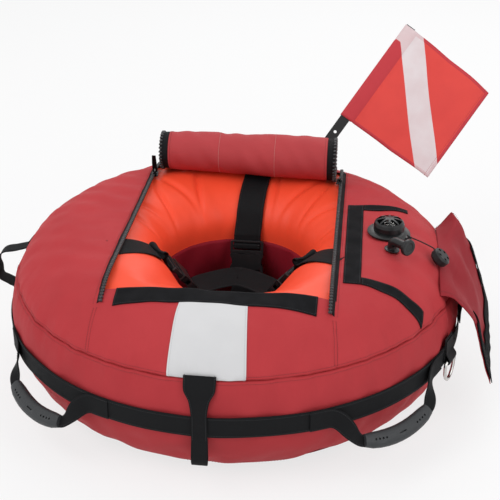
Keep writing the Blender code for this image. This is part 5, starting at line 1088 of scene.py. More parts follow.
def tooth_copy(name: str, length: float, width: float, height: float) -> Piece:
    """One zip tooth: a rounded block along X.

    Args:
        name: The copy's name.
        length: Its size along the chain.
        width: Its size across the chain.
        height: Its thickness.

    Returns:
        The object that is repeated.
    """
    half = [(-0.5, 0.35), (-0.3, 0.5), (0.3, 0.5), (0.5, 0.35)]
    outline = half + [(-x, -y) for x, y in half]
    rings = []
    for level, size in ((-0.5, 0.75), (-0.28, 1.0), (0.28, 1.0), (0.5, 0.75)):
        rings.append([(x * length * size, y * width * size, level * height) for x, y in outline])
    return copy_object(name, np.array(rings))


@dataclass
class Workshop:
    """What every sub-assembly needs: the skin, the rows of copies and the shared finishes."""

    ring: RingShape = field(default_factory=RingShape)

    def __post_init__(self) -> None:
        """Make the shared finishes and copies."""
        self.skin = Skin(self.ring)
        self.rows = CopyRow("rows_of_copies")
        self.stitch = stitch_copy(0.0028, 0.00032)
        self.tooth = tooth_copy("zip_tooth", 0.0034, 0.0062, 0.0038)
        self.coarse_tooth = tooth_copy("roll_tooth", 0.0038, 0.0064, 0.0062)
        self.dark_thread = Thread("dark_red_thread", Tone.DARK_THREAD).make()
        self.black_thread = Thread("black_thread", Tone.BLACK_THREAD).make()
        self.pale_thread = Thread("pale_thread", Tone.PALE_THREAD).make()
        self.white_thread = Thread("white_thread", Tone.WHITE_THREAD).make()
        self.hook_tape = HookTape("hook_and_loop").make()
        # The zip plastic is lighter than black: painted highlight standing in for the teeth's glints.
        self.zip_plastic = Moulded("zip_teeth_plastic", Tone.ZIP, 0.30).make()
        self.zip_tape = WovenWebbing("zip_tape_weave", 0.006, Tone.TRIM, 0.0012, 0.0015).make()

    def sew(self, name: str, lines: list[Pair], thread: Material, body: str, slot: str, pitch: float = 0.0038,
            bend: Bend | None = None) -> Piece:
        """Rows of stitches along lines.

        Args:
            name: The piece's name.
            lines: Points and outward normals.
            thread: The thread's finish.
            body: The body that it moves with.
            slot: The record's material slot.
            pitch: Distance from stitch to stitch.
            bend: The joint that the seam crosses, if it does.

        Returns:
            The new object.
        """
        return settle(self.rows.lay(name, lines, pitch, self.stitch, thread), body, slot, bend=bend)

    def line_over(self, corners: list[tuple[float, float]], lift: float) -> Pair:
        """A line on the cover's top through plan corners, with its normals."""
        parts = []
        for start, end in zip(corners, corners[1:]):
            steps = max(2, int(math.dist(start, end) / 0.004))
            parts.append(np.linspace(start, end, steps, endpoint=False))
        points = np.concatenate([*parts, corners[-1:]])
        return self.skin.over(points[:, 0], points[:, 1], lift)


@dataclass
class Studio:
    """The pale floor, soft light, and the camera at the photograph's angle."""

    position: Point = (0.2130, -1.7706, 1.1368)
    target: Point = (0.0251, 0.0027, 0.2328)
    lens: float = 80.96
    floor_radius: float = 9.0
    floor_glow: float = 0.74
    surround: float = 0.58

    def build(self) -> None:
        """Make the camera, lights, world and floor."""
        self._camera()
        self._lamp("key", (-1.7, -2.0, 3.0), 2.4, 54.0)
        self._lamp("fill", (2.4, -1.2, 1.9), 2.4, 24.0)
        self._lamp("back", (0.6, 2.4, 2.4), 2.2, 30.0)
        self._world()
        self._floor()
        bpy.context.scene.view_settings.view_transform = "Standard"

    def _camera(self) -> None:
        """Place the camera."""
        data = bpy.data.cameras.new("camera")
        data.lens = self.lens
        data.sensor_width = 36.0
        bpy.context.scene.camera = self._aimed("camera", data, self.position, self.target)

    def _aimed(self, name: str, data: bpy.types.ID, place: Point, target: Point) -> Piece:
        """Place a camera or a lamp so that it looks at a point."""
        obj = bpy.data.objects.new(name, data)
        obj.location = place
        obj.rotation_euler = (Vector(target) - Vector(place)).to_track_quat("-Z", "Y").to_euler()
        bpy.context.scene.collection.objects.link(obj)
        return obj

    def _lamp(self, name: str, place: Point, size: float, watts: float) -> None:
        """A square soft lamp that looks at the buoy."""
        data = bpy.data.lights.new(name, "AREA")
        data.shape = "SQUARE"
        data.size = size
        data.energy = watts
        self._aimed(name, data, place, (0.0, 0.0, 0.15))

    def _world(self) -> None:
        """A white surround for what the camera sees, and softer light on the object."""
        world = bpy.data.worlds.new("studio")
        world.use_nodes = True
        tree = world.node_tree
        tree.nodes.clear()
        soft = self._shader(tree, "ShaderNodeBackground", (1.0, 1.0, 1.0), self.surround)
        white = self._shader(tree, "ShaderNodeBackground", (1.0, 1.0, 1.0), 1.0)
        self._mixed(tree, self._seen(tree), soft, white, "ShaderNodeOutputWorld")
        bpy.context.scene.world = world

    def _shader(self, tree: bpy.types.NodeTree, kind: str, colour: Colour,
                strength: float | None = None) -> bpy.types.NodeSocket:
        """Add a shader of one colour and return its output."""
        made = tree.nodes.new(kind)
        made.inputs["Color"].default_value = (*colour, 1.0)
        if strength is not None:
            made.inputs["Strength"].default_value = strength
        return made.outputs[0]

    def _mixed(self, tree: bpy.types.NodeTree, share: bpy.types.NodeSocket, first: bpy.types.NodeSocket,
               second: bpy.types.NodeSocket, output: str) -> None:
        """Send a mix of two shaders to the tree's output."""
        out = tree.nodes.new(output)
        blend = tree.nodes.new("ShaderNodeMixShader")
        for place, socket in enumerate((share, first, second)):
            tree.links.new(socket, blend.inputs[place])
        tree.links.new(blend.outputs[0], out.inputs[0])

    def _seen(self, tree: bpy.types.NodeTree) -> bpy.types.NodeSocket:
        """1 for rays from the camera or by way of gloss or glass."""
        rays = tree.nodes.new("ShaderNodeLightPath")
        total = rays.outputs["Is Camera Ray"]
        for label in ("Is Glossy Ray", "Is Transmission Ray"):
            join = tree.nodes.new("ShaderNodeMath")
            join.operation = "MAXIMUM"
            tree.links.new(total, join.inputs[0])
            tree.links.new(rays.outputs[label], join.inputs[1])
            total = join.outputs[0]
        return total

    def _floor(self) -> None:
        """A wide pale floor that is nearly white where it is seen, and keeps the shadow."""
        mesh = bpy.data.meshes.new("floor")
        turns = np.linspace(0.0, 2.0 * math.pi, 64, endpoint=False)
        ring = np.stack([np.cos(turns), np.sin(turns), np.zeros(64)], axis=-1) * self.floor_radius
        mesh.from_pydata(ring.tolist(), [], [list(range(64))])
        material = bpy.data.materials.new("pale_floor")
        material.use_nodes = True
        tree = material.node_tree
        tree.nodes.clear()
        matt = self._shader(tree, "ShaderNodeBsdfDiffuse", (0.86, 0.86, 0.87))
        glow = self._shader(tree, "ShaderNodeEmission", (1.0, 1.0, 1.0))
        share = tree.nodes.new("ShaderNodeMath")
        share.operation = "MULTIPLY"
        share.inputs[1].default_value = self.floor_glow
        tree.links.new(self._seen(tree), share.inputs[0])
        self._mixed(tree, share.outputs[0], matt, glow, "ShaderNodeOutputMaterial")
        floor = new_object("floor", mesh, material)
        floor.location = (0.0, 0.0, -0.0002)


@dataclass
class Cover:
    """The sewn cover: top, side and bottom panels, the wall in the hole, and the seams.

    A round is a panel's mean radius, by which its map's lengths round the buoy are measured.
    """

    shop: Workshop
    thickness: float = 0.0014
    azimuth_steps: int = 540
    seam_azimuth: float = math.radians(30.0)
    collar_top: float = 0.190
    collar_foot: float = 0.006
    collar_slack: float = 0.0055
    top_round: float = 0.33
    collar_round: float = 0.15
    seam_gap: float = 0.0052
    seam_start: tuple[float, float] = (0.186, -0.290)
    felled: tuple = ((-0.0036, -0.0004), (-0.0032, 0.0004), (0.0, 0.0006), (0.0032, 0.0004),
                     (0.0036, -0.0004))
    valve_hole: tuple = (*VALVE, 0.0245)
    tube_hole: tuple = (0.272, -0.086, 0.0075)

    def build(self) -> None:
        """Make every panel and seam."""
        self.azimuth = self._azimuths()[:, None]
        red = WovenNylon("red_cover_cloth", Tone.RED).make()
        side = WovenNylon("red_side_cloth", Tone.DEEP_RED, mottle=0.2).make()
        # The wall in the hole and the bottom panel get a darker red: painted shade, not a different cloth.
        dark = WovenNylon("dark_red_cloth", Tone.DARK_RED, crease_depth=0.0022).make()
        self._top(red)
        self._side(side)
        self._bottom(dark)
        self._collar(dark)
        self._seams(red)

    def _azimuths(self) -> Array:
        """Even azimuths, with the opening's four corners among them."""
        ring = self.shop.ring
        front = math.atan2(ring.half_width - ring.lip, ring.front)
        rear = math.pi - math.atan2(ring.half_width - ring.lip, ring.rear)
        even = np.linspace(-math.pi, math.pi, self.azimuth_steps, endpoint=False)
        corners = np.array([-rear, -front, front, rear])
        apart = np.min(np.abs(even[:, None] - corners[None, :]), axis=1) > 0.004
        return np.sort(np.concatenate([even[apart], corners]))

    def _panel(self, node: str, points: Array, material: Material, lengths: Pair, flip: bool = True) -> Piece:
        """A closed round of cloth, which stands for a node."""
        obj = grid_piece(f"{node}_cloth", points, material, (True, False), lengths, self.thickness, flip)
        return settle(obj, "buoy", node, node)

    def _top(self, material: Material) -> None:
        """The top panel, from the opening to the top seam, with a hole for each valve."""
        ring, azimuth = self.shop.ring, self.azimuth[:, 0]
        seam = ring.turn_at_height(ring.top_seam)
        last_radius = float(ring.upper(np.array(seam))[0])
        flat = np.linspace(0.17, ring.crest_radius, 12, endpoint=False)
        curve = ring.upper(np.linspace(math.pi / 2.0, seam, 90))
        radius = np.concatenate([flat, curve[0]])
        height = np.concatenate([np.full(len(flat), ring.crest_height), curve[1]])
        run = np.concatenate([[0.0], np.cumsum(np.hypot(np.diff(radius), np.diff(height)))])
        inner = np.interp(ring.opening(azimuth), radius, run)
        shares = np.linspace(0.0, 1.0, 58)
        target = inner[:, None] + (run[-1] - inner[:, None]) * shares[None, :]
        reach = np.minimum(np.interp(target, run, radius), last_radius)
        points = self.shop.skin.over(reach * np.sin(self.azimuth), -reach * np.cos(self.azimuth))[0]
        lengths = (np.broadcast_to(self.azimuth * self.top_round, reach.shape), target)
        obj = self._panel("cover_top", points, material, lengths)
        with editing(obj.data) as bm:
            for x, y, size in (self.valve_hole, self.tube_hole):
                middle = Vector((x, y))
                gone = [f for f in bm.faces if (f.calc_center_median().xy - middle).length < size]
                bmesh.ops.delete(bm, geom=gone, context="FACES")

    def _side(self, material: Material) -> None:
        """The side wall, from the top seam to the bottom seam."""
        ring, skin, azimuth = self.shop.ring, self.shop.skin, self.azimuth
        top = np.linspace(ring.turn_at_height(ring.top_seam - 0.0004), 0.0, 22, endpoint=False)[None, :]
        low = np.linspace(0.0, ring.low_turn_at_height(ring.bottom_seam), 44)[None, :]
        points = np.concatenate([skin.wall(azimuth, top, False), skin.wall(azimuth, low, True)], axis=1)
        across = np.broadcast_to(azimuth * ring.cover_radius, points.shape[:2])
        self._panel("cover_side", points, material, (across, lengths_along(points, 1)))

    def _bottom(self, material: Material) -> None:
        """The bottom panel: flat, turned up at its edge."""
        ring, azimuth = self.shop.ring, self.azimuth
        seam = ring.low_turn_at_height(ring.bottom_seam - self.thickness)
        radius, height, _, _ = ring.lower(np.linspace(seam, math.pi / 2.0, 12)[None, :])
        edge = around(azimuth, radius, np.maximum(height, 0.0))
        inside = around(azimuth, np.linspace(ring.flat_radius, 0.002, 24)[None, 1:], 0.0)
        points = np.concatenate([edge, inside], axis=1)
        obj = self._panel("cover_bottom", points, material, (points[..., 0], points[..., 1]))
        with editing(obj.data) as bm:
            rim = [v for v in bm.verts if v.co.xy.length < 0.0025]
            bmesh.ops.pointmerge(bm, verts=rim, merge_co=(0.0, 0.0, 0.0))

    def _collar(self, material: Material) -> None:
        """The cloth wall in the hole, slack below the bladder's bulge."""
        ring, azimuth = self.shop.ring, self.azimuth
        rise = ring.throat_height - ring.bladder_inset
        power = 2.0 / ring.foot_fullness
        high, low = (math.asin(((ring.throat_height - z) / rise) ** (1.0 / power))
                     for z in (self.collar_top, self.collar_foot))
        turn = np.linspace(high, low, 40)[None, :]
        radius = ring.flat_radius - (ring.flat_radius - ring.throat_radius) * np.cos(turn) ** power
        height = ring.throat_height - rise * np.sin(turn) ** power
        folds = Ripple(0.046, 21)
        drape = np.stack(np.broadcast_arrays(azimuth * 0.16, height * 0.25, height * 0.1), axis=-1)
        share = np.clip((self.collar_top - height) / (self.collar_top - self.collar_foot), 0.0, 1.0)
        slack = 0.0011 + self.collar_slack * np.sin(math.pi * share) * (1.0 + folds(drape))
        points = around(azimuth, radius, height) - around(azimuth, 1.0, 0.0) * slack[..., None]
        across = np.broadcast_to(azimuth * self.collar_round, points.shape[:2])
        self._panel("inner_collar", points, material, (across, lengths_along(points, 1)), False)

    def _seams(self, material: Material) -> None:
        """Stitches each side of the top seam, and the felled seams from the zips to it."""
        shop, ring = self.shop, self.shop.ring
        top = [self._round(ring.turn_at_height(ring.top_seam + rise), False)
               for rise in (self.seam_gap, -self.seam_gap)]
        shop.sew("top_seam_stitches", top, shop.dark_thread, "buoy", "cover_top")
        low = self._round(ring.low_turn_at_height(ring.bottom_seam + 0.006), True)
        shop.sew("bottom_seam_stitches", [low], shop.dark_thread, "buoy", "cover_side", 0.0050)
        sewn = []
        for side in Side:
            start = np.array(self.seam_start) * (side.value, 1.0)
            reach = ring.radius_at(ring.top_seam + 0.004)
            end = around(side.value * self.seam_azimuth, reach, 0.0)[:2]
            ahead = unit(end - start)
            across = np.array([-ahead[1], ahead[0]])
            share = np.linspace(0.0, 1.0, 60)[:, None]
            middle = start * (1.0 - share) + end * share
            columns = [shop.skin.over(*(middle + across * offset).T, lift)[0] for offset, lift in self.felled]
            sewn += [shop.skin.over(*(middle + across * offset).T, 0.0006) for offset in (-0.0024, 0.0024)]
            obj = grid_piece(f"felled_seam_{side.label}", np.stack(columns, axis=1), material)
            settle(obj, "buoy", "cover_top")
        shop.sew("felled_seam_stitches", sewn, shop.dark_thread, "buoy", "cover_top")

    def _round(self, turn: float, below: bool) -> Pair:
        """A line round the cover at one turn of its outline, with its normals."""
        azimuth = np.linspace(-math.pi, math.pi, 900)
        turns = np.full_like(azimuth, turn)
        _, _, nr, nz = (self.shop.ring.lower if below else self.shop.ring.upper)(turns)
        return self.shop.skin.wall(azimuth, turns, below, 0.0001), around(azimuth, nr, nz)


@dataclass
class Bladder:
    """The inflated ring inside the cover, with tension folds towards its throat.

    Each fold is an azimuth and a lean in degrees, a depth and a width in metres.
    """

    shop: Workshop
    azimuth_steps: int = 420
    slack: float = 0.0042
    core: tuple[float, float] = (0.2625, 0.145)
    mean_radius: float = 0.19
    fold_reach: float = 0.262
    folds: tuple = ((-152.0, 9.0, 0.0065, 0.0050), (-141.0, -12.0, 0.0050, 0.0065),
                    (-128.0, 14.0, 0.0060, 0.0045), (-113.0, -8.0, 0.0040, 0.0070),
                    (-100.0, 10.0, 0.0035, 0.0050), (163.0, -7.0, 0.0045, 0.0050),
                    (148.0, 10.0, 0.0050, 0.0060), (136.0, -9.0, 0.0040, 0.0050),
                    (121.0, 12.0, 0.0045, 0.0060), (104.0, -6.0, 0.0035, 0.0055),
                    (55.0, 8.0, 0.0030, 0.0070), (-57.0, -9.0, 0.0035, 0.0060))

    def build(self) -> None:
        """Make the ring."""
        ring = self.shop.ring
        azimuth = np.linspace(-math.pi, math.pi, self.azimuth_steps, endpoint=False)[:, None]
        radius, height = ring.bladder(26, azimuth)
        away = unit(np.stack([radius - self.core[0], height - self.core[1]], axis=-1))
        folds, fine = Ripple(0.075, 31), Ripple(0.030, 37)
        across = azimuth * self.mean_radius
        sweep = np.stack(np.broadcast_arrays(across, 0.22 * radius, 0.22 * height), axis=-1)
        shown = bell(radius - 0.155, 0.065) * bell(height - 0.240, 0.055)
        relief = (-0.0022 + 0.0022 * folds(sweep) + 0.0007 * fine(sweep)) * shown
        inward = np.clip((self.fold_reach - radius) / (self.fold_reach - ring.throat_radius), 0.0, 1.0)
        for turn, lean, depth, width in self.folds:
            apart = (azimuth - math.radians(turn) - math.radians(lean) * (inward - 0.5)) * radius
            relief -= depth * bell(apart, width) * np.sin(math.pi * inward) * (height > 0.15)
        hidden = np.clip((radius - 0.245) / 0.030, 0.0, 1.0) * np.clip((height - 0.010) / 0.030, 0.0, 1.0)
        relief = np.clip(relief, -0.0085, 0.0003) - self.slack * hidden
        points = around(azimuth, radius + relief * away[..., 0], height + relief * away[..., 1])
        lengths = (np.broadcast_to(across, points.shape[:2]), lengths_along(points, 1))
        material = CoatedBladder("orange_bladder_cloth", Tone.ORANGE).make()
        obj = grid_piece("bladder_ring", points, material, (True, True), lengths, 0.0, True)
        settle(obj, "buoy", "bladder", "bladder")


@dataclass
class Trim:
    """Flat pieces sewn on the cover's top: white panels, hook-and-loop strips and zip tapes."""

    shop: Workshop
    front_half: float = 0.158
    front_width: float = 0.036
    velcro: float = 0.0014
    valve_front: float = -0.208
    valve_rear: float = 0.086
    valve_strip: float = 0.028
    valve_cross: float = 0.020
    seam_inset: float = 0.0022
    white: float = 0.0008
    white_inner: float = 0.053
    white_outer: float = 0.060
    rear_white: float = 0.262
    zip_tape: float = 0.016
    zip_front: float = 0.283
    zip_rear: float = 0.240
    chain_x: float = 0.178
    chain_rise: float = 0.0038
    tooth_pitch: float = 0.0062

    def build(self) -> None:
        """Make every strip and panel."""
        self._white_panels()
        self._strips()
        self._zips()

    def _patch(self, name: str, x: Array, y: Array, material: Material, thickness: float,
               node: str, flip: bool) -> None:
        """A sewn patch over plan positions, which stands for a node."""
        points = self.shop.skin.over(x, y, self.shop.ring.trim_lift + thickness)[0]
        obj = grid_piece(name, points, material, thickness=thickness, flip=flip)
        rim = obj.modifiers.new("soft_edges", "BEVEL")
        rim.width = thickness * 0.35
        rim.segments = 2
        rim.limit_method = "ANGLE"
        rim.angle_limit = math.radians(50.0)
        settle(obj, "buoy", node, node)

    def _white_panels(self) -> None:
        """The stripe before and behind the opening."""
        shop, ring = self.shop, self.shop.ring
        cloth = WovenNylon("white_panel_cloth", Tone.WHITE, 0.6, mottle=0.10, crease_depth=0.0012).make()
        outer = ring.radius_at(ring.top_seam + 0.0008)
        sewn = []
        share = np.linspace(0.0, 1.0, 46)[:, None]
        across = np.linspace(-1.0, 1.0, 40)[None, :]
        x = (self.white_inner + (self.white_outer - self.white_inner) * share) * across
        end = np.sqrt(outer ** 2 - x ** 2)
        front = ring.front + 0.0009 + self.front_width
        for label, start, facing in (("front", front, -1.0), ("rear", self.rear_white, 1.0)):
            y = facing * (start + (end - start) * share)
            self._patch(f"white_cloth_{label}", x, y, cloth, self.white, f"white_panel_{label}", facing > 0.0)
            for edge in (-0.93, 0.93):
                column = np.abs(across[0] - edge).argmin()
                sewn.append(shop.skin.over(x[:, column], y[:, column], ring.trim_lift + self.white + 0.0001))
        shop.sew("white_panel_stitches", sewn, shop.white_thread, "buoy", "white_panel_front")

    def _strips(self) -> None:
        """The strip before the opening and the three round the valve."""
        shop, ring = self.shop, self.shop.ring
        near = -ring.front - ring.trim_lift
        inner = ring.half_width + 0.0046
        outer = inner + self.valve_strip
        front, rear, width = self.valve_front, self.valve_rear, self.valve_cross
        areas = {"velcro_front": (-self.front_half, near - self.front_width, self.front_half, near),
                 "valve_velcro_inner": (inner, front, outer, rear),
                 "valve_velcro_rear": (outer + 0.0003, rear - width, 0.301, rear),
                 "valve_velcro_front": (outer + 0.0003, front, 0.324, front + width)}
        inset = self.seam_inset
        sewn = []
        for node, (x0, y0, x1, y1) in areas.items():
            across, along = max(8, int((x1 - x0) / 0.004)), max(8, int((y1 - y0) / 0.004))
            x = np.linspace(x0, x1, across)[None, :] + np.zeros((along, 1))
            y = np.linspace(y0, y1, along)[:, None] + np.zeros((1, across))
            self._patch(f"{node}_tape", x, y, shop.hook_tape, self.velcro, node, True)
            loop = [(x0 + inset, y0 + inset), (x1 - inset, y0 + inset), (x1 - inset, y1 - inset),
                    (x0 + inset, y1 - inset), (x0 + inset, y0 + inset)]
            sewn.append(shop.line_over(loop, ring.trim_lift + self.velcro + 0.0001))
        shop.sew("hook_tape_stitches", sewn, shop.black_thread, "buoy", "velcro_front")

    def _zips(self) -> None:
        """The tapes beside the opening, with their teeth and end stops."""
        shop, ring = self.shop, self.shop.ring
        y = np.linspace(-self.zip_front, self.zip_rear, 150)
        sewn = []
        for side in Side:
            label = side.label
            outer = ring.half_width - ring.lip + 0.0006
            edge, _ = shop.skin.over(np.full_like(y, side.value * outer), y, -0.0007)
            height = ring.top_height(np.hypot(self.chain_x, y)) + self.chain_rise
            chain = np.stack([np.full_like(y, side.value * self.chain_x), y, height], axis=-1)
            shares = np.linspace(0.0, 1.0, 9)
            columns = []
            for share in shares:
                point = edge * (1.0 - share) + chain * share
                point[:, 2] = edge[:, 2] + (chain[:, 2] + 0.0004 - edge[:, 2]) * eased(share)
                columns.append(point)
            points = np.stack(columns, axis=1)
            across = np.broadcast_to(((shares - 0.5) * self.zip_tape)[None, :], points.shape[:2])
            lengths = (across, lengths_along(points, 0))
            obj = grid_piece(f"zip_tape_{label}", points, shop.zip_tape, lengths=lengths, thickness=0.0008,
                             flip=side is Side.LEFT)
            settle(obj, "buoy", f"zip_{label}", f"zip_{label}")
            up = np.zeros_like(chain)
            up[:, 2] = 1.0
            teeth = shop.rows.lay(f"zip_teeth_{label}", [(chain, up)], self.tooth_pitch, shop.tooth,
                                  shop.zip_plastic)
            settle(teeth, "buoy", f"zip_{label}")
            settle(self._cord(f"zip_cord_{label}", chain, shop.zip_plastic), "buoy", f"zip_{label}")
            x = side.value * ring.half_width
            sewn.append(shop.line_over([(x, 0.002 - self.zip_front), (x, self.zip_rear - 0.002)], 0.0001))
        shop.sew("zip_stitches", sewn, shop.dark_thread, "buoy", "zip_left")

    def _cord(self, name: str, line: Array, material: Material) -> Piece:
        """The thin core under the teeth, a little thicker at its front end."""
        turns = np.linspace(0.0, 2.0 * math.pi, 8, endpoint=False) + math.pi / 8.0
        outline = np.stack([np.cos(turns) * 0.72, np.zeros(8), np.sin(turns)], axis=-1)
        sizes = np.where(np.arange(len(line)) > 4, 0.00128, 0.00150)
        points = line[:, None] + outline[None] * sizes[:, None, None]
        return grid_piece(name, points, material, (False, True))


@dataclass
class FlapRoll:
    """The opening's flap, rolled up inner side out, with the wound zip halves at its ends."""

    shop: Workshop
    radius: float = 0.0375
    cloth: float = 0.0030
    pitch: float = 0.0058
    turns: float = 2.4
    per_turn: int = 40
    left_back: float = 0.222
    right_back: float = 0.196
    reach: float = 0.1685
    seam_x: float = 0.0530
    zip_width: float = 0.017
    zip_gap: float = 0.0003
    tape_inset: float = 0.0026
    chain_inset: float = 0.0031
    tape: float = 0.0012
    swell: float = 0.14
    sink: float = 0.0020
    tooth_pitch: float = 0.0070

    def build(self) -> None:
        """Make the roll, its stitches and its zip edging."""
        shop = self.shop
        body = self.reach - self.zip_width - self.zip_gap
        x = np.linspace(-body, body, 90)
        outline = np.stack([self._outline(value, self.cloth) for value in x])
        material = WovenNylon("rolled_flap_cloth", Tone.ROLL_RED, crease_depth=0.0022, mottle=0.2).make()
        along = np.broadcast_to(x[:, None], outline.shape[:2])
        run = lengths_along(outline, 1)
        obj = grid_piece("cover_flap_roll_cloth", outline, material, (False, True), (along, run), flip=True)
        self._cap(obj)
        settle(obj, "buoy", "cover_flap_roll", "cover_flap_roll")
        lift = self.cloth / 2.0 + 0.0002
        inner, outer = ([self._line(sign * x, lift) for sign in (-1.0, 1.0)]
                        for x in (self.seam_x, body - 0.004))
        shop.sew("roll_stitches", inner, shop.pale_thread, "buoy", "cover_flap_roll", 0.0034)
        shop.sew("roll_end_stitches", outer, shop.dark_thread, "buoy", "cover_flap_roll")
        for side in Side:
            self._edging(side, body)

    def _middle(self, x: float) -> Array:
        """The flap's middle line at x, as (y, z) rows: from the sewn edge round to its core."""
        ring = self.shop.ring
        share = (x + self.reach) / (2.0 * self.reach)
        back = self.left_back + (self.right_back - self.left_back) * share
        full, half = self.radius * (1.0 + self.swell * share), self.cloth / 2.0
        base = ring.crest_height + ring.trim_lift - self.sink * share
        sewn = ring.rear + np.array((0.012, 0.006, 0.0))
        seat = ring.top_height(np.hypot(x, sewn)) + ring.trim_lift + 0.0003 + half
        rows = [*zip(sewn, seat), ((ring.rear + back) / 2.0, base + half)]
        turn = 2.0 * math.pi * np.arange(int(self.turns * self.per_turn) + 1) / self.per_turn
        ripple = self._ripple(np.full_like(turn, x), turn)
        radius = full - half - self.pitch * turn / (2.0 * math.pi) + ripple
        angle = -math.pi / 2.0 - turn
        spiral = np.stack([back + radius * np.cos(angle), base + full + radius * np.sin(angle)], axis=-1)
        return np.concatenate([np.array(rows), spiral])

    def _ripple(self, x: Array, turn: Array) -> Array:
        """Soft lengthwise folds of the rolled cloth, still at its foot."""
        folds, dents = Ripple(0.045, 41), Ripple(0.028, 43)
        place = np.stack([x * 0.35, turn * 0.030, np.zeros_like(x)], axis=-1)
        crossways = np.stack([x * 0.9, turn * 0.022 + x * 0.3, np.zeros_like(x)], axis=-1)
        away = np.clip(turn / 0.9, 0.0, 1.0)
        outer = np.clip(2.0 - turn / math.pi, 0.0, 1.0)
        relief = 0.0005 * folds(place) + (0.0007 * folds(place) + 0.0011 * dents(crossways)) * outer
        return np.clip(relief * away, -0.0020, 0.0022)

    def _normals(self, path: Array) -> Array:
        """The normals of the cloth's middle line, outwards from the roll, as (y, z) rows."""
        ahead = unit(np.gradient(path, axis=0))
        return np.stack([-ahead[:, 1], ahead[:, 0]], axis=-1)

    def _at(self, x: float, rows: Array) -> Array:
        """Points from (y, z) rows at x."""
        return np.concatenate([np.full((len(rows), 1), x), rows], axis=1)

    def _outline(self, x: float, thickness: float) -> Array:
        """The closed outline of the wound cloth at x."""
        path = self._middle(x)
        half = self._normals(path) * thickness / 2.0
        return self._at(x, np.concatenate([path + half, (path - half)[::-1]]))

    def _line(self, x: float, lift: float) -> Pair:
        """A line round the roll's outer face at x, with its normals."""
        path = self._middle(x)[2:46]
        normals = self._normals(path)
        return self._at(x, path + normals * lift), self._at(0.0, normals)

    def _cap(self, obj: Piece) -> None:
        """Close the two ends of the wound cloth."""
        with editing(obj.data) as bm:
            rim = [e for e in bm.edges if e.is_boundary]
            for side in Side:
                edges = [e for e in rim if all(v.co.x * side.value > 0.0 for v in e.verts)]
                self._strip(bm, edges, len(rim) // 2)

    def _strip(self, bm: bmesh.types.BMesh, edges: list, count: int) -> None:
        """Fill a wound rim with a strip of faces from face to face of the cloth."""
        follow = {v: [] for e in edges for v in e.verts}
        for edge in edges:
            one, two = edge.verts
            follow[one].append(two)
            follow[two].append(one)
        first = max(follow, key=lambda v: v.co.y)
        order, before = [first], None
        while len(order) < count:
            here = order[-1]
            ahead = [v for v in follow[here] if v is not before and v not in order[-2:]]
            if not ahead or ahead[0] is first:
                break
            before = here
            order.append(ahead[0])
        size = len(order)
        for i in range(size // 2 - 1):
            corners = [order[i], order[i + 1], order[size - 2 - i], order[size - 1 - i]]
            if len(set(corners)) == 4:
                bm.faces.new(corners)
        bmesh.ops.recalc_face_normals(bm, faces=bm.faces)

    def _edging(self, side: Side, body: float) -> None:
        """The tape and teeth wound up at one end of the roll."""
        shop = self.shop
        label = side.label
        start, edge = body + self.zip_gap, self.reach - self.tape_inset
        points = np.stack([self._outline(side.value * x, self.tape) for x in np.linspace(start, edge, 6)])
        across = np.linspace(-0.006, 0.006, 6)[:, None] + np.zeros((1, points.shape[1]))
        obj = grid_piece(f"roll_zip_tape_{label}", points, shop.zip_tape, (False, True),
                         (across, lengths_along(points, 1)), flip=side is Side.RIGHT)
        settle(obj, "buoy", f"roll_zip_{label}", f"roll_zip_{label}")
        chain = side.value * (self.reach - self.chain_inset)
        path = self._middle(chain)
        line = (self._at(chain, path), self._at(0.0, self._normals(path)))
        teeth = shop.rows.lay(f"roll_zip_teeth_{label}", [line], self.tooth_pitch, shop.coarse_tooth,
                              shop.zip_plastic)
        settle(teeth, "buoy", f"roll_zip_{label}")


# Webbing

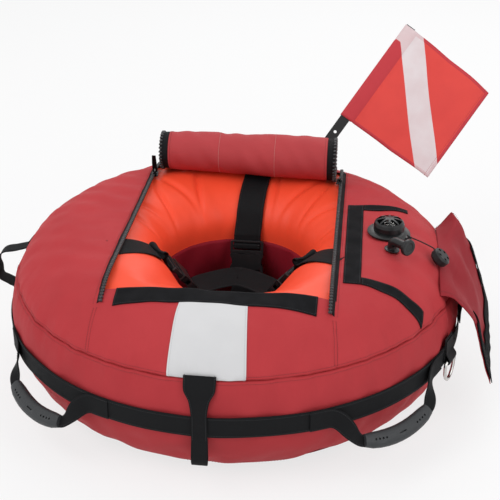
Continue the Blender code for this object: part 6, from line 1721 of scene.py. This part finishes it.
@dataclass
class Strap:
    """A flat strap: its middle line, the way across it and its width at each station."""

    centres: Array
    across: Array
    widths: Array
    thickness: float = 0.0020

    @classmethod
    def from_node(cls, node: str, near: Point) -> Strap:
        """Read a strap's stations, of four corners each, from its node's mesh.

        Args:
            node: The node's name.
            near: A point close to the strap's first station.

        Returns:
            The strap.
        """
        bm = merged(node)
        start = min(bm.verts, key=lambda v: (v.co - Vector(near)).length)
        stations = [np.array([tuple(v.co) for v in ring]) for ring in rings_after(strap_end(start))]
        bm.free()
        centres, across, widths = [], [], []
        for corners in stations:
            spread = corners - corners.mean(axis=0)
            way = np.linalg.svd(spread, full_matrices=False)[2][0]
            if across and way @ across[-1] < 0.0:
                way = -way
            centres.append(corners.mean(axis=0))
            across.append(way)
            widths.append(np.ptp(spread @ way))
        return cls(np.array(centres), np.array(across), np.array(widths))

    def smooth(self, steps: int) -> Strap:
        """A finer strap through the same stations, with this many new ones for each."""
        fine = curve_through(np.concatenate([self.centres, self.across, self.widths[:, None]], axis=1), steps)
        return Strap(fine[:, :3], unit(fine[:, 3:6]), fine[:, 6], self.thickness)

    def frames(self) -> tuple[Array, Array, Array]:
        """Ways along, across and out of the strap at each station."""
        ahead = unit(np.gradient(self.centres, axis=0))
        across = unit(self.across - ahead * np.sum(self.across * ahead, axis=-1, keepdims=True))
        return ahead, across, np.cross(ahead, across)

    def piece(self, name: str, material: Material, swell: float = 0.0) -> Piece:
        """The strap as a closed mesh with rounded edges.

        Args:
            name: The piece's name.
            material: Its webbing.
            swell: How much the cloth ripples, in metres.

        Returns:
            The new object.
        """
        _, across, up = self.frames()
        profile = [(-1.0, 0.0), (-0.98, 0.62), (-0.95, 1.0), (-0.6, 0.93), (-0.2, 1.0), (0.2, 0.96),
                   (0.6, 0.93), (0.95, 1.0), (0.98, 0.62), (1.0, 0.0)]
        outline = np.array(profile + [(u, -v) for u, v in profile[-2:0:-1]])
        middle = self.centres + up * (Ripple(0.05, 51)(self.centres) * swell)[:, None]
        side = outline[None, :, 0] * (self.widths / 2.0)[:, None]
        rise = outline[None, :, 1, None] * self.thickness / 2.0
        points = middle[:, None] + across[:, None] * side[..., None] + up[:, None] * rise
        along = np.broadcast_to(lengths_along(self.centres, 0)[:, None], side.shape)
        return self._closed(name, points, side, along, material)

    def _closed(self, name: str, points: Array, side: Array, along: Array, material: Material) -> Piece:
        """A mesh through the strap's outlines, closed at its two ends."""
        rows, columns = points.shape[:2]
        faces, corners = [], []
        for i in range(rows - 1):
            for j in range(columns):
                quad = [(i, j), (i, (j + 1) % columns), (i + 1, (j + 1) % columns), (i + 1, j)]
                faces.append([a * columns + b for a, b in quad])
                corners += quad
        for i, order in ((0, range(columns - 1, -1, -1)), (rows - 1, range(columns))):
            faces.append([i * columns + j for j in order])
            corners += [(i, j) for j in order]
        mesh = bpy.data.meshes.new(name)
        mesh.from_pydata(points.reshape(-1, 3).tolist(), [], faces)
        layer = mesh.uv_layers.new(name=CLOTH_UV)
        for loop, (i, j) in enumerate(corners):
            layer.data[loop].uv = (side[i, j], along[i, j])
        face_outwards(mesh)
        mesh.shade_smooth()
        mesh.set_sharp_from_angle(angle=math.radians(60.0))
        return new_object(name, mesh, material)

    def edge_lines(self, inset: float, end: float = 1.0) -> list[Pair]:
        """Lines for stitches on both faces, inside the two edges, as far as a share of the length."""
        _, across, up = self.frames()
        last = int(end * (len(self.centres) - 1)) + 1
        lines = []
        for edge in (-1.0, 1.0):
            shift = across * (edge * (self.widths / 2.0 - inset))[:, None]
            for face in (-1.0, 1.0):
                line = self.centres + shift + up * (face * (self.thickness / 2.0 + 0.0001))
                lines.append((line[:last], up[:last] * face))
        return lines


@dataclass
class Webbing:
    """Belt, front strap, side loops, handle webs and harness."""

    shop: Workshop
    belt_width: float = 0.036
    belt_thickness: float = 0.0016
    harness_width: float = 0.050
    strap_turn: float = -0.0226
    loop_turn: float = math.radians(95.0)
    loop_shift: float = math.radians(-7.0)
    loop_width: float = 0.030
    handle_turn: float = math.radians(43.7)
    handle_spread: float = math.radians(16.8)
    handle_patch: float = math.radians(4.0)
    handle_drop: float = math.radians(50.0)
    handle_reach: float = 0.068
    grip_length: float = 0.138
    grip_sagitta: float = 0.013
    grip_webbing: float = 0.019
    hinge_radius: float = 0.3825
    hinge_height: float = 0.135

    def build(self) -> None:
        """Make every strap."""
        self.belt_cloth = WovenWebbing("belt_webbing", self.belt_width / 2.0).make()
        self.wide_cloth = WovenWebbing("harness_webbing", self.harness_width / 2.0).make()
        self.narrow_cloth = WovenWebbing("narrow_webbing", 0.015).make()
        self._belt()
        self._front_strap()
        self._side_loops()
        self._harness()
        self._handles()
        for node in ("d_ring_tab", "pole_pocket"):
            cloth = Moulded(f"{node}_webbing", Tone.WEBBING, 0.72, 900.0, 0.0003).make()
            settle(refined_copy(node, cloth, 0.0003), "buoy", node)

    def _belt(self) -> None:
        """The belt round the widest line."""
        shop, ring = self.shop, self.shop.ring
        azimuth = np.linspace(-math.pi, math.pi, 360, endpoint=False)[:, None]
        inner, low = ring.cover_radius + 0.0003, -self.belt_width / 2.0
        outer, inset = inner + self.belt_thickness, 0.0034
        lower = [(inner, low), (outer - 0.0006, low), (outer, low + 0.0008), (outer - 0.0002, low * 0.5)]
        profile = np.array(lower + [(outer, 0.0)] + [(r, -z) for r, z in lower[::-1]])
        radius, height = profile[None, :, 0], profile[None, :, 1]
        ripple = 0.0007 * Ripple(0.09, 61)(around(azimuth, 0.4, 0.0)) * np.ones_like(height)
        points = around(azimuth, radius, ring.belt_height + height + ripple)
        lengths = (height + 0.0 * azimuth, azimuth * ring.cover_radius + 0.0 * height)
        obj = grid_piece("belt_band", points, self.belt_cloth, (True, True), lengths, flip=True)
        settle(obj, "buoy", "belt", "belt")
        fine = np.linspace(-math.pi, math.pi, 900)
        lines = [(around(fine, outer + 0.0001, ring.belt_height + level), around(fine, 1.0, 0.0))
                 for level in (low + inset, -low - inset)]
        shop.sew("belt_stitches", lines, shop.black_thread, "buoy", "belt")

    def _wrapped(self, azimuth: float, path: list[Point], widths: list[float]) -> Strap:
        """A smooth strap from (radius, height, azimuth shift) stations."""
        stations = np.array(path)
        turns = azimuth + stations[:, 2]
        centres = around(turns, stations[:, 0], stations[:, 1])
        across = np.stack([np.cos(turns), np.sin(turns), np.zeros_like(turns)], axis=-1)
        return Strap(centres, across, np.array(widths)).smooth(5)

    def _front_strap(self) -> None:
        """The strap from the white panel over the belt, and its hanging loop."""
        ring = self.shop.ring
        belt, out = ring.cover_radius + 0.0035, ring.cover_radius + 0.0135
        low, loop = ring.belt_height - 0.018, 0.069
        top = [(ring.radius_at(z) + over, z) for z, over in
               ((ring.top_seam + 0.008, 0.0033), (0.196, 0.0039), (0.180, 0.0039))]
        path = top + [(belt, 0.157), (belt, ring.belt_height), (belt, low), (belt + 0.004, low - 0.014),
                      (out - 0.002, loop + 0.016), (out - 0.003, loop + 0.006), (out - 0.007, loop),
                      (belt - 0.002, loop + 0.004), (belt - 0.0045, loop + 0.014),
                      (belt - 0.0030, low - 0.012), (belt - 0.0026, low - 0.003)]
        widths = [0.050, 0.048, 0.0325] + [0.025] * 11
        strap = self._wrapped(self.strap_turn, [(r, z, 0.0) for r, z in path], widths)
        settle(strap.piece("front_strap_webbing", self.narrow_cloth), "buoy", "front_strap", "front_strap")
        self.shop.sew("front_strap_stitches", strap.edge_lines(0.0024, 0.40), self.shop.black_thread, "buoy",
                      "front_strap")

    def _side_loops(self) -> None:
        """The webbing loops from the top seam to the belt at the two sides."""
        ring = self.shop.ring
        belt, top = ring.cover_radius + 0.0035, ring.top_seam + 0.010
        flat = ring.radius_at(ring.top_seam - 0.002) + 0.0016
        for side, reach in ((Side.LEFT, 0.050), (Side.RIGHT, 0.008)):
            path = [(ring.radius_at(top) + 0.0016, top, 0.0), (flat, ring.top_seam - 0.002, 0.0),
                    (flat + reach * 0.42, 0.208 - reach * 0.1, 0.15), (flat + reach * 0.85, 0.200, 0.3),
                    (flat + reach * 1.06, 0.188, 0.45), (flat + reach * 1.0, 0.174, 0.62),
                    (belt + reach * 0.62, 0.161, 0.78), (belt + reach * 0.22, 0.153, 0.9),
                    (belt, 0.146, 1.0), (belt, 0.124, 1.0)]
            path = [(r, z, side.value * self.loop_shift * share) for r, z, share in path]
            label = f"side_loop_{side.label}"
            strap = self._wrapped(side.value * self.loop_turn, path, [self.loop_width] * len(path))
            settle(strap.piece(f"{label}_webbing", self.narrow_cloth), "buoy", label, label)

    def _harness(self) -> None:
        """The wide straps in the hole and the webbing that they buckle to."""
        middle = (0.0, 0.026, 0.166)
        plan = {"harness_strap_back": ((0.022, 0.242, 0.295), "plug_back"),
                "harness_strap_left": ((-0.1925, -0.125, 0.290), None),
                "harness_strap_right": ((0.1925, -0.125, 0.290), None),
                "harness_cross_left": (middle, "socket_left"),
                "harness_cross_right": (middle, "socket_right"),
                "harness_centre": ((0.0, -0.249, 0.287), None)}
        for node, (near, beyond) in plan.items():
            strap = Strap.from_node(node, near).smooth(4)
            bend = Bend(beyond, tuple(strap.centres[0]), tuple(strap.centres[-3])) if beyond else None
            obj = strap.piece(f"{node}_webbing", self.wide_cloth)
            settle(obj, "buoy", node, node, bend=bend)
            self.shop.sew(f"{node}_stitches", strap.edge_lines(0.0030), self.shop.black_thread, "buoy", node,
                          0.0046, bend)

    def _handles(self) -> None:
        """The webbing at each end of the two handles, which bends at the hinge line."""
        for side in Side:
            turn = side.value * self.handle_turn
            hinge = around(turn, self.hinge_radius, self.hinge_height)
            down = around(turn, math.cos(self.handle_drop), -math.sin(self.handle_drop))
            label = side.label
            bend = Bend(f"handle_grip_{label}", tuple(hinge + down * 0.012), tuple(hinge + down * 0.036))
            for end in (-1.0, 1.0):
                node = f"handle_{label}_{'rear' if end == side.value else 'front'}"
                strap = self._handle_web(turn, end, hinge, down)
                obj = strap.piece(f"{node}_webbing", self.belt_cloth, 0.0004)
                settle(obj, "buoy", node, node, bend=bend)
                self.shop.sew(f"{node}_stitches", strap.edge_lines(0.0026), self.shop.black_thread, "buoy",
                              node, bend=bend)

    def _handle_web(self, turn: float, end: float, hinge: Array, down: Array) -> Strap:
        """One web, from its patch on the belt to the grip.

        Args:
            turn: Azimuth of the handle's middle.
            end: 1 for the end with the greater azimuth, otherwise -1.
            hinge: Middle of the line that the handle turns on.
            down: The way that the grip hangs.

        Returns:
            The web as a strap.
        """
        ring = self.shop.ring
        seat = ring.cover_radius + 0.0006 + self.belt_thickness + 0.0010
        sewn = around(np.linspace(turn + end * (self.handle_spread + self.handle_patch),
                                  turn + end * self.handle_spread, 8), seat, ring.belt_height)
        along = np.array((math.cos(turn), math.sin(turn), 0.0)) * end
        out, low = self.grip_length / 2.0 + 0.0003, self.handle_reach - self.grip_sagitta
        tip = hinge + along * out + down * low
        into = unit(down * (4.0 * self.grip_sagitta / self.grip_length) - along)
        leave, ahead = sewn[-1], unit(sewn[-1] - sewn[-2])
        span = float(np.linalg.norm(tip - leave))
        t = np.linspace(0.0, 1.0, 26)[1:, None]
        free = (leave * (1.0 - t) ** 3 + (leave + ahead * span * 0.42) * 3.0 * (1.0 - t) ** 2 * t
                + (tip - into * span * 0.30) * 3.0 * (1.0 - t) * t * t + tip * t ** 3)
        lean = self.handle_drop + (math.pi / 2.0 - self.handle_drop) * (1.0 - eased(t))
        across = around(turn, np.cos(lean[:, 0]), -np.sin(lean[:, 0]))
        upright = np.broadcast_to(np.array((0.0, 0.0, -1.0)), sewn.shape)
        widths = np.concatenate([np.full(len(sewn), self.belt_width),
                                 self.belt_width + (self.grip_webbing - self.belt_width) * t[:, 0]])
        return Strap(np.concatenate([sewn, free]), np.concatenate([upright, across]), widths)


@dataclass
class Flag:
    """The dive flag on its flat pole."""

    shop: Workshop
    foot: Point = (0.118, 0.279, 0.28829)
    pole_way: Point = (0.546, 0.426, 0.722)
    cloth_face: Point = (0.094, -0.887, 0.452)
    rows: int = 44
    hem: float = 0.0060
    pole_half: float = 0.010
    pole_deep: float = 0.00275
    hoist: float = 0.218
    fly: float = 0.200
    cloth: float = 0.0016
    start: float = 0.112
    sag: float = 0.012
    fold: float = 0.005
    folds: float = 1.5

    def build(self) -> None:
        """Make the flag and finish the pole."""
        shop = self.shop
        along = unit(np.array(self.pole_way))
        face = np.array(self.cloth_face)
        face = unit(face - along * (face @ along))
        out = np.cross(along, face)
        hoists = np.linspace(0.0, 1.0, self.rows)
        rows, maps = [], []
        for share in hoists:
            path, fly = self._section(share)
            height = self.start + self.hoist * share - path[:, 1:2]
            rows.append(np.array(self.foot) + out * path[:, :1] + along * height + face * path[:, 2:])
            maps.append(fly)
        points, across = np.stack(rows), np.stack(maps)
        up = np.broadcast_to((hoists * self.hoist)[:, None], across.shape)
        material = FlagCloth("flag_cloth", self.fly, self.hoist, 0.0175, 0.0235).make()
        obj = grid_piece("flag_sheet", points, material, lengths=(across, up), thickness=0.0008, flip=True)
        obj.modifiers["wall"].offset = 0.0
        settle(obj, "flag_set", "flag", "flag")
        wrap = 2.0 * (self.pole_half + self.pole_deep) + 0.024
        self.fly + wrap
        lines = []
        for level in (self.hem / self.hoist, 1.0 - self.hem / self.hoist):
            line = points[int(round(level * (self.rows - 1))), 10:]
            lines.append((line, np.broadcast_to(face, line.shape)))
        line = points[:, -4] + face * 0.0005
        lines.append((line, np.broadcast_to(face, line.shape)))
        shop.sew("flag_stitches", lines, Thread("flag_thread", Tone.FLAG_HEM).make(), "flag_set", "flag")
        pole = refined_copy("flag_pole", Moulded("pole_plastic", Tone.PLASTIC, 0.55).make(), 0.0003)
        settle(pole, "flag_set", "flag_pole")

    def _section(self, hoist: float) -> Pair:
        """One line of the cloth, round the pole and out along the fly.

        Args:
            hoist: The line's share of the height, from the flag's lower edge.

        Returns:
            Rows of (out, drop, towards the face), and the map's length along the fly at each.
        """
        gap = 0.0005 + self.cloth / 2.0
        out, up, half = self.pole_half + gap, self.pole_deep + gap, self.pole_half
        start = half + 0.011
        wrap = [(out + 0.002, -up), (0.0, -up), (-out + 0.0015, -up), (-out, -up + 0.0015),
                (-out, up - 0.0015), (-out + 0.0015, up), (0.0, up), (half - 0.001, up),
                (half + 0.004, up - 0.0009), (start, 0.0)]
        shares = np.linspace(0.0, 1.0, 60)[1:]
        still = np.zeros_like(shares)
        swing = np.sin(2.0 * math.pi * self.folds * shares + 0.9 * hoist)
        fine = 0.0006 * Ripple(0.05, 71)(np.stack([shares * 0.2, still + hoist * 0.2, still], axis=-1))
        away = self.fold * swing * np.minimum(shares * 2.0, 1.0) + fine * np.minimum(shares * 3.0, 1.0)
        drop = self.sag * shares ** 1.4 * hoist
        free = np.stack([start + (self.fly - start) * shares, drop, away], axis=-1)
        path = np.concatenate([[(x, 0.0, z) for x, z in wrap], free])
        return path, np.concatenate([np.full(5, 0.004), np.maximum(path[5:, 0], 0.0)])


@dataclass
class ValveFlap:
    """The flap over the valve, folded open so that it hangs outside, with its edging."""

    shop: Workshop
    front: float = -0.128
    back: float = 0.112
    cloth: float = 0.0014
    depth: float = 0.006
    folds: float = 2.5
    fold_x: float = 0.354
    edging_top: float = 0.52
    edging: float = 0.0014
    belt_reach: float = 0.0185
    front_path: tuple = ((0.384, 0.2200), (0.412, 0.1840), (0.428, 0.1350), (0.451, 0.068))
    back_path: tuple = ((0.384, 0.2740), (0.409, 0.2290), (0.436, 0.1670), (0.462, 0.088))

    def build(self) -> None:
        """Make the hanging cloth and the edging."""
        shop = self.shop
        share = np.linspace(0.0, 1.0, 72)[:, None]
        drop = share.T
        points = self.surface(share, drop)
        # The flap's colour is a darkened red: painted shade for its hanging part.
        material = WovenNylon("valve_flap_cloth", Tone.FLAP_RED, mottle=0.2, crease_depth=0.0024).make()
        obj = grid_piece("valve_flap_cloth", points, material, thickness=self.cloth)
        obj.modifiers["wall"].offset = 1.0
        bend = Bend("flap_edging", (0.356, -0.008, 0.250), (0.395, -0.008, 0.215))
        settle(obj, "buoy", "valve_flap", "valve_flap", bend=bend)
        self._edging()
        normal = self._normal(share, drop)
        lifted = points + normal * (self.cloth + 0.0001)
        sewn = [(lifted[row], normal[row]) for row in (2, -3)]
        shop.sew("valve_flap_stitches", sewn, shop.dark_thread, "buoy", "valve_flap", bend=bend)

    def surface(self, share: Array, drop: Array) -> Array:
        """Points of the hanging cloth: share runs from front to back, drop from the sewn line down."""
        ends = []
        for height, corners in ((0.2405, self.front_path), (0.2600, self.back_path)):
            path = curve_through(np.array([(self.fold_x, height), *corners]), 8)
            index = np.arange(len(path))
            ends.append([np.interp(drop * index[-1], index, path[:, k]) for k in (0, 1)])
        ease = eased(share)
        x, z = (near * (1.0 - ease) + far * ease for near, far in zip(*ends))
        y = self.front + (self.back - self.front) * share + np.where(share < 0.5, -0.004, 0.004) * drop
        ring = self.shop.ring
        seat = ring.top_height(np.hypot(self.fold_x, y)) + ring.trim_lift
        hold = np.maximum(0.0, 1.0 - drop * 4.0)
        z = z * (1.0 - hold) + seat * hold
        swing = np.sin(math.pi * np.minimum(drop * 1.15, 1.0))
        x = x + self.depth * np.sin(2.0 * math.pi * self.folds * share + 0.6) * swing
        points = np.stack(np.broadcast_arrays(x, y, z), axis=-1)
        points[..., 0] += 0.0009 * Ripple(0.035, 81)(points) * np.minimum(drop * 3.0, 1.0)
        return self._clear(points, drop)

    def _clear(self, points: Array, drop: Array) -> Array:
        """Push points out of the ring and the belt."""
        ring = self.shop.ring
        radius = np.hypot(points[..., 0], points[..., 1])
        heights = np.linspace(0.02, ring.crest_height - 0.001, 240)
        table = np.array([ring.radius_at(h) for h in heights])
        limit = np.interp(points[..., 2], heights, table)
        on_belt = np.abs(points[..., 2] - ring.belt_height) < self.belt_reach
        limit = np.where(on_belt, ring.cover_radius + 0.002, limit)
        limit = limit + 0.004 * np.minimum(drop * 6.0, 1.0) + ring.trim_lift
        scale = np.maximum(limit / radius, 1.0)
        points[..., 0] *= scale
        points[..., 1] *= scale
        return points

    def _normal(self, share: Array, drop: Array) -> Array:
        """The cloth's outward normals."""
        step = 0.01
        ahead, behind = np.minimum(share + step, 1.0), np.maximum(share - step, 0.0)
        along = self.surface(ahead, drop) - self.surface(behind, drop)
        lower, upper = np.minimum(drop + step, 1.0), np.maximum(drop - step, 0.0)
        down = self.surface(share, lower) - self.surface(share, upper)
        return unit(np.cross(down, along))

    def _edging(self) -> None:
        """The hook-and-loop border on the lower part: two sides and the free edge."""
        width = 2.0 / 12.0
        top, foot, inner = self.edging_top, 0.997, 1.0 - 2.0 * (1.0 - self.edging_top) / 8.0
        left, right = 0.004, 0.996
        stations = [((left, drop), (width, drop)) for drop in np.linspace(top, inner, 24, endpoint=False)]
        stations.append(((left, foot), (width, inner)))
        stations += [((share, foot), (share, inner)) for share in np.linspace(width, 1.0 - width, 40)[1:]]
        stations.append(((right, foot), (1.0 - width, inner)))
        stations += [((right, drop), (1.0 - width, drop)) for drop in np.linspace(inner, top, 24)]
        ways = np.linspace(0.0, 1.0, 7)[None, :, None]
        ends = np.array(stations)
        grid = ends[:, :1] * (1.0 - ways) + ends[:, 1:] * ways
        share, drop = grid[..., 0], grid[..., 1]
        normal = self._normal(share, drop)
        points = self.surface(share, drop) + normal * (self.cloth + 0.0004 + self.edging)
        obj = grid_piece("valve_flap_edging", points, self.shop.hook_tape, thickness=self.edging)
        face_outwards(obj.data)
        settle(obj, "flap_edging", "valve_flap_velcro", "valve_flap_velcro")


@dataclass
class Fittings:
    """The rigid fittings: buckles, grips, valve, tube, knob, ring and zip sliders."""

    shop: Workshop
    disc_rise: float = 0.003

    def build(self, bodies: dict[str, str]) -> None:
        """Refine each fitting's node and give it its finish.

        Args:
            bodies: The body of each node.
        """
        # The buckle plastic is lighter than the other black plastic: partly painted highlight.
        buckle = Moulded("buckle_plastic", Tone.BUCKLE, 0.36).make()
        grip = Moulded("grip_rubber", Tone.GRIP, 0.50, 1100.0, 0.00012).make()
        valve = Moulded("valve_plastic", Tone.PLASTIC, 0.36).make()
        knob = Moulded("knob_rubber", Tone.TRIM, 0.46).make()
        enamel = Moulded("slider_enamel", Tone.TRIM, 0.30, metal=0.6).make()
        steel = PolishedSteel("polished_steel").make()
        seal = Moulded("seal_rubber", Tone.GRIP, 0.55).make()
        chosen = {}
        for node in bodies:
            if node.startswith("buckle_"):
                chosen[node] = (buckle, 0.0005, 34.0)
            elif node.startswith("zip_slider") or node.startswith("zip_pull"):
                chosen[node] = (enamel, 0.0003, 34.0)
        chosen["grip_left"] = chosen["grip_right"] = (grip, 0.0005, 50.0)
        chosen["valve_body"] = chosen["valve_grille"] = (valve, 0.0004, 38.0)
        chosen["oral_tube"] = chosen["oral_mouthpiece"] = (valve, 0.0004, 40.0)
        chosen["pull_knob"] = (knob, 0.0005, 36.0)
        chosen["d_ring"] = (steel, 0.0, 60.0)
        chosen["valve_disc"] = (seal, 0.0003, 36.0)
        for node, (material, edge, angle) in chosen.items():
            obj = refined_copy(node, material, edge, angle)
            settle(obj, bodies[node], node)
        self._spring(steel)

    def _spring(self, steel: Material) -> None:
        """The cone spring, as a refined copy with a mesh of its own."""
        obj = refined_copy("valve_spring", steel, 0.0, 60.0)
        settle(obj, "buoy", "valve_spring")
        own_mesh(obj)


@dataclass
class Lanyard:
    """The thin cord from the valve's ear to the pull knob."""

    shop: Workshop
    radius: float = 0.0011
    valve_end: Point = (*VALVE, 0.300)

    def build(self) -> None:
        """Follow the node's own middle line with a smooth round cord."""
        line = self._middle()
        data = bpy.data.curves.new("lanyard", "CURVE")
        data.dimensions = "3D"
        spline = data.splines.new("POLY")
        spline.points.add(len(line) - 1)
        for point, at in zip(spline.points, line):
            point.co = (*at, 1.0)
        data.bevel_depth = self.radius
        data.bevel_resolution = 3
        data.use_fill_caps = True
        data.materials.append(Moulded("cord_braid", Tone.TRIM, 0.7, 2400.0, 0.0002).make())
        cord = bpy.data.objects.new("lanyard_cord", data)
        bpy.context.scene.collection.objects.link(cord)
        settle(cord, "buoy", "valve_lanyard", "valve_lanyard")

    def _middle(self) -> Array:
        """The middle line of the cord's node, read ring by ring from the valve."""
        bm = merged("valve_lanyard")
        start = min(bm.verts, key=lambda v: (v.co - Vector(self.valve_end)).length)
        faces = list(start.link_faces)
        flat = [f for f in faces if sum(g.normal.dot(f.normal) > 0.999 for g in faces) > 1]
        cap = flat[-1] if flat else min(faces, key=lambda f: f.calc_area())
        first = [v for v in bm.verts if (v.co - start.co).length < 2.0 * self.radius + 0.0001
                 and abs((v.co - start.co).dot(cap.normal)) < 0.00005]
        line = [tuple(sum((v.co for v in ring), Vector()) / len(ring)) for ring in rings_after(first)]
        bm.free()
        return np.array(line)


def body_of_nodes(record: dict) -> dict[str, str]:
    """The body of each node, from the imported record."""
    return {node: body for body, nodes in record["behaviour"]["bodies"].items() for node in nodes}


def main() -> None:
    """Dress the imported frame."""
    logging.basicConfig(level=logging.INFO, format="%(name)s: %(message)s")
    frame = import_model()
    Studio().build()
    shop = Workshop()
    bodies = body_of_nodes(frame["record"])
    Fittings(shop).build(bodies)
    Lanyard(shop).build()
    Cover(shop).build()
    Bladder(shop).build()
    Trim(shop).build()
    FlapRoll(shop).build()
    Webbing(shop).build()
    Flag(shop).build()
    ValveFlap(shop).build()
    for copy in (shop.stitch, shop.tooth, shop.coarse_tooth):
        bpy.data.objects.remove(copy)


if __name__ == "__main__":
    main()
